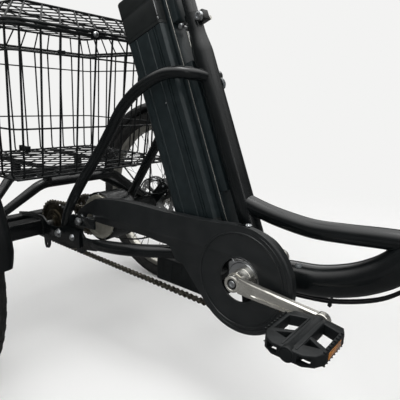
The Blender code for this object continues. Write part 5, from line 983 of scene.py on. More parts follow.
mainBase = math.atan2(crankCentre.z - rearHub.z, crankCentre.x - rearHub.x)
motorBase = math.atan2(rearHub.z - motorCentre.z, rearHub.x - motorCentre.x)
flatRear, flatCrank, flatMotor = (Vector((p.x, 0, p.z)) for p in (rearHub, crankCentre, motorCentre))
finishPiece("driveChain", chainMesh("driveChain", chainPlaces(flatRear, driveSize["freewheelTeeth"], flatCrank,
    driveSize["ringTeeth"]), driveSize["chainLine"]), "frame", chainSteel, ("drive_chain",), 40)
finishPiece("motorChain", chainMesh("motorChain", chainPlaces(flatMotor, driveSize["motorTeeth"], flatRear,
    driveSize["axleTeeth"]), driveSize["motorLine"]), "frame", chainSteel, ("motor_chain",), 40)


def ringWindows(centre, count, inner, outer, spread, turn=0.0):
    windows = []
    for i in range(count):
        middle = turn + 2 * math.pi * (i + 0.5) / count
        window = [(inner, -0.82), (inner, 0), (inner, 0.82), (outer, 1), (outer, 0.5), (outer, 0), (outer, -0.5),
            (outer, -1)]
        windows.append([(centre.x + r * math.cos(middle + a * spread), centre.z + r * math.sin(middle + a * spread))
            for r, a in window])
    return windows


def sprocket(centre, teeth, phase, bore, boreSteps, line, windows=()):
    return slab([toothEdge(centre, driveSize[teeth], phase), circlePoints(centre.x, centre.z, bore, boreSteps),
        *windows], driveSize["sprocketThick"], sideways(driveSize[line]), 0.0004)


# Chainring, crank arms and bolts turn together
ring = sprocket(crankCentre, "ringTeeth", mainBase, 0.02, 40, "chainLine",
    ringWindows(crankCentre, 5, 0.034, 0.066, 0.4))
step = lathe([(0.0195, -0.0628), (0.03, -0.0628), (0.031, -0.062), (0.031, -0.059), (0.0195, -0.059)], crankCentre,
    steps=56, ring=True)
finishPiece("chainring", [ring, step], "crankset", chromedSteel, ("chainring",), 30)


def armRings(start, end, side):
    # a forged arm with a channel in its outer face, which fades before the boss and the eye
    way = (end - start).normalized()
    across = Vector((0, 1, 0)).cross(way).normalized()
    out = Vector((0, side, 0))
    rings = []
    for k in range(25):
        share = k / 24
        half = 0.015 - 0.0042 * min(1, share * 1.1)
        thick = 0.0064 - 0.0022 * max(0, 1 - share / 0.14)
        fade = min(1, max(0, (share - 0.13) / 0.16)) * min(1, max(0, (0.9 - share) / 0.1))
        deep, wide = 0.003 * fade, half * 0.46
        centre = start.lerp(end, share) + Vector((0, side * 0.092, 0))
        section = [(-half, 0.3 * thick), (-half * 0.95, 0.66 * thick), (-half * 0.8, 0.92 * thick), (-wide, thick),
            (-wide * 0.8, thick - deep), (0, thick - deep * 1.15), (wide * 0.8, thick - deep), (wide, thick),
            (half * 0.8, 0.92 * thick), (half * 0.95, 0.66 * thick), (half, 0.3 * thick), (half, -0.7 * thick),
            (half * 0.86, -thick), (-half * 0.86, -thick), (-half, -0.7 * thick)]
        rings.append([centre + across * u + out * v for u, v in section])
    return ringShape(rings)


drop = math.radians(driveSize["crankDrop"])
shapes, dark, boltShapes = [], [], []
pedalEyes = {}
for sideName, side in (("right", -1), ("left", 1)):
    way = Vector((-side * math.cos(drop), 0, side * math.sin(drop)))
    eye = crankCentre + driveSize["crankLength"] * way
    pedalEyes[sideName] = eye
    shapes.append(armRings(crankCentre + way * 0.0125, eye - way * 0.002, side))
    face = [(0.007, 0.084), (0.0152, 0.084), (0.0162, 0.0855), (0.0163, 0.095), (0.0157, 0.0974), (0.014, 0.0986),
        (0.0108, 0.0986), (0.0101, 0.0979), (0.0098, 0.0935), (0.007, 0.0935)]
    shapes.append(lathe(face, crankCentre, steps=44, ring=True, side=side))
    shapes.append(lathe([(0, 0.0855), (0.0122, 0.0855), (0.013, 0.0865), (0.013, 0.0975), (0.012, 0.0985),
        (0, 0.0985)], eye, steps=36, side=side))
    dark.append(lathe([(0, 0.093), (0.0099, 0.093), (0.0099, 0.0948), (0.0092, 0.0954), (0, 0.0954)], crankCentre,
        steps=32, side=side))
    boltShapes.append(lathe([(0, 0.095), (0.0066, 0.095), (0.0066, 0.0972), (0.006, 0.0979), (0.004, 0.0979),
        (0.0036, 0.0962), (0, 0.0962)], crankCentre, steps=24, side=side))
    pin = [(0, 0.098), (0.0073, 0.098), (0.0073, 0.1005), (0.005, 0.1012), (0.005, 0.2105), (0, 0.2105)]
    boltShapes.append(lathe(pin, eye, steps=24, side=side))
boss = lathe([(0.008, -0.086), (0.0185, -0.086), (0.0192, -0.064), (0.02, -0.0632), (0.02, -0.059), (0.015, -0.0556),
    (0.0128, -0.0548), (0.011, -0.042), (0.011, -0.0362), (0.008, -0.0362)], crankCentre, steps=40, ring=True)
spindle = sweep([(crankCentre.x, -0.09, crankCentre.z), (crankCentre.x, 0.09, crankCentre.z)], 0.008, 24)
finishPiece("crankArms", [boss, spindle, *shapes], "crankset", polishedAluminium, ("crankset",), 34)
finishPiece("crankBolts", boltShapes, "crankset", zincPlate)
finishPiece("crankSeals", dark, "crankset", mouldedBlack)

# Freewheel: toothed ring, domed body and three turned steps
teeth = sprocket(rearHub, "freewheelTeeth", mainBase + math.pi, 0.03, 36, "chainLine")
body = lathe([(0.009, -0.0718), (0.0172, -0.0718), (0.018, -0.0712), (0.0182, -0.07), (0.02, -0.0696),
    (0.021, -0.0688), (0.0212, -0.0676), (0.026, -0.0672), (0.0268, -0.0664), (0.032, -0.066), (0.0352, -0.0646),
    (0.0368, -0.0625), (0.037, -0.06), (0.0364, -0.0575), (0.03, -0.0522), (0.0262, -0.0518), (0.024, -0.0502),
    (0.009, -0.0502)], rearHub, steps=56, ring=True)
finishPiece("freewheel", [teeth, body], "freewheel", sprocketSteel, ("freewheel",), 30)

# Rear axle with its driven sprocket and wheel nuts
axle = lathe([(0, -0.422), (0.0058, -0.422), (0.0065, -0.4212), (0.0065, -0.41), (0.0085, -0.4098), (0.0085, 0.4098),
    (0.0065, 0.41), (0.0065, 0.4212), (0.0058, 0.422), (0, 0.422)], rearHub, steps=32)
flange = lathe([(0, 0.038), (0.018, 0.038), (0.019, 0.039), (0.0208, 0.0455), (0.0258, 0.0462), (0.0265, 0.047),
    (0.0265, 0.0515), (0.019, 0.052), (0, 0.052)], rearHub, steps=44)
teeth = sprocket(rearHub, "axleTeeth", motorBase, 0.012, 32, "motorLine", ringWindows(rearHub, 6, 0.03, 0.045, 0.34))
nuts = []
for side in (-1, 1):
    nuts.append(lathe([(0.006, 0.4104), (0.0128, 0.4104), (0.0136, 0.4112), (0.0136, 0.4118), (0.006, 0.4118)],
        rearHub, steps=32, ring=True, side=side))
    nuts.append(lathe([(0, 0.4116), (0.0112, 0.4116), (0.0122, 0.4124), (0.0122, 0.418), (0.0108, 0.419), (0, 0.419)],
        rearHub, steps=6, side=side))
finishPiece("rearAxle", [axle, flange, *nuts], "rear_axle", zincPlate, ("rear_axle",), 30)
finishPiece("axleSprocket", [teeth], "rear_axle", sprocketSteel)

# Motor: black shell, dished silver cover with a bright chamfer and step, bolts round the edge
cover = lathe([(0.0063, -0.05), (0.0105, -0.05), (0.0112, -0.0495), (0.0116, -0.0478), (0.015, -0.0474),
    (0.0196, -0.0464), (0.0215, -0.0452), (0.03, -0.0448), (0.041, -0.0455), (0.044, -0.0462), (0.045, -0.0478),
    (0.046, -0.0487), (0.0475, -0.049), (0.0538, -0.049), (0.055, -0.0484), (0.0562, -0.0456), (0.0562, -0.04),
    (0.0063, -0.04)], motorCentre, steps=72, ring=True)
otherCover = lathe([(0.0063, 0.0496), (0.0118, 0.0496), (0.0128, 0.0486), (0.0132, 0.04), (0.0225, 0.0345),
    (0.0245, 0.0328), (0.054, 0.0318), (0.0562, 0.0296), (0.0562, 0.027), (0.0063, 0.027)], motorCentre, steps=72,
    ring=True)
finishPiece("motorCovers", [cover, otherCover], "motor", motorCasting, ("motor_hub",), 26)
shell = lathe([(0.05, -0.041), (0.059, -0.0446), (0.0604, -0.045), (0.0616, -0.0444), (0.062, -0.043),
    (0.062, -0.036), (0.0612, -0.0352), (0.0612, 0.019), (0.062, 0.0198), (0.062, 0.0285), (0.0612, 0.03),
    (0.05, 0.03)], motorCentre, steps=72, ring=True)
finishPiece("motorShell", [shell], "motor", powderCoat)
teeth = sprocket(motorCentre, "motorTeeth", motorBase + math.pi, 0.012, 24, "motorLine")
finishPiece("motorSprocket", [teeth], "motor", sprocketSteel)
screwHead = lathe([(0, 0.0016), (0.0011, 0.0016), (0.0013, 0.0006), (0.0022, 0.0016), (0.0026, 0.001), (0.0027, 0),
    (0, 0)], (0, 0, 0), (0, 0, 1), 12)
spots = [(motorCentre + Vector((0.0585 * math.cos(a), -0.0447, 0.0585 * math.sin(a))), (0, -1, 0), 0.0, 0.8)
    for a in [2 * math.pi * (k + 0.3) / 9 for k in range(9)]]
finishPiece("motorScrews", repeatMesh("motorScrews", [screwHead], spots, zincPlate), "motor", zincPlate)
axleHalf = [(0.0052, 0.1125), (0.006, 0.1118), (0.006, 0.1105), (0.006, 0.104), (0.006, 0.0905)]
profile = [(0, 0.1125)] + axleHalf + [(r, -y) for r, y in reversed(axleHalf)] + [(0, -0.1125)]
shapes = [lathe(profile, motorCentre, steps=24)]
for side in (-1, 1):
    for low, high in ((0.0908, 0.0966), (0.1044, 0.1112)):
        shapes.append(lathe([(0.005, low), (0.0092, low), (0.01, low + 0.0008), (0.01, high - 0.0008), (0.0092, high),
            (0.005, high)], motorCentre, steps=6, ring=True, side=side))
finishPiece("motorAxle", shapes, "frame", zincPlate, ("motor_axle",), 30)
print("drive finished")


# Chain guard: one moulding with a rolled top edge, two ridges and a bevelled band

guardSize = {"y": -0.0715, "thick": 0.003, "edge": 0.1045, "opening": 0.0425, "ridge": 0.09, "secondRidge": 0.0975}
armTop = [(0.118, 0.35), (0.123, 0.361), (0.14, 0.375), (0.177, 0.397), (0.204, 0.407), (0.3, 0.4185),
    (0.432, 0.4195), (0.524, 0.4225), (0.6, 0.429)]
armLow = [(0.474, 0.32), (0.455, 0.322), (0.437, 0.3475), (0.405, 0.35), (0.343, 0.353), (0.247, 0.349),
    (0.188, 0.349), (0.186, 0.358), (0.179, 0.364), (0.165, 0.364), (0.158, 0.358), (0.157, 0.344), (0.124, 0.335)]


def roundedEdge(points, perSpan=4):
    return [(p.x, p.z) for p in smoothPath([(x, 0, z) for x, z in points], perSpan)]


topEdge = roundedEdge(armTop, 5)
arc = [(crankCentre.x + guardSize["edge"] * math.cos(math.radians(a)),
    crankCentre.z + guardSize["edge"] * math.sin(math.radians(a))) for a in range(90, -139, -4)]
lowEdge = roundedEdge(armLow[:7], 3) + [(p.x, p.z) for p in bentPath([(x, 0, z) for x, z in armLow[6:]], 0.0022, 3)]
face = slab([topEdge + arc + lowEdge, circlePoints(crankCentre.x, crankCentre.z, guardSize["opening"], 64)],
    guardSize["thick"], sideways(guardSize["y"]), 0.0006)
out = guardSize["y"] - 0.0012


def ridgeBand(radius, width, height, start, end):
    # a low rounded ridge on the face, from one angle to another
    rings = []
    count = max(8, int((end - start) / 4))
    for k in range(count + 1):
        angle = math.radians(start + (end - start) * k / count)
        fade = 1.0 if end - start >= 360 else min(1, 6 * k / count, 6 * (1 - k / count)) * 0.95 + 0.05
        ring = []
        for u, v in ((-1, 0.6), (-1, 0), (-0.55, -0.8), (0, -1), (0.55, -0.8), (1, 0), (1, 0.6)):
            r = radius + u * width / 2
            ring.append(Vector((crankCentre.x + r * math.cos(angle), out + v * height * fade,
                crankCentre.z + r * math.sin(angle))))
        rings.append(ring)
    if end - start >= 360:
        return ringShape(rings[:-1], closed=True)
    return ringShape(rings)


shapes = [face, ridgeBand(guardSize["ridge"], 0.0044, 0.0022, -180, 180),
    ridgeBand(guardSize["secondRidge"], 0.0032, 0.0016, -128, 84),
    ridgeBand(guardSize["opening"] + 0.001, 0.0034, 0.0014, -180, 180)]
# The bevelled band and skirt turn back towards the frame round the free side of the disc
skirt = []
for k in range(54):
    angle = math.radians(82 - 214 * k / 53)
    fade = min(1, 8 * k / 53, 8 * (1 - k / 53)) * 0.9 + 0.1
    ring = []
    for r, y in ((0.101, -0.0728), (0.104, -0.0726), (0.107, -0.07), (0.107, -0.07 + 0.0135 * fade),
            (0.1048, -0.07 + 0.0135 * fade), (0.1048, -0.0706), (0.101, -0.0712)):
        ring.append(Vector((crankCentre.x + r * math.cos(angle), y, crankCentre.z + r * math.sin(angle))))
    skirt.append(ring)
shapes.append(ringShape(skirt))
lipRoute = [Vector((x, 0, z)) for x, z in topEdge if x > 0.135]
lip = [(-0.0008, -0.0722), (0.0008, -0.0716), (0.0014, -0.0702), (0.0014, -0.056), (0.0006, -0.0548),
    (-0.0008, -0.0548), (-0.0012, -0.0565), (-0.0012, -0.0705)]
rings = []
for i, place in enumerate(lipRoute):
    way = (lipRoute[min(i + 1, len(lipRoute) - 1)] - lipRoute[max(i - 1, 0)]).normalized()
    normal = Vector((-way.z, 0, way.x))
    rings.append([Vector((place.x + normal.x * u - normal.x * 0.0009, y, place.z + normal.z * u - normal.z * 0.0009))
        for u, y in lip])
shapes.append(ringShape(rings))
finishPiece("chainGuard", shapes, "frame", guardPlastic, ("chain_guard",), 30)
dimple = lathe([(0, 0.0034), (0.0022, 0.0034), (0.0026, 0.002), (0.0034, 0.0028), (0.0044, 0.0022), (0.0048, 0.001),
    (0.0048, 0), (0, 0)], (0, 0, 0), (0, 0, 1), 20)
washer = lathe([(0, 0.0006), (0.0072, 0.0006), (0.0074, 0.0001), (0.0074, -0.0006), (0, -0.0006)], (0, 0, 0),
    (0, 0, 1), 24)
spots = [((0.138, out - 0.0004, 0.35), (0, -1, 0), 0.0, 1.0), ((0.62, -0.0632, 0.4315), (0.05, -0.2, 1), 0.5, 0.72)]
finishPiece("guardScrews", repeatMesh("guardScrews", [dimple, washer], spots, zincPlate), "frame", zincPlate)
print("guard finished")


# Pedals: moulded cage with slanted windows, centre barrel, end cap and amber reflectors

pedalSize = {"near": 0.1015, "plate": 0.019, "teeth": 8, "toothStep": 0.009}
cage = [(-0.046, 0.02), (-0.04, 0.006), (-0.02, 0.001), (0.02, 0.001), (0.04, 0.006), (0.046, 0.02), (0.046, 0.088),
    (0.038, 0.103), (0.023, 0.112), (-0.023, 0.112), (-0.038, 0.103), (-0.046, 0.088)]
bigWindow = [(0.0132, 0.015), (0.0392, 0.024), (0.0392, 0.074), (0.0132, 0.06)]
smallWindow = [(0.014, 0.068), (0.0345, 0.081), (0.014, 0.087)]
for sideName, side in (("right", -1), ("left", 1)):
    eye = pedalEyes[sideName]
    base = Vector((eye.x, side * pedalSize["near"], eye.z))

    def onPedal(u, v, w=0.0):
        return Vector((base.x + u, base.y + side * v, base.z + w))

    place = Matrix.Translation(base) @ Matrix.Diagonal((1, side, 1, 1))
    windows = []
    for window in (bigWindow, smallWindow):
        windows += [window, [(-u, v) for u, v in window]]
    shapes = [slab([cage] + windows, pedalSize["plate"], place, 0.0022, 3)]
    barrel = [(0.0053, 0.0004), (0.0108, 0.0004), (0.0114, 0.0012), (0.0114, 0.012), (0.0106, 0.015), (0.0106, 0.101),
        (0.0118, 0.103), (0.0118, 0.1122), (0.011, 0.1132), (0.0098, 0.1134), (0.0092, 0.1126), (0.0053, 0.1126)]
    shapes.append(lathe([(r, side * v) for r, v in barrel], base, steps=36, ring=True))
    shapes.append(lathe([(0, 0.11), (0.009, 0.11), (0.009, 0.1136), (0.008, 0.1142), (0, 0.1142)], base, steps=32,
        side=side))
    for end in (-1, 1):
        for k in range(pedalSize["teeth"]):
            v = 0.024 + pedalSize["toothStep"] * k
            for up in (-1, 1):
                low = onPedal(end * 0.045 - 0.0032, v - 0.0016, up * 0.009 - 0.0012)
                high = onPedal(end * 0.045 + 0.001 * (end > 0), v + 0.0016, up * 0.0112 + 0.0006)
                shapes.append(block(low, high, 0.0005, 1))
        low, high = onPedal(end * 0.0088, 0.014, -0.0105), onPedal(end * 0.0126, 0.106, 0.0105)
        shapes.append(block(low, high, 0.001, 2))
    pockets = []
    for end in (-1, 1):
        for low, high in (((0.015, 0.0925, -0.0056), (0.033, 0.118, 0.0056)),
                ((0.016, 0.0925, -0.013), (0.03, 0.102, 0.0))):
            first, last = onPedal(end * low[0], low[1], low[2]), onPedal(end * high[0], high[1], high[2])
            pockets.append(shapeMesh("pocket", block(first, last, 0.0012, 2)))
    cageMesh = joinMeshes("pedal", cutBy(shapeMesh("cage", shapes[0]), pockets), shapeMesh("pedal", *shapes[1:]))
    finishPiece("pedal" + sideName.capitalize(), cageMesh, f"pedal_{sideName}", mouldedBlack, (f"pedal_{sideName}",),
        32)
    shapes = []
    for end in (-1, 1):
        low, high = onPedal(end * 0.044, 0.032, -0.0058), onPedal(end * 0.0466, 0.078, 0.0058)
        shapes.append(block(low, high, 0.001, 2))
    finishPiece("reflectors" + sideName.capitalize(), shapes, f"pedal_{sideName}", amberReflector)
print("pedals finished")


# Battery: grooved extrusion between moulded caps, on its black rail, and the seat clamp and post beside it

batterySize = {"front": 0.0555, "wing": 0.0472, "back": 0.1548, "half": 0.043, "corner": 0.012, "foot": 0.1,
    "seam": 0.535, "top": 0.6195, "grooves": ((0.0865, 0.0032), (0.122, 0.0028), (0.13, 0.0014)),
    "ridges": (0.0665, 0.0725)}
seatPlace = Matrix.Translation(seatFoot) @ Matrix.Rotation(math.atan2(seatUp.x, seatUp.z), 4, "Y")


def roundedBox(back0, back1, half, corner, steps=5):
    outline = []
    wing = batterySize["wing"] + (back0 - batterySize["front"])
    for x, y, start in ((-back0, half, 0), (-back1, half, 90), (-back1, -half, 180), (-back0, -half, 270)):
        middleX = x - corner if start in (0, 270) else x + corner
        middleY = y - math.copysign(corner, y)
        for k in range(steps + 1):
            angle = math.radians(start + 90 * k / steps)
            outline.append((middleX + corner * math.cos(angle), middleY + corner * math.sin(angle)))
    first = [(-back0, 0.0232), (-wing - 0.001, 0.0232), (-wing, 0.0242), (-wing, half - 0.0075),
        (-wing - 0.0014, half - 0.0045), (-wing - 0.0048, half)]
    last = [(x, -y) for x, y in reversed(first)]
    return first + outline[steps + 1:-steps - 1] + last


def groovedBox(size):
    base = roundedBox(size["front"], size["back"], size["half"], size["corner"])
    half = size["half"]
    cuts = []
    for back, wide in size["grooves"]:
        cuts += [(back - wide, 0), (back - wide * 0.7, -0.0012), (back + wide * 0.7, -0.0012), (back + wide, 0)]
    for back in size["ridges"]:
        cuts += [(back - 0.0016, 0), (back - 0.001, -0.0024), (back + 0.001, -0.0024), (back + 0.0016, 0)]
    cuts.sort()
    left = [(-back, half + deep) for back, deep in cuts]
    right = [(-back, -half - deep) for back, deep in reversed(cuts)]
    return base[:6] + left + base[6:-6] + right + base[-6:]


def onSeat(outline, low, high, bevel=0.0, segments=2):
    return slab([outline], high - low, seatPlace @ Matrix.Translation((0, 0, (low + high) / 2)), bevel, segments)


size = batterySize
shapes = [onSeat(groovedBox(size), size["foot"] + 0.024, size["seam"] - 0.0075, 0.0004, 1)]
finishPiece("batteryBody", shapes, "battery", batteryAluminium, ("battery",), 26)
capBox = roundedBox(0.0553, 0.1566, 0.0446, 0.0135)
capLow = roundedBox(0.056, 0.1558, 0.0438, 0.013)
cap = shapeMesh("batteryCap", onSeat(capBox, size["seam"], 0.579, 0.0012),
    onSeat(capLow, size["seam"] - 0.0066, 0.585, 0.0004, 1), onSeat(capBox, 0.5803, size["top"], 0.005, 4))
finishPiece("batteryCap", cap, "battery", capPlastic, angle=30)
footShapes = [onSeat(capBox, 0.0885, 0.1225, 0.004, 3), onSeat(capLow, 0.12, 0.1245, 0.0004, 1)]
for side in (-1, 1):
    footShapes.append(block((-0.135, side * 0.0445 - 0.0012, 0.1), (-0.075, side * 0.0445 + 0.0012, 0.112), 0.001, 2,
        seatPlace))
finishPiece("batteryFoot", footShapes, "battery", capPlastic, angle=30)
trim = []
for side in (-1, 1):
    trim.append(block((-0.0535, side * 0.0438 - 0.0008, 0.5435), (-0.0505, side * 0.0438 + 0.0008, 0.612), 0.0007, 2,
        seatPlace))
    trim.append(block((-0.054, side * 0.044 - 0.001, 0.5345), (-0.05, side * 0.044 + 0.001, 0.541), 0.0008, 2,
        seatPlace))
finishPiece("batteryTrim", trim, "battery", chromedSteel, angle=30)
screws = [(seatPlace @ Vector((-0.09, side * 0.0442, 0.376)), (0, side, 0), 0.4, 0.6) for side in (-1, 1)]
finishPiece("batteryScrews", repeatMesh("batteryScrews", [screwHead], screws, zincPlate), "battery", zincPlate)

# Rail: a black carrier with a thin bright slide each side
rail = [block((-0.05, -0.0135, 0.17), (-0.0218, 0.0135, 0.44), 0.0015, 2, seatPlace),
    block((-0.054, -0.0212, 0.1), (-0.0385, 0.0212, 0.598), 0.0012, 2, seatPlace),
    block((-0.0395, -0.0185, 0.524), (-0.023, 0.0185, 0.598), 0.0015, 2, seatPlace)]
for side in (-1, 1):
    rail.append(block((-0.044, side * 0.0208 - 0.0012, 0.102), (-0.042, side * 0.0206 + 0.0014, 0.596), 0.0007, 2,
        seatPlace))
finishPiece("batteryRail", rail, "frame", batteryAluminium, ("battery_rail",), 30)
slides = [block((-0.0402, side * 0.0206 - 0.0004, 0.104), (-0.038, side * 0.0206 + 0.001, 0.596), 0.0005, 2,
    seatPlace) for side in (-1, 1)]
finishPiece("railSlides", slides, "frame", polishedAluminium, angle=30)

# Seat clamp: cast collar with a bolt through its ears, nut and lever
clampSize = {"low": 0.4995, "high": 0.5215, "middle": 0.5125, "back": 0.0262}
outer = [(0.017, clampSize["low"]), (0.0205, clampSize["low"]), (0.0211, clampSize["low"] + 0.0008),
    (0.0211, clampSize["high"] - 0.0008), (0.0205, clampSize["high"]), (0.017, clampSize["high"])]
collar = shapeMesh("seatClamp", lathe(outer, seatFoot, seatUp, 48, True),
    block((-0.0306, -0.0084, clampSize["low"] + 0.0018), (-0.0186, 0.0084, clampSize["high"] - 0.0018), 0.0014, 3,
    seatPlace))
frontEars = shapeMesh("frontEars", block((0.0186, -0.0092, clampSize["low"] + 0.001),
    (0.0318, 0.0092, clampSize["high"] - 0.001), 0.0016, 3, seatPlace))
slit = shapeMesh("slit", block((-0.05, -0.0011, 0.49), (-0.0135, 0.0011, 0.54), 0, 1, seatPlace))
collar = joinMeshes("seatClamp", cutBy(collar, [slit]), frontEars)
finishPiece("seatClamp", collar, "frame", powderCoat, ("seat_clamp",), 30)
bolt = alongSeat(clampSize["middle"], clampSize["back"])
nut = [(0, -0.015), (0.0044, -0.0148), (0.0056, -0.014), (0.0061, -0.0128), (0.0061, -0.0088), (0.0056, -0.0086),
    (0, -0.0086)]
frontBolt = alongSeat(clampSize["middle"] - 0.0045, -0.024, -0.0035)
head = [(0, 0.0084), (0.009, 0.0084), (0.0094, 0.0092), (0.0092, 0.013), (0.008, 0.0152), (0.005, 0.0158),
    (0.0046, 0.0132), (0, 0.0132)]
boltShapes = [lathe([(r, -h) for r, h in head], frontBolt, steps=32),
    lathe([(0, 0.009), (0.0058, 0.009), (0.0062, 0.0096), (0.0062, 0.015), (0.0055, 0.0158), (0, 0.0158)], frontBolt,
    steps=28), lathe(nut, bolt, steps=32), sweep([bolt - Vector((0, 0.014, 0)), bolt + Vector((0, 0.0165, 0))],
    0.0029, 16), lathe([(0, 0.0086), (0.0058, 0.0088), (0.006, 0.0096), (0.006, 0.0118), (0.0052, 0.0122),
    (0, 0.0122)], bolt, steps=24)]
finishPiece("clampBolt", boltShapes, "frame", zincPlate, angle=30)
leverPath = smoothPath([alongSeat(0.5125, 0.0262, 0.0165), alongSeat(0.5125, 0.01, 0.0245),
    alongSeat(0.5125, -0.008, 0.0268), alongSeat(0.5125, -0.024, 0.0253)], 6)
lever = sweep(leverPath, [(a * 0.72, a) for a in smoothValues([0.0044, 0.0036, 0.0036, 0.0042], 6)], 18,
    upward=(0, 1, 0))
cam = lathe([(0, -0.0036), (0.0044, -0.0034), (0.005, -0.0026), (0.005, 0.0026), (0.0044, 0.0034), (0, 0.0036)],
    alongSeat(0.5125, 0.0262, 0.0165), seatUp, 24)
finishPiece("clampLever", [lever, cam], "clamp_lever", polishedAluminium, ("clamp_lever",), 34)
post = [(0, 0.3005), (0.0125, 0.3005), (0.0135, 0.302), (0.0135, 0.6285), (0.0131, 0.63), (0.0112, 0.6345),
    (0.0109, 0.636), (0.0109, 0.6595), (0, 0.6595)]
finishPiece("seatPost", [lathe(post, seatFoot, seatUp, 40)], "seat", powderCoat, ("seat_post",), 30)
print("battery and seat tube parts finished")


# Wheels: tyre with tread blocks, box rim, hub, thirty-six spokes with nipples, drilled rotor, valve

wheelSize = {"rearHalfTrack": 0.375, "spokeHalves": 9, "cross": 60, "spokeRadius": 0.00115, "flangeRadius": 0.0262,
    "treadPitches": 62, "rotorRadius": 0.0798, "rotorInset": 0.0352, "rotorThick": 0.0022}
tyreHalf = [(0.2602, 0.0125), (0.2606, 0.015), (0.264, 0.0166), (0.2668, 0.017), (0.2684, 0.0192), (0.273, 0.0226),
    (0.279, 0.0251), (0.2815, 0.0256), (0.2822, 0.0262), (0.2832, 0.0262), (0.284, 0.0258), (0.288, 0.0256),
    (0.293, 0.0242), (0.2975, 0.0212), (0.3004, 0.0168), (0.302, 0.011), (0.3027, 0.005)]
tyreProfile = [(r, -y) for r, y in tyreHalf] + [(r, y) for r, y in reversed(tyreHalf)]
rimHalf = [(0.2594, 0.0164), (0.2588, 0.0165), (0.254, 0.016), (0.249, 0.015), (0.2452, 0.0128), (0.2425, 0.0096),
    (0.2412, 0.006), (0.241, 0.002)]
rimProfile = [(r, -y) for r, y in rimHalf] + [(r, y) for r, y in reversed(rimHalf)] + [(0.259, 0.015),
    (0.256, 0.0142), (0.2515, 0.009), (0.2505, 0.0)] + [(0.2515, -0.009), (0.256, -0.0142), (0.259, -0.015)]


def treadPitch():
    # one pitch of the tread: two slanted centre blocks and two shoulder blocks
    step = 2 * math.pi / wheelSize["treadPitches"]
    shapes = []

    def tread(corners, low, high):
        # corners are (share of the pitch, y); the block leans on the tyre's curve
        rings = []
        for reach, shrink in ((low, 1.0), (high - 0.0004, 0.94), (high, 0.84)):
            middle = [sum(c[i] for c in corners) / len(corners) for i in (0, 1)]
            ring = []
            for u, y in corners:
                u, y = middle[0] + (u - middle[0]) * shrink, middle[1] + (y - middle[1]) * shrink
                fall = 0.009 * (abs(y) / 0.0225) ** 2.6
                angle = u * step
                ring.append(Vector(((0.3026 + reach - fall) * math.cos(angle), y,
                    (0.3026 + reach - fall) * math.sin(angle))))
            rings.append(ring)
        return ringShape(rings)

    shapes.append(tread([(-0.42, 0.0008), (0.28, 0.0008), (0.42, 0.0086), (-0.28, 0.0086)], -0.0012, 0.0023))
    shapes.append(tread([(0.08, -0.0008), (0.78, -0.0008), (0.92, -0.0086), (0.22, -0.0086)], -0.0012, 0.0023))
    shapes.append(tread([(-0.2, 0.0108), (0.46, 0.0108), (0.54, 0.0176), (-0.12, 0.0176)], -0.0012, 0.002))
    shapes.append(tread([(0.3, -0.0108), (0.96, -0.0108), (1.04, -0.0176), (0.38, -0.0176)], -0.0012, 0.002))
    shapes.append(tread([(-0.1, 0.0185), (0.38, 0.0185), (0.36, 0.0238), (-0.08, 0.0238)], -0.002, 0.0032))
    shapes.append(tread([(0.4, -0.0185), (0.88, -0.0185), (0.86, -0.0238), (0.42, -0.0238)], -0.002, 0.0032))
    return shapes


def spokeGroup(flangeY):
    # four spokes, one of each lean and side, with their nipples
    shapes = []
    for hole, side, lean in ((0, 1, -1), (10, -1, -1), (20, 1, 1), (30, -1, 1)):
        rimAngle, hubAngle = math.radians(hole), math.radians(hole + lean * wheelSize["cross"])
        foot = Vector((wheelSize["flangeRadius"] * math.cos(hubAngle), side * (flangeY + lean * 0.0016),
            wheelSize["flangeRadius"] * math.sin(hubAngle)))
        tip = Vector((0.2418 * math.cos(rimAngle), side * 0.0035, 0.2418 * math.sin(rimAngle)))
        way = (tip - foot).normalized()
        shapes.append(sweep([foot, foot.lerp(tip, 0.5), tip], wheelSize["spokeRadius"], 6))
        shapes.append(sweep([tip - way * 0.013, tip - way * 0.0125, tip - way * 0.0004, tip + way * 0.001],
            [0.0014, 0.0019, 0.0019, 0.0022], 8))
        head = Vector((foot.x, side * flangeY, foot.z))
        shapes.append(sweep([head - Vector((0, side * lean * 0.0034, 0)),
            head + Vector((0, side * lean * 0.0024, 0))], [0.0019, 0.0013], 8))
    return shapes


def rotorShape(centre, rotorY, bore):
    outline = circlePoints(0, 0, wheelSize["rotorRadius"], 96)
    windows = ringWindows(Vector((0, 0, 0)), 6, 0.031, 0.0605, 0.36)
    windows = [[(u * math.cos(0.5 * math.hypot(u, v) / 0.08) - v * math.sin(0.5 * math.hypot(u, v) / 0.08),
        u * math.sin(0.5 * math.hypot(u, v) / 0.08) + v * math.cos(0.5 * math.hypot(u, v) / 0.08)) for u, v in window]
        for window in windows]
    holes = []
    for k in range(30):
        angle = 2 * math.pi * k / 30
        radius = 0.0665 + 0.0045 * (k % 3)
        holes.append(circlePoints(radius * math.cos(angle), radius * math.sin(angle), 0.002, 10))
    return slab([outline, circlePoints(0, 0, bore, 32)] + windows + holes, wheelSize["rotorThick"],
        Matrix.Translation((centre.x, rotorY, centre.z)) @ sideways(), 0.0002, 1)


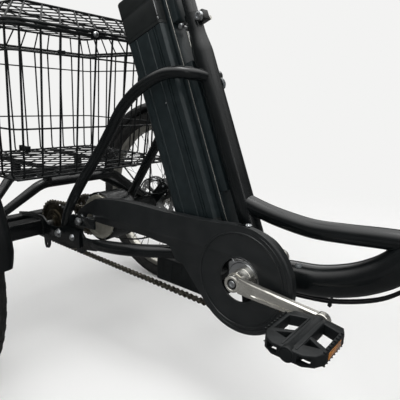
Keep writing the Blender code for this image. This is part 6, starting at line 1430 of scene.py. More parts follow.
def buildWheel(name, centre, body, hubHalf, boreRadius, rotorY, rotorBore):
    label = name.capitalize()
    carcass = shapeMesh("tyre", lathe(tyreProfile, centre, steps=120, ring=True))
    tread = ringMesh("tread", treadPitch(), wheelSize["treadPitches"], centre, tyreRubber)
    finishPiece("tyre" + label, joinMeshes("tyre", carcass, tread), body, tyreRubber, (f"tyre_{name}",), 32)
    finishPiece("rim" + label, [lathe(rimProfile, centre, steps=120, ring=True)], body, rimAluminium,
        (f"rim_{name}",), 30)
    flangeY = hubHalf - 0.01
    side = [(boreRadius, hubHalf), (0.014, hubHalf), (0.015, hubHalf - 0.001), (0.0152, hubHalf - 0.006),
        (0.02, hubHalf - 0.0072), (0.0292, hubHalf - 0.008), (0.0305, hubHalf - 0.0088), (0.0305, hubHalf - 0.0112),
        (0.0292, hubHalf - 0.012), (0.0215, hubHalf - 0.0138), (0.0192, hubHalf - 0.019), (0.0188, 0.002)]
    profile = side + [(r, -y) for r, y in reversed(side)]
    finishPiece("hub" + label, [lathe(profile, centre, steps=56, ring=True)], body, polishedAluminium,
        (f"hub_{name}",), 30)
    finishPiece("spokes" + label, ringMesh("spokes", spokeGroup(flangeY), wheelSize["spokeHalves"], centre,
        chromedSteel), body, chromedSteel, angle=50)
    finishPiece("rotor" + label, [rotorShape(centre, rotorY, rotorBore)], body, discSteel, (f"rotor_{name}",), 30)
    out = 1 if rotorY < centre.y else -1
    turn = -math.copysign(1, out)
    spots = []
    for k in range(6):
        angle = 2 * math.pi * (k + 0.5) / 6
        spots.append((Vector((centre.x + 0.022 * math.cos(angle), rotorY + turn * 0.0011,
            centre.z + 0.022 * math.sin(angle))), (0, turn, 0), 0.0, 1.0))
    head = [lathe([(0, 0.0014), (0.0017, 0.0014), (0.0018, 0.0026), (0.0038, 0.0024), (0.0042, 0.0016), (0.0042, 0),
        (0, 0)], (0, 0, 0), (0, 0, 1), 14)]
    finishPiece("rotorBolts" + label, repeatMesh("rotorBolts", head, spots, zincPlate), body, zincPlate)
    valveAngle = math.radians(205)
    way = Vector((-math.cos(valveAngle), 0, -math.sin(valveAngle)))
    root = centre + Vector((math.cos(valveAngle), 0, math.sin(valveAngle))) * 0.2415
    valve = lathe([(0, -0.002), (0.0038, -0.002), (0.0036, 0.006), (0.003, 0.012), (0.0026, 0.02), (0.0031, 0.0204),
        (0.0031, 0.03), (0.0022, 0.0312), (0, 0.0312)], root, way, 14)
    finishPiece("valve" + label, [valve], body, tyreRubber)


halfTrack = Vector((0, wheelSize["rearHalfTrack"], 0))
leftWheel, rightWheel, rotorPlace = rearHub + halfTrack, rearHub - halfTrack, halfTrack.y - wheelSize["rotorInset"]
buildWheel("left", leftWheel, "rear_axle", 0.034, 0.0094, rotorPlace, 0.0092)
buildWheel("right", rightWheel, "right_wheel", 0.034, 0.0094, -rotorPlace, 0.0092)
buildWheel("front", frontHub, "front_wheel", 0.036, 0.0059, 0.0375, 0.0058)

# Fenders: one rolled moulding each, with round edge beads, stays and their bolts
fenderSize = {"radius": 0.3334, "half": 0.036, "stayReach": 0.3215, "rear": (8, 165), "front": (28, 178)}
halfSection = [(-0.0162, 0.0342), (-0.0166, 0.0352), (-0.0158, 0.036), (-0.0146, 0.0352), (-0.01, 0.0326),
    (-0.0052, 0.0282), (-0.0018, 0.022), (-0.0004, 0.015), (-0.0003, 0.0115), (0.0, 0.0095), (0.0, 0.0)]
outerEdge = [(r, -y) for r, y in halfSection] + [(r, y) for r, y in reversed(halfSection[:-1])]
innerEdge = [(-0.0018 - 0.0001, 0.0), (-0.0019, 0.015), (-0.0033, 0.0212), (-0.0064, 0.0268), (-0.011, 0.0312),
    (-0.015, 0.0332)]
section = outerEdge + [(r, y) for r, y in reversed(innerEdge)] + [(r, -y) for r, y in innerEdge[1:]]


def fenderShell(centre, start, end):
    rings = []
    count = int((end - start) / 2.5)
    for k in range(count + 1):
        angle = math.radians(start + (end - start) * k / count)
        tip = min(1.0, k / 2.5, (count - k) / 2.5)
        narrow = 0.8 + 0.2 * math.sin(math.pi / 2 * tip)
        rings.append([centre + Vector(((fenderSize["radius"] + r) * math.cos(angle), y * narrow,
            (fenderSize["radius"] + r) * math.sin(angle))) for r, y in section])
    return ringShape(rings)


bolthead = lathe([(0, 0.0014), (0.0016, 0.0014), (0.0018, 0.0024), (0.0034, 0.0022), (0.0038, 0.0012), (0.004, 0),
    (0, 0)], (0, 0, 0), (0, 0, 1), 14)
for sideName, side, centre in (("left", 1, leftWheel), ("right", -1, rightWheel)):
    finishPiece("fender" + sideName.capitalize(), [fenderShell(centre, *fenderSize["rear"])], "frame", fenderPlastic,
        (f"fender_{sideName}",), 50)
    footY = side * 0.304
    shapes = [block((-0.0158, footY - 0.0079, 0.3254), (0.0158, footY + 0.0079, 0.331), 0.0014, 2)]
    spots = [((-0.0105, footY, 0.331), (0, 0, 1), 0.0, 0.8), ((0.0105, footY, 0.331), (0, 0, 1), 0.6, 0.8)]
    for angle in (33, 95, 149):
        turn = math.radians(angle)
        way = Vector((math.cos(turn), 0, math.sin(turn)))
        top = Vector((0, 0, 0.305)) + way * fenderSize["stayReach"]
        top.y = side * (halfTrack.y - fenderSize["half"] + 0.003)
        near = Vector((0.045 * way.x, footY + side * 0.002, 0.309 + 0.045 * way.z))
        shapes.append(sweep(bentPath([(0.01 * way.x, footY, 0.3288), near, top - way * 0.016, top - way * 0.004],
            0.012, 3), 0.0029, 10))
        eye = top - Vector((0, side * 0.001, 0))
        flat = lathe([(0, -0.0008), (0.0055, -0.0008), (0.0058, 0), (0.0055, 0.0008), (0, 0.0008)], eye - way * 0.003,
            (0, 1, 0), 20)
        shapes.append(flat)
        spots.append((eye - way * 0.003 - Vector((0, side * 0.0008, 0)), (0, -side, 0), 0.3, 0.75))
    finishPiece("fenderStays" + sideName.capitalize(), shapes, "frame", powderCoat, angle=40)
    finishPiece("fenderBolts" + sideName.capitalize(), repeatMesh("fenderBolts", [bolthead], spots, zincPlate),
        "frame", zincPlate)
finishPiece("fenderFront", [fenderShell(frontHub, *fenderSize["front"])], "steering", fenderPlastic,
    ("fender_front",), 50)
shapes, spots = [], []
for angle in (38, 160):
    turn = math.radians(angle)
    way = Vector((math.cos(turn), 0, math.sin(turn)))
    for side in (-1, 1):
        far = frontHub + way * fenderSize["stayReach"] + Vector((0, side * 0.0352, 0))
        near = frontHub + way * 0.025 + Vector((0, side * 0.0535, 0))
        middle = far.lerp(near, 0.22)
        middle.y = side * 0.05
        shapes.append(sweep(smoothPath([near, near.lerp(middle, 0.6), middle, far.lerp(middle, 0.3),
            far - way * 0.004], 4), 0.0026, 10))
        shapes.append(lathe([(0, -0.0022), (0.0064, -0.0022), (0.0068, 0), (0.0064, 0.0022), (0, 0.0022)], near,
            (0, 1, 0), 20))
        spots.append((far + Vector((0, side * 0.0014, 0)) - way * 0.003, (0, side, 0), 0.3, 0.75))
hanger = frontHub + Vector((math.cos(math.radians(112)), 0, math.sin(math.radians(112)))) * 0.3385
shapes.append(sweep([hanger - headUp * 0.009, hanger + headUp * 0.0083], 0.0078, 24))
finishPiece("fenderStaysFront", shapes, "steering", powderCoat, angle=40)
finishPiece("fenderBoltsFront", repeatMesh("fenderBolts", [bolthead], spots, zincPlate), "steering", zincPlate)
print("wheels and fenders finished")


# Fork with crown, blades, dropouts and steerer, headset cups and the front axle

clampPlace, lampPlace = alongHead(0.735, 0.055), alongHead(0.405, 0.078)
column = [(0, 0.3622), (0.0165, 0.3622), (0.0174, 0.3632), (0.0176, 0.366), (0.0226, 0.3745), (0.0236, 0.377),
    (0.0239, 0.38), (0.0239, 0.385), (0.0226, 0.3862), (0.0226, 0.3872), (0.0238, 0.3882), (0.0239, 0.3908),
    (0.0232, 0.3914), (0.0127, 0.3914), (0.0127, 0.5486), (0.0208, 0.5486), (0.0215, 0.5494), (0.0215, 0.559),
    (0.0206, 0.56), (0.017, 0.5618), (0.0165, 0.5628), (0.0165, 0.5712), (0.0158, 0.572), (0.0119, 0.572),
    (0.0119, 0.491), (0, 0.491)]
shapes = [lathe(column, headFoot, headUp, 48)]
crown = [alongHead(0.374, 0, y) for y in (-0.06, -0.059, -0.057, -0.03, 0, 0.03, 0.057, 0.059, 0.06)]
shapes.append(sweep(crown, [0.013, 0.0148, 0.0155, 0.0157, 0.016, 0.0157, 0.0155, 0.0148, 0.013], 32))
for side in (-1, 1):
    blade = smoothPath([alongHead(0.382, 0, side * 0.057), alongHead(0.3, 0, side * 0.059),
        alongHead(0.16, 0.002, side * 0.059), alongHead(0.08, 0.014, side * 0.056),
        alongHead(0.024, 0.034, side * 0.0505)], 6)
    widths = smoothValues([0.014, 0.014, 0.0125, 0.01, 0.0065], 6)
    shapes.append(sweep([blade[0] + headUp * 0.004, blade[0] + headUp * 0.0025] + blade, [0.0105, 0.013] + widths,
        28))
    tip = alongHead(0.06, 0.022)
    way = (tip - frontHub).normalized()
    across = Vector((-way.z, 0, way.x))
    outline = []
    for centre, radius, start in ((frontHub, 0.013, 90), (tip, 0.008, -90)):
        for k in range(9):
            angle = math.radians(start + 180 * k / 8)
            p = centre + (way * math.cos(angle) + across * math.sin(angle)) * radius
            outline.append((p.x, p.z))
    shapes.append(slab([outline], 0.0048, sideways(side * 0.0475), 0.0006))
shapes.append(sweep(smoothPath([alongHead(0.374, 0.01), alongHead(0.376, 0.05),
    Vector((lampPlace.x, 0, lampPlace.z - 0.0345))], 6), 0.0048, 14))
finishPiece("fork", shapes, "steering", powderCoat, ("fork",), 34)
axle = [(0, 0.06), (0.0042, 0.06), (0.0049, 0.0592), (0.0049, 0.049)]
nutShapes = [lathe([(r, y) for r, y in axle] + [(r, -y) for r, y in reversed(axle)], frontHub, steps=24)]
for side in (-1, 1):
    nutShapes.append(lathe([(0.0045, 0.0492), (0.011, 0.0492), (0.0112, 0.05), (0.0108, 0.0504), (0.0045, 0.0504)],
        frontHub, steps=28, ring=True, side=side))
    nutShapes.append(lathe([(0.0045, 0.0503), (0.0082, 0.0503), (0.009, 0.051), (0.009, 0.0552), (0.0082, 0.056),
        (0.0045, 0.056)], frontHub, steps=6, ring=True, side=side))
finishPiece("frontAxle", nutShapes, "steering", zincPlate, angle=30)

# Headlight: black shell, chromed bezel ring and fluted lens
shell = [(0, -0.0358), (0.007, -0.0354), (0.0125, -0.0334), (0.0195, -0.028), (0.0245, -0.0215), (0.028, -0.012),
    (0.0308, 0.0), (0.0326, 0.009), (0.033, 0.016), (0.033, 0.02), (0.03, 0.02), (0.029, 0.017), (0, 0.017)]
finishPiece("headlight", [lathe(shell, lampPlace, (1, 0, 0), 48)], "steering", mouldedBlack, ("headlight",), 34)
bezel = [(0.03, 0.015), (0.0334, 0.015), (0.034, 0.016), (0.034, 0.0212), (0.0332, 0.022), (0.0306, 0.022),
    (0.03, 0.0212)]
finishPiece("lampBezel", [lathe(bezel, lampPlace, (1, 0, 0), 48, True)], "steering", chromedSteel, angle=34)
glass = [(0, 0.0168), (0.0302, 0.0168), (0.0302, 0.0195), (0.024, 0.0206), (0.012, 0.0212), (0, 0.0214)]
finishPiece("lampLens", [lathe(glass, lampPlace, (1, 0, 0), 48)], "steering", lampLens, angle=34)

# Stem and handlebar
shapes = [lathe([(0, 0.5005), (0.011, 0.5005), (0.011, 0.688), (0.0124, 0.693), (0.0146, 0.6985), (0.015, 0.7),
    (0.015, 0.719), (0.014, 0.721), (0.0085, 0.722), (0.007, 0.7205), (0, 0.7205)], headFoot, headUp, 40)]
reach = smoothPath([alongHead(0.706, 0.0), alongHead(0.714, 0.016), alongHead(0.726, 0.036),
    clampPlace - headFront * 0.01], 5)
shapes.append(sweep(reach, smoothValues([0.013, 0.0128, 0.0124, 0.0122], 5), 24))
bore = 0.0114
jaw = [(bore, -0.0195), (0.0168, -0.0195), (0.0178, -0.0186), (0.0178, 0.0186), (0.0168, 0.0195), (bore, 0.0195)]
shapes.append(lathe(jaw, clampPlace, steps=48, ring=True))
for side in (-1, 1):
    for up in (-1, 1):
        corner = clampPlace + headFront * 0.01 + headUp * up * 0.0125 + Vector((0, side * 0.0135, 0))
        shapes.append(lathe([(0, -0.006), (0.0046, -0.0056), (0.0048, 0.0044), (0.0042, 0.0052), (0, 0.0052)], corner,
            headFront, 16))
finishPiece("stem", shapes, "steering", powderCoat, ("stem",), 34)
spots = [(clampPlace + headFront * 0.015 + headUp * up * 0.0125 + Vector((0, side * 0.0135, 0)), headFront, 0.0, 0.62)
    for side in (-1, 1) for up in (-1, 1)]
finishPiece("stemBolts", repeatMesh("stemBolts", [bolthead], spots, zincPlate), "steering", zincPlate)

straightStart, straightEnd = Vector((0.898, 0.279, 1.05)), Vector((0.744, 0.35, 1.036))
gripWay = (straightEnd - straightStart).normalized()
gripOut = -Vector((-gripWay.y, gripWay.x, 0)).normalized()
gripUp = -gripWay.cross(gripOut)
barLength = (straightEnd - straightStart).length


def onBar(side, along, out=0.0, up=0.0):
    place = straightStart + gripWay * along + gripOut * out + gripUp * up
    return Vector((place.x, side * place.y, place.z))


def barWay(side):
    return Vector((gripWay.x, side * gripWay.y, gripWay.z))


half = [clampPlace, clampPlace + Vector((0, 0.03, 0)), clampPlace + Vector((-0.004, 0.062, 0.006)),
    Vector((0.983, 0.11, 1.015)), Vector((0.968, 0.165, 1.041)), Vector((0.94, 0.228, 1.051)), straightStart]
leftPath = smoothPath(half, 6)
leftPath = leftPath + [straightStart.lerp(straightEnd, k / 4) for k in range(1, 5)]
barPath = [Vector((p.x, -p.y, p.z)) for p in reversed(leftPath[1:])] + leftPath
shapes = [sweep(barPath, 0.011, 28)]
for side in (1, -1):
    way = barWay(side)
    shapes.append(lathe([(0.0108, 0.0122), (0.0152, 0.0122), (0.0159, 0.013), (0.016, 0.029), (0.0152, 0.0298),
        (0.0108, 0.0298)], onBar(side, 0), way, 40, True))
finishPiece("handlebar", shapes, "steering", powderCoat, ("handlebar",), 34)
shapes, spots = [], []
for side in (1, -1):
    for up in (-1, 1):
        shapes.append(sweep([onBar(side, 0.021, 0.009, up * 0.005), onBar(side, 0.021, 0.02, up * 0.0052),
            onBar(side, 0.021, 0.0335, up * 0.005)], [(0.0062, 0.0016), (0.0062, 0.0016), (0.0055, 0.0016)], 16,
            upward=barWay(side)))
    shapes.append(sweep([onBar(side, 0.026, 0.0175), onBar(side, 0.01, 0.0192), onBar(side, 0.0, 0.0203)], 0.0052,
        18))
    shapes.append(sweep([onBar(side, 0.0, 0.0203), onBar(side, -0.004, 0.0207), onBar(side, -0.005, 0.0208),
        onBar(side, -0.01, 0.0212)], [0.0045, 0.0045, 0.0036, 0.0036], 12))
    spots.append((onBar(side, 0.021, 0.0335, 0.0064), gripUp if side > 0 else Vector((gripUp.x, -gripUp.y, gripUp.z)),
        0.0, 0.9))
finishPiece("leverPerches", shapes, "steering", mouldedBlack, angle=34)
finishPiece("perchBolts", repeatMesh("perchBolts", [bolthead], spots, zincPlate), "steering", zincPlate)

# Grips with raised rings, the twist throttle with lengthwise ribs, and the levers
gripEnd = barLength + 0.0003


def gripShape(side, start):
    profile = [(0, gripEnd + 0.0008), (0.01145, gripEnd + 0.0002), (0.01145, start), (0.018, start),
        (0.0184, start + 0.0014), (0.018, start + 0.003), (0.0158, start + 0.004)]
    rings = int((gripEnd - 0.01 - start - 0.008) / 0.0052)
    for k in range(rings):
        low = start + 0.006 + 0.0052 * k
        profile += [(0.0156, low), (0.0163, low + 0.001), (0.0165, low + 0.002), (0.0163, low + 0.003),
            (0.0156, low + 0.004)]
    profile += [(0.0158, gripEnd - 0.004), (0.018, gripEnd - 0.003), (0.0184, gripEnd - 0.0002),
        (0.0176, gripEnd + 0.002), (0.013, gripEnd + 0.0044), (0, gripEnd + 0.005)]
    return lathe(profile, onBar(side, 0), barWay(side), 40)


finishPiece("gripLeft", [gripShape(1, 0.05)], "steering", gripRubber, ("grip_left",), 40)
finishPiece("gripRight", [gripShape(-1, 0.072)], "steering", gripRubber, ("grip_right",), 40)
barrel = lathe([(0.01145, 0.0336), (0.0172, 0.0336), (0.0184, 0.0344), (0.0185, 0.036), (0.018, 0.0388),
    (0.0158, 0.0402), (0.0156, 0.07), (0.015, 0.0713), (0.01145, 0.0713)], onBar(-1, 0), barWay(-1), 40, True)
ribs = []
first = barWay(-1).orthogonal().normalized()
second = barWay(-1).cross(first)
for k in range(20):
    angle = 2 * math.pi * k / 20
    outward = first * math.cos(angle) + second * math.sin(angle)
    ribs.append(sweep([onBar(-1, a) + outward * r for a, r in ((0.0396, 0.0152), (0.041, 0.0156), (0.069, 0.0156),
        (0.0702, 0.015))], 0.0011, 6))
finishPiece("throttle", [barrel, *ribs], "throttle", gripRubber, ("throttle",), 40)
for side, sideName in ((1, "left"), (-1, "right")):
    blade = smoothPath([onBar(side, 0.0215, 0.0335), onBar(side, 0.036, 0.0415), onBar(side, 0.06, 0.046),
        onBar(side, 0.1, 0.0475), onBar(side, 0.14, 0.05), onBar(side, 0.152, 0.053)], 6)
    widths = smoothValues([0.0028, 0.003, 0.0044, 0.0044, 0.0042, 0.0054], 6)
    last = blade[-1] + (blade[-1] - blade[-2]).normalized() * 0.003
    flat = [(w * 0.74, w) for w in widths]
    shapes = [sweep([*blade, last], flat + [(flat[-1][0] * 0.6, flat[-1][1] * 0.6)], 20,
        upward=gripUp.cross(barWay(side))), lathe([(0, -0.0026), (0.0054, -0.0026), (0.0059, -0.002), (0.0059, 0.002),
        (0.0054, 0.0026), (0, 0.0026)], onBar(side, 0.021, 0.0335),
        gripUp if side > 0 else Vector((gripUp.x, -gripUp.y, gripUp.z)), 24)]
    finishPiece("brakeLever" + sideName.capitalize(), shapes, f"brake_lever_{sideName}", polishedAluminium,
        (f"brake_lever_{sideName}",), 34)

# Display: rounded case with a dark window and three keys
middle = clampPlace + Vector((0, 0, 0.0305))
case = block((-0.0258, -0.0378, -0.0079), (0.0258, 0.0378, 0.0079), 0.004, 4, Matrix.Translation(middle))
foot = block((-0.01, -0.0138, -0.012), (0.01, 0.0138, -0.005), 0.0016, 2, Matrix.Translation(middle))
finishPiece("display", [case, foot], "steering", mouldedBlack, ("display",), 34)
window = block((-0.017, -0.031, 0.0072), (0.02, 0.018, 0.0083), 0.0008, 2, Matrix.Translation(middle))
finishPiece("displayWindow", [window], "steering", displayGlass, angle=34)
keys = [block((-0.005, -0.004, 0.0068), (0.005, 0.004, 0.009), 0.0012, 3,
    Matrix.Translation(middle + Vector((-0.013 + 0.013 * k, 0.0275, 0)))) for k in range(3)]
finishPiece("displayKeys", keys, "steering", gripRubber, angle=34)
print("fork, bar and controls finished")


# Saddle: steel underframe on two coil springs, and a padded vinyl shell over it

saddleSize = {"x": 0.36837, "z": 0.94732, "bottom": 0.99715, "rail": 0.0039, "wire": 0.0024, "coil": 0.015,
    "turns": 4, "stitchStep": 0.0065, "stitchInset": 0.0042}
sx, sz = saddleSize["x"], saddleSize["z"]
shapes = [lathe([(0, 0.0008), (0.0112, 0.0008), (0.0118, -0.0198), (0.0158, -0.0198), (0.0165, -0.019),
    (0.0165, 0.0092), (0.0155, 0.01), (0, 0.01)], alongSeat(0.66), seatUp, 40),
    sweep([(sx, -0.028, sz), (sx, -0.0272, sz), (sx, 0.0272, sz), (sx, 0.028, sz)], [0.009, 0.0099, 0.0099, 0.009],
    28)]
for side in (-1, 1):
    shapes.append(lathe([(0, 0.0275), (0.0062, 0.0275), (0.0062, 0.0325), (0.005, 0.0332), (0, 0.0332)], (sx, 0, sz),
        (0, side, 0), 6))
springShapes = []
for side in (-1, 1):
    rail = smoothPath([(sx + 0.118, side * 0.012, sz + 0.03), (sx + 0.09, side * 0.016, sz + 0.01),
        (sx + 0.05, side * 0.022, sz), (sx - 0.035, side * 0.022, sz), (sx - 0.07, side * 0.04, sz - 0.01),
        (sx - 0.092, side * 0.066, sz - 0.014)], 6)
    springShapes.append(sweep(rail, saddleSize["rail"], 14))
    centre = Vector((sx - 0.098, side * 0.078, 0))
    coil = [Vector((centre.x, side * 0.06, sz - 0.0145))]
    steps = saddleSize["turns"] * 24
    for k in range(steps + 1):
        angle = 2 * math.pi * saddleSize["turns"] * k / steps - side * math.pi / 2
        coil.append(Vector((centre.x + saddleSize["coil"] * math.cos(angle),
            centre.y + saddleSize["coil"] * math.sin(angle), sz - 0.0145 + 0.05 * k / steps)))
    coil = coil[1:] + smoothPath([coil[-1] + Vector((0, side * 0.003, 0.001)),
        Vector((centre.x, centre.y + side * -0.004, sz + 0.0395)), Vector((centre.x, centre.y, sz + 0.046))], 4)[1:]
    springShapes.append(sweep(coil, saddleSize["wire"], 10))
    for height in (-0.0175, 0.038):
        springShapes.append(lathe([(0.004, height - 0.0012), (0.0178, height - 0.0012), (0.0182, height),
            (0.0178, height + 0.0012), (0.004, height + 0.0012)], (centre.x, centre.y, sz), (0, 0, 1), 32, True))
    springShapes.append(sweep([(centre.x, centre.y, sz - 0.021), (centre.x, centre.y, sz - 0.01)], 0.005, 6))
springShapes.append(sweep([(sx + 0.117, -0.0148, sz + 0.03), (sx + 0.117, 0.0148, sz + 0.03)], 0.0058, 20))
springShapes.append(sweep([(sx + 0.117, 0, sz + 0.03), (sx + 0.117, 0, sz + 0.0405)], 0.0045, 16))
finishPiece("saddleClamp", shapes, "seat", powderCoat, angle=34)
finishPiece("saddleSprings", springShapes, "seat", chromedSteel, ("saddle_springs",), 40)
panRows = [(0.13, 0.041, 0.02), (0.1, 0.041, 0.027), (0.05, 0.041, 0.036), (0.01, 0.042, 0.058),
    (-0.03, 0.043, 0.085), (-0.075, 0.0445, 0.095), (-0.11, 0.0458, 0.098), (-0.118, 0.046, 0.09)]
rings = []
for x, z, wide in panRows:
    rings.append([Vector((sx + x, y, sz + z + lift)) for y,
        lift in ((-wide, -0.0022), (-wide * 0.96, -0.0028), (wide * 0.96, -0.0028), (wide, -0.0022), (wide, 0.0022),
        (wide * 0.96, 0.0028), (-wide * 0.96, 0.0028), (-wide, 0.0022))])
finishPiece("saddlePan", [ringShape(rings)], "seat", mouldedBlack, angle=34)

rowsOf = [(-0.1362, 0.04, 0.02), (-0.1345, 0.066, 0.032), (-0.126, 0.097, 0.042), (-0.112, 0.111, 0.0505),
    (-0.095, 0.1163, 0.0555), (-0.072, 0.1155, 0.0568), (-0.05, 0.111, 0.056), (-0.03, 0.1, 0.0537),
    (-0.01, 0.085, 0.0508), (0.012, 0.068, 0.0485), (0.035, 0.0535, 0.0468), (0.06, 0.043, 0.0452),
    (0.085, 0.035, 0.0438), (0.105, 0.0305, 0.042), (0.122, 0.0268, 0.0395), (0.133, 0.0215, 0.0345),
    (0.139, 0.0145, 0.027), (0.1398, 0.009, 0.02)]


def saddleRing(x, wide, top):
    ring = []
    count = 22
    for k in range(count + 1):
        share = 2 * k / count - 1
        y = wide * math.copysign(abs(share) ** 0.85, share)
        edge = max(0.0, 1 - abs(share) ** 3.2) ** 0.5
        dip = 0.006 * math.exp(-(y / 0.016) ** 2)
        ring.append(Vector((sx + x, y, saddleSize["bottom"] + 0.008 + (top - 0.008) * edge - dip * edge)))
    ring.append(Vector((sx + x, wide * 0.985, saddleSize["bottom"] + 0.0035)))
    for share in (0.93, 0.55, 0, -0.55, -0.93):
        ring.append(Vector((sx + x, wide * share, saddleSize["bottom"] + 0.0002)))
    ring.append(Vector((sx + x, -wide * 0.985, saddleSize["bottom"] + 0.0035)))
    return ring


saddleMesh = shapeMesh("saddle", ringShape([saddleRing(*row) for row in rowsOf]))
saddleMesh = withModifiers(saddleMesh, ("SUBSURF", {"levels": 2, "render_levels": 2}))
# Sewn side panels and a centre channel sink into the foam, and soft dents break the evenness
chance = random.Random(11)
dents = [(Vector((sx + chance.uniform(-0.12, 0.1), chance.uniform(-0.08, 0.08), 0)), chance.uniform(0.02, 0.035),
    chance.uniform(-0.0006, 0.0005)) for _ in range(14)]


def widthAt(x):
    for (x0, w0, _), (x1, w1, _) in zip(rowsOf, rowsOf[1:]):
        if x0 <= x <= x1:
            return w0 + (w1 - w0) * (x - x0) / (x1 - x0)
    return 0.04


for vert in saddleMesh.vertices:
    x, y, z = vert.co.x - sx, vert.co.y, vert.co.z - saddleSize["bottom"]
    if z < 0.012:
        continue
    wide = widthAt(x)
    seam = abs(abs(y) - wide * 0.72)
    sink = 0.0016 * math.exp(-(seam / 0.0022) ** 2) * min(1, max(0, (wide - 0.02) / 0.03))
    for place, reach, deep in dents:
        far = math.hypot(x + sx - place.x, y - place.y)
        sink += deep * math.exp(-(far / reach) ** 2) if far < 3 * reach else 0
    vert.co.z -= max(-0.0004, sink)
saddleObject = finishPiece("saddleCover", saddleMesh, "seat", saddleVinyl, ("saddle",), 60)
# Stitches run along both seams; each lies on the cover's own surface
surface = BVHTree.FromPolygons([v.co for v in saddleObject.data.vertices],
    [tuple(p.vertices) for p in saddleObject.data.polygons])
spots = []
steps = int(0.205 / saddleSize["stitchStep"])
for side in (-1, 1):
    for k in range(steps):
        x = -0.118 + 0.205 * k / steps
        wide, ahead = widthAt(x), widthAt(x + 0.002)
        y = side * (wide * 0.72 - saddleSize["stitchInset"])
        hit = surface.ray_cast(Vector((sx + x + rearAxleX, y, 1.2)), Vector((0, 0, -1)))
        if hit[0] is None or wide < 0.026:
            continue
        along = Vector((0.002, side * (ahead - wide) * 0.72, 0))
        along = (along - hit[1] * along.dot(hit[1])).normalized()
        spots.append((hit[0] - Vector((rearAxleX, 0, 0)) - hit[1] * 0.0001, along, 0.0, 1.0))
stitch = sweep([(0, 0, -0.002), (0, 0, -0.0015), (0, 0, 0.0015), (0, 0, 0.002)], [0.00025, 0.0005, 0.0005, 0.00025],
    6)
finishPiece("saddleStitches", repeatMesh("saddleStitches", [stitch], spots, gripRubber), "seat", gripRubber)
rivets = [(Vector((sx + x, side * y, saddleSize["bottom"] - 0.0046)), (0, 0, -1), 0.0, 0.6) for x,
    y in ((-0.1, 0.088), (-0.03, 0.078), (0.045, 0.03), (0.108, 0.018)) for side in (-1, 1)]
finishPiece("saddleRivets", repeatMesh("saddleRivets", [bolthead], rivets, zincPlate), "seat", zincPlate)
print("saddle finished")


# Disc calipers: cast halves over the rotor, arm, cable stop, brackets and bolts

def outlineAround(first, firstRadius, second, secondRadius, steps=10):
    way = (second - first).normalized()
    across = Vector((-way.z, 0, way.x))
    points = []
    for centre, radius, start in ((first, firstRadius, 90), (second, secondRadius, -90)):
        for k in range(steps + 1):
            angle = math.radians(start + 180 * k / steps)
            p = centre + (way * math.cos(angle) + across * math.sin(angle)) * radius
            points.append((p.x, p.z))
    return points


def buildCaliper(label, node, body, hub, rotorY, low, high, bracketY, bracketThick, angle, bore):
    turn = math.radians(angle)
    way = Vector((math.cos(turn), 0, math.sin(turn)))
    across = Vector((-way.z, 0, way.x))
    flat = Vector((hub.x, 0, hub.z))
    place = Matrix.Translation(flat + way * 0.072) @ Matrix.Rotation(-turn, 4, "Y")
    out = 1 if bracketY > rotorY else -1
    outer = high if out > 0 else low
    lowGap, highGap = rotorY - 0.0022, rotorY + 0.0022
    shapes = [block((-0.0148, low + 0.0003, -0.0238), (0.0168, lowGap, 0.0238), 0.0026, 3, place),
        block((-0.0148, highGap, -0.0238), (0.0168, high - 0.0003, 0.0238), 0.0026, 3, place),
        block((0.013, low + 0.001, -0.02), (0.0166, high - 0.001, 0.02), 0.0012, 2, place)]
    far = flat + way * 0.07
    bracket = slab([outlineAround(flat, bore + 0.0062, far, 0.0196), circlePoints(flat.x, flat.z, bore + 0.0002, 36)],
        bracketThick - 0.0002, sideways(bracketY), 0.0005, 1)
    face = out * max(out * low, out * high, out * bracketY + bracketThick / 2)
    pin = Vector((far.x, face, far.z)) + way * 0.006
    armEnd = pin + across * 0.03
    lift = Vector((0, out * 0.0022, 0))
    shapes.append(lathe([(0, -0.004), (0.0078, -0.004), (0.0078, 0.003), (0.007, 0.0038), (0, 0.0042)], pin,
        (0, out, 0), 32))
    arm = smoothPath([pin + lift, pin.lerp(armEnd, 0.35) + lift, pin.lerp(armEnd, 0.75) + lift, armEnd + lift], 4)
    shapes.append(sweep(arm, [(0.0058 - 0.0024 * k / (len(arm) - 1), 0.0014) for k in range(len(arm))], 16,
        upward=way))
    finishPiece("caliper" + label, shapes, body, mouldedBlack, (node,), 30)
    finishPiece("caliperBracket" + label, [bracket], body, powderCoat, angle=30)
    pads = [block((-0.013, side * 0.0018 + rotorY - 0.0005, -0.015), (0.008, side * 0.0018 + rotorY + 0.0005, 0.015),
        0.0003, 1, place) for side in (-1, 1)]
    spots = [(armEnd + lift * 1.6, (0, out, 0), 0.0, 0.7), (pin + Vector((0, out * 0.0036, 0)), (0, out, 0), 0.2,
        0.95)]
    for up in (-0.0185, 0.0185):
        spots.append((place @ Vector((0.004, outer, up)), (0, out, 0), 0.5, 0.85))
    finishPiece("caliperBolts" + label, joinMeshes("caliperBolts", repeatMesh("bolts", [bolthead], spots, zincPlate),
        shapeMesh("pads", *pads)), body, zincPlate)
    return armEnd + lift


rearEnds = {}
for side, sideName in ((1, "left"), (-1, "right")):
    low, high = sorted((side * 0.3205, side * 0.3492))
    rearEnds[side] = buildCaliper(sideName.capitalize(), f"caliper_{sideName}", "frame", rearHub, side * 0.3398, low,
        high, side * 0.319, 0.0048, 47, 0.0125)
frontEnd = buildCaliper("Front", "caliper_front", "steering", frontHub, 0.0375, 0.0295, 0.0465, 0.04165, 0.0036, 172,
    0.0058)

# Brake cables in their sheaths, with ferrules and the splitter
cableSize = {"radius": 0.00245, "ferrule": 0.0033}


def ferrule(a, b):
    way = (Vector(b) - Vector(a)).normalized()
    return sweep([a, Vector(a) + way * 0.0008, Vector(b) - way * 0.0008, b],
        [0.0026, cableSize["ferrule"], cableSize["ferrule"], 0.0026], 14)


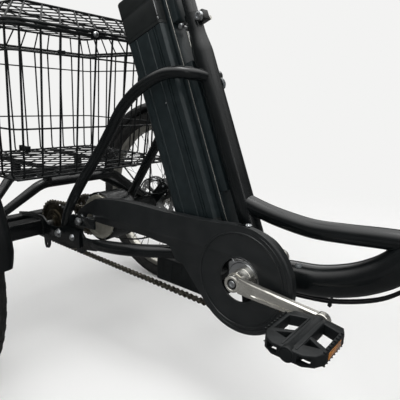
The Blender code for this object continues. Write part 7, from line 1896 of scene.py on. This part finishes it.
mainRun = [alongHead(0.516, -0.002, 0.027), alongHead(0.47, -0.012, 0.029), alongHead(0.425, -0.034, 0.0315),
    (1.008, 0.031, 0.59), (0.996, 0.02, 0.535), (0.965, 0.012, 0.48), (0.908, 0.011, 0.404), (0.868, 0.011, 0.358),
    (0.827, 0.011, 0.33), (0.76, 0.011, 0.306), (0.693, 0.012, 0.296), (0.635, 0.016, 0.291), (0.585, 0.026, 0.298),
    (0.53, 0.039, 0.313), (0.455, 0.049, 0.3125), (0.412, 0.062, 0.308), (0.375, 0.076, 0.304), (0.335, 0.088, 0.299),
    (0.29, 0.094, 0.293), (0.235, 0.093, 0.283), (0.18, 0.08, 0.264), (0.11, 0.074, 0.252), (0.03, 0.076, 0.25),
    (-0.03, 0.078, 0.256)]
harness = [(Vector(p) + Vector((0, -0.0085, -0.0012))) for p in mainRun[5:11]]
harness = [(0.985, 0.003, 0.556)] + harness + [(0.66, -0.004, 0.296), (0.628, -0.006, 0.301), (0.615, -0.006, 0.31)]
shapes = [sweep(smoothPath(mainRun, 5), cableSize["radius"], 10), sweep(smoothPath(harness, 5), 0.0026, 10)]
ends = [sweep([(-0.025, 0.078, 0.2555), (-0.0262, 0.078, 0.2557), (-0.0548, 0.079, 0.2588), (-0.056, 0.079, 0.259)],
    [0.004, 0.0054, 0.0054, 0.004], 20)]
for side in (1, -1):
    end = rearEnds[side]
    start = [(-0.054, 0.079, 0.2588), (-0.07, 0.09, 0.262),
        (-0.066, 0.125, 0.268)] if side > 0 else [(-0.054, 0.078, 0.2586), (-0.09, 0.06, 0.272), (-0.1, 0.0, 0.29),
        (-0.095, -0.07, 0.28), (-0.07, -0.125, 0.268)]
    route = start + [(-0.033, side * 0.19, 0.276), (-0.034, side * 0.245, 0.295), (-0.03, side * 0.282, 0.34),
        (-0.011, side * 0.289, 0.373), (0.008, side * 0.301, 0.38), (end.x - 0.0042, end.y, end.z - 0.0044)]
    smooth = smoothPath(route, 5)
    shapes.append(sweep(smooth, cableSize["radius"], 10))
    ends.append(ferrule(smooth[-5], smooth[-2]))
finishPiece("rearBrakeCable", shapes, "frame", cableSheath, ("rear_brake_cable",), 60)
finishPiece("cableFerrules", ends, "frame", zincPlate, angle=40)
loopRun = [onBar(1, -0.0105, 0.0213), onBar(1, -0.05, 0.026, 0.004), Vector((1.02, 0.19, 1.066)),
    Vector((1.085, 0.11, 1.03)), Vector((1.108, 0.06, 0.94)), alongHead(0.62, 0.02, 0.04),
    alongHead(0.565, 0.002, 0.031), alongHead(0.5165, -0.002, 0.027)]
finishPiece("cableLoop", [sweep(smoothPath(loopRun, 7), cableSize["radius"], 10)], "steering", cableSheath,
    ("cable_loop",), 60)
frontRun = [onBar(-1, -0.0105, 0.0213), onBar(-1, -0.05, 0.026, 0.004), Vector((1.035, -0.16, 1.075)),
    Vector((1.11, -0.07, 1.02)), Vector((1.14, 0.01, 0.92)), Vector((1.13, 0.06, 0.8)), alongHead(0.44, 0.004, 0.079),
    alongHead(0.37, -0.02, 0.081), alongHead(0.3, -0.024, 0.067), alongHead(0.16, -0.022, 0.064),
    Vector((1.166, 0.062, 0.372)), Vector((1.163, 0.06, 0.34)), Vector((1.17, 0.053, 0.308)),
    frontEnd + Vector((-0.0058, 0, 0.002))]
smooth = smoothPath(frontRun, 7)
finishPiece("frontBrakeCable", [sweep(smooth, cableSize["radius"], 10)], "steering", cableSheath,
    ("front_brake_cable",), 60)
finishPiece("frontFerrules", [ferrule(smooth[-4], smooth[-2])], "steering", zincPlate, angle=40)
print("brakes and cables finished")


# Small parts: dropout bolts, plugs, a tie, the controller, a bracket and a clip

hexBolt = [lathe([(0, 0.0058), (0.0052, 0.0058), (0.0064, 0.0048), (0.0064, 0.0012), (0, 0.0012)], (0, 0, 0),
    (0, 0, 1), 6), lathe([(0, 0.0014), (0.0084, 0.0014), (0.0088, 0.0008), (0.0088, 0), (0, 0)], (0, 0, 0), (0, 0, 1),
    28)]
plateFace = -0.1078 - 0.0027
spots = [((0.091, plateFace, 0.305), (0, -1, 0), 0.2, 1.25), ((0.149, plateFace, 0.307), (0, -1, 0), 0.4, 0.95)]
spots += [((x, -y, z), (0, 1, 0), spin, size) for (x, y, z), _, spin, size in spots]
finishPiece("plateBolts", repeatMesh("plateBolts", hexBolt, spots, zincPlate), "frame", zincPlate)

plugShapes = []
plug = [(0, 0.0046), (0.003, 0.0043), (0.0054, 0.0032), (0.0066, 0.0014), (0.0068, 0), (0, 0)]
plugWay = (-seatBack * 0.62 + Vector((0, 0.78, 0))).normalized()
plugShapes.append(lathe([(r * 1.75, h * 1.75) for r, h in plug], alongSeat(0.378) + plugWay * 0.0195, plugWay, 28))
plugShapes.append(lathe(plug, Vector((0.7, -0.012, 0.334 + 0.0262)), (0.05, -0.42, 0.9), 24))
finishPiece("framePlugs", plugShapes, "frame", smokedPlug, angle=40)

# Cable tie round the brake cable and the harness below the down tube
tieCentre = Vector((0.76, 0.0067, 0.3054))
loop = [tieCentre + Vector((0, 0.0078 * math.cos(a), 0.004 * math.sin(a)))
    for a in [2 * math.pi * k / 40 for k in range(40)]]
shapes = [sweep(loop, [(0.0008, 0.0022)] * 40, 8, closed=True)]
lockPlace = Matrix.Translation(tieCentre + Vector((0, -0.006, -0.003)))
shapes.append(block((-0.0032, -0.003, -0.005), (0.0032, 0.003, 0.0), 0.0008, 2, lockPlace))
shapes.append(block((-0.0016, -0.001, -0.007), (0.0016, 0.0002, -0.004), 0.0004, 1, lockPlace))
finishPiece("cableTie", shapes, "frame", cableSheath, angle=40)

# Motor controller box under the stays, behind the chain guard
boxSize = {"low": (0.3735, -0.045, 0.248), "high": (0.545, 0.01, 0.303), "bevel": 0.004}
shapes = [block(boxSize["low"], boxSize["high"], boxSize["bevel"], 3)]
for k in range(6):
    x = 0.392 + 0.027 * k
    shapes.append(block((x, -0.0458, 0.256), (x + 0.003, -0.0446, 0.295), 0.0005, 1))
shapes.append(block((0.46, -0.047, 0.298), (0.48, -0.03, 0.324), 0.001, 2))
shapes.append(lathe([(0, 0), (0.0062, 0), (0.0062, 0.006), (0.0045, 0.009), (0, 0.009)], (0.3738, -0.012, 0.276),
    (-1, 0, 0), 20))
finishPiece("controllerBox", shapes, "frame", mouldedBlack, angle=34)

# Bracket and bolt at the lid's front edge
shapes = [block((0.2075, -0.085, 0.766), (0.21, -0.063, 0.785), 0.0008, 2),
    block((0.196, -0.085, 0.785), (0.21, -0.063, 0.7868), 0.0007, 2)]
finishPiece("lidBracket", shapes, "lid", powderCoat, angle=34)
dome = lathe([(0, 0.0062), (0.003, 0.0058), (0.0056, 0.0042), (0.0068, 0.0018), (0.007, 0), (0, 0)],
    (0.2098, -0.074, 0.7765), (1, 0, 0), 24)
finishPiece("lidBracketBolt", [dome], "lid", zincPlate, angle=50)

# Spring clip on the basket floor
coil = []
for k in range(9 * 16 + 1):
    angle, reach = 2 * math.pi * k / 16, k / (9 * 16)
    coil.append((-0.254 + 0.038 * reach, -0.004 - 0.005 * reach + 0.0062 * math.sin(angle),
        0.481 + 0.0062 * math.cos(angle)))
shapes = [sweep(coil, 0.0013, 8)]
for x, y, lean in ((-0.257, -0.0036, 1), (-0.2125, -0.0094, -1)):
    shapes.append(block((x - 0.004, y - 0.0085, 0.469), (x + 0.003, y + 0.0085, 0.4885), 0.0016, 2))
finishPiece("floorClip", shapes, "frame", wireCoat, angle=40)

print("small parts finished")


# CAD nodes that keep their shape take their real finish
keptFinishes = {"tyre": tyreRubber, "grip": gripRubber, "throttle": gripRubber, "rim": rimAluminium,
    "hub": polishedAluminium, "crankset": polishedAluminium, "battery_rail": polishedAluminium,
    "seat_post": polishedAluminium, "brake_lever": polishedAluminium, "rotor": discSteel, "drive_chain": chainSteel,
    "motor_chain": chainSteel, "chainring": chromedSteel, "saddle_springs": chromedSteel, "freewheel": sprocketSteel,
    "rear_axle": zincPlate, "motor_axle": zincPlate, "seat_clamp": zincPlate, "clamp_lever": zincPlate,
    "lid_latch": zincPlate, "pedal": mouldedBlack, "fender": fenderPlastic, "headlight": mouldedBlack,
    "display": mouldedBlack, "caliper": mouldedBlack, "motor_hub": motorCasting, "basket": wireCoat, "lid": wireCoat,
    "basket_carrier": powderCoat, "chain_guard": guardPlastic, "battery": batteryAluminium, "saddle": saddleVinyl,
    "cable_loop": cableSheath, "rear_brake_cable": cableSheath, "front_brake_cable": cableSheath,}
for name, node in nodes.items():
    fitting = [key for key in keptFinishes if name.startswith(key)]
    material = keptFinishes[max(fitting, key=len)] if fitting else powderCoat
    node.data.materials.clear()
    node.data.materials.append(material)


print("pieces finished")
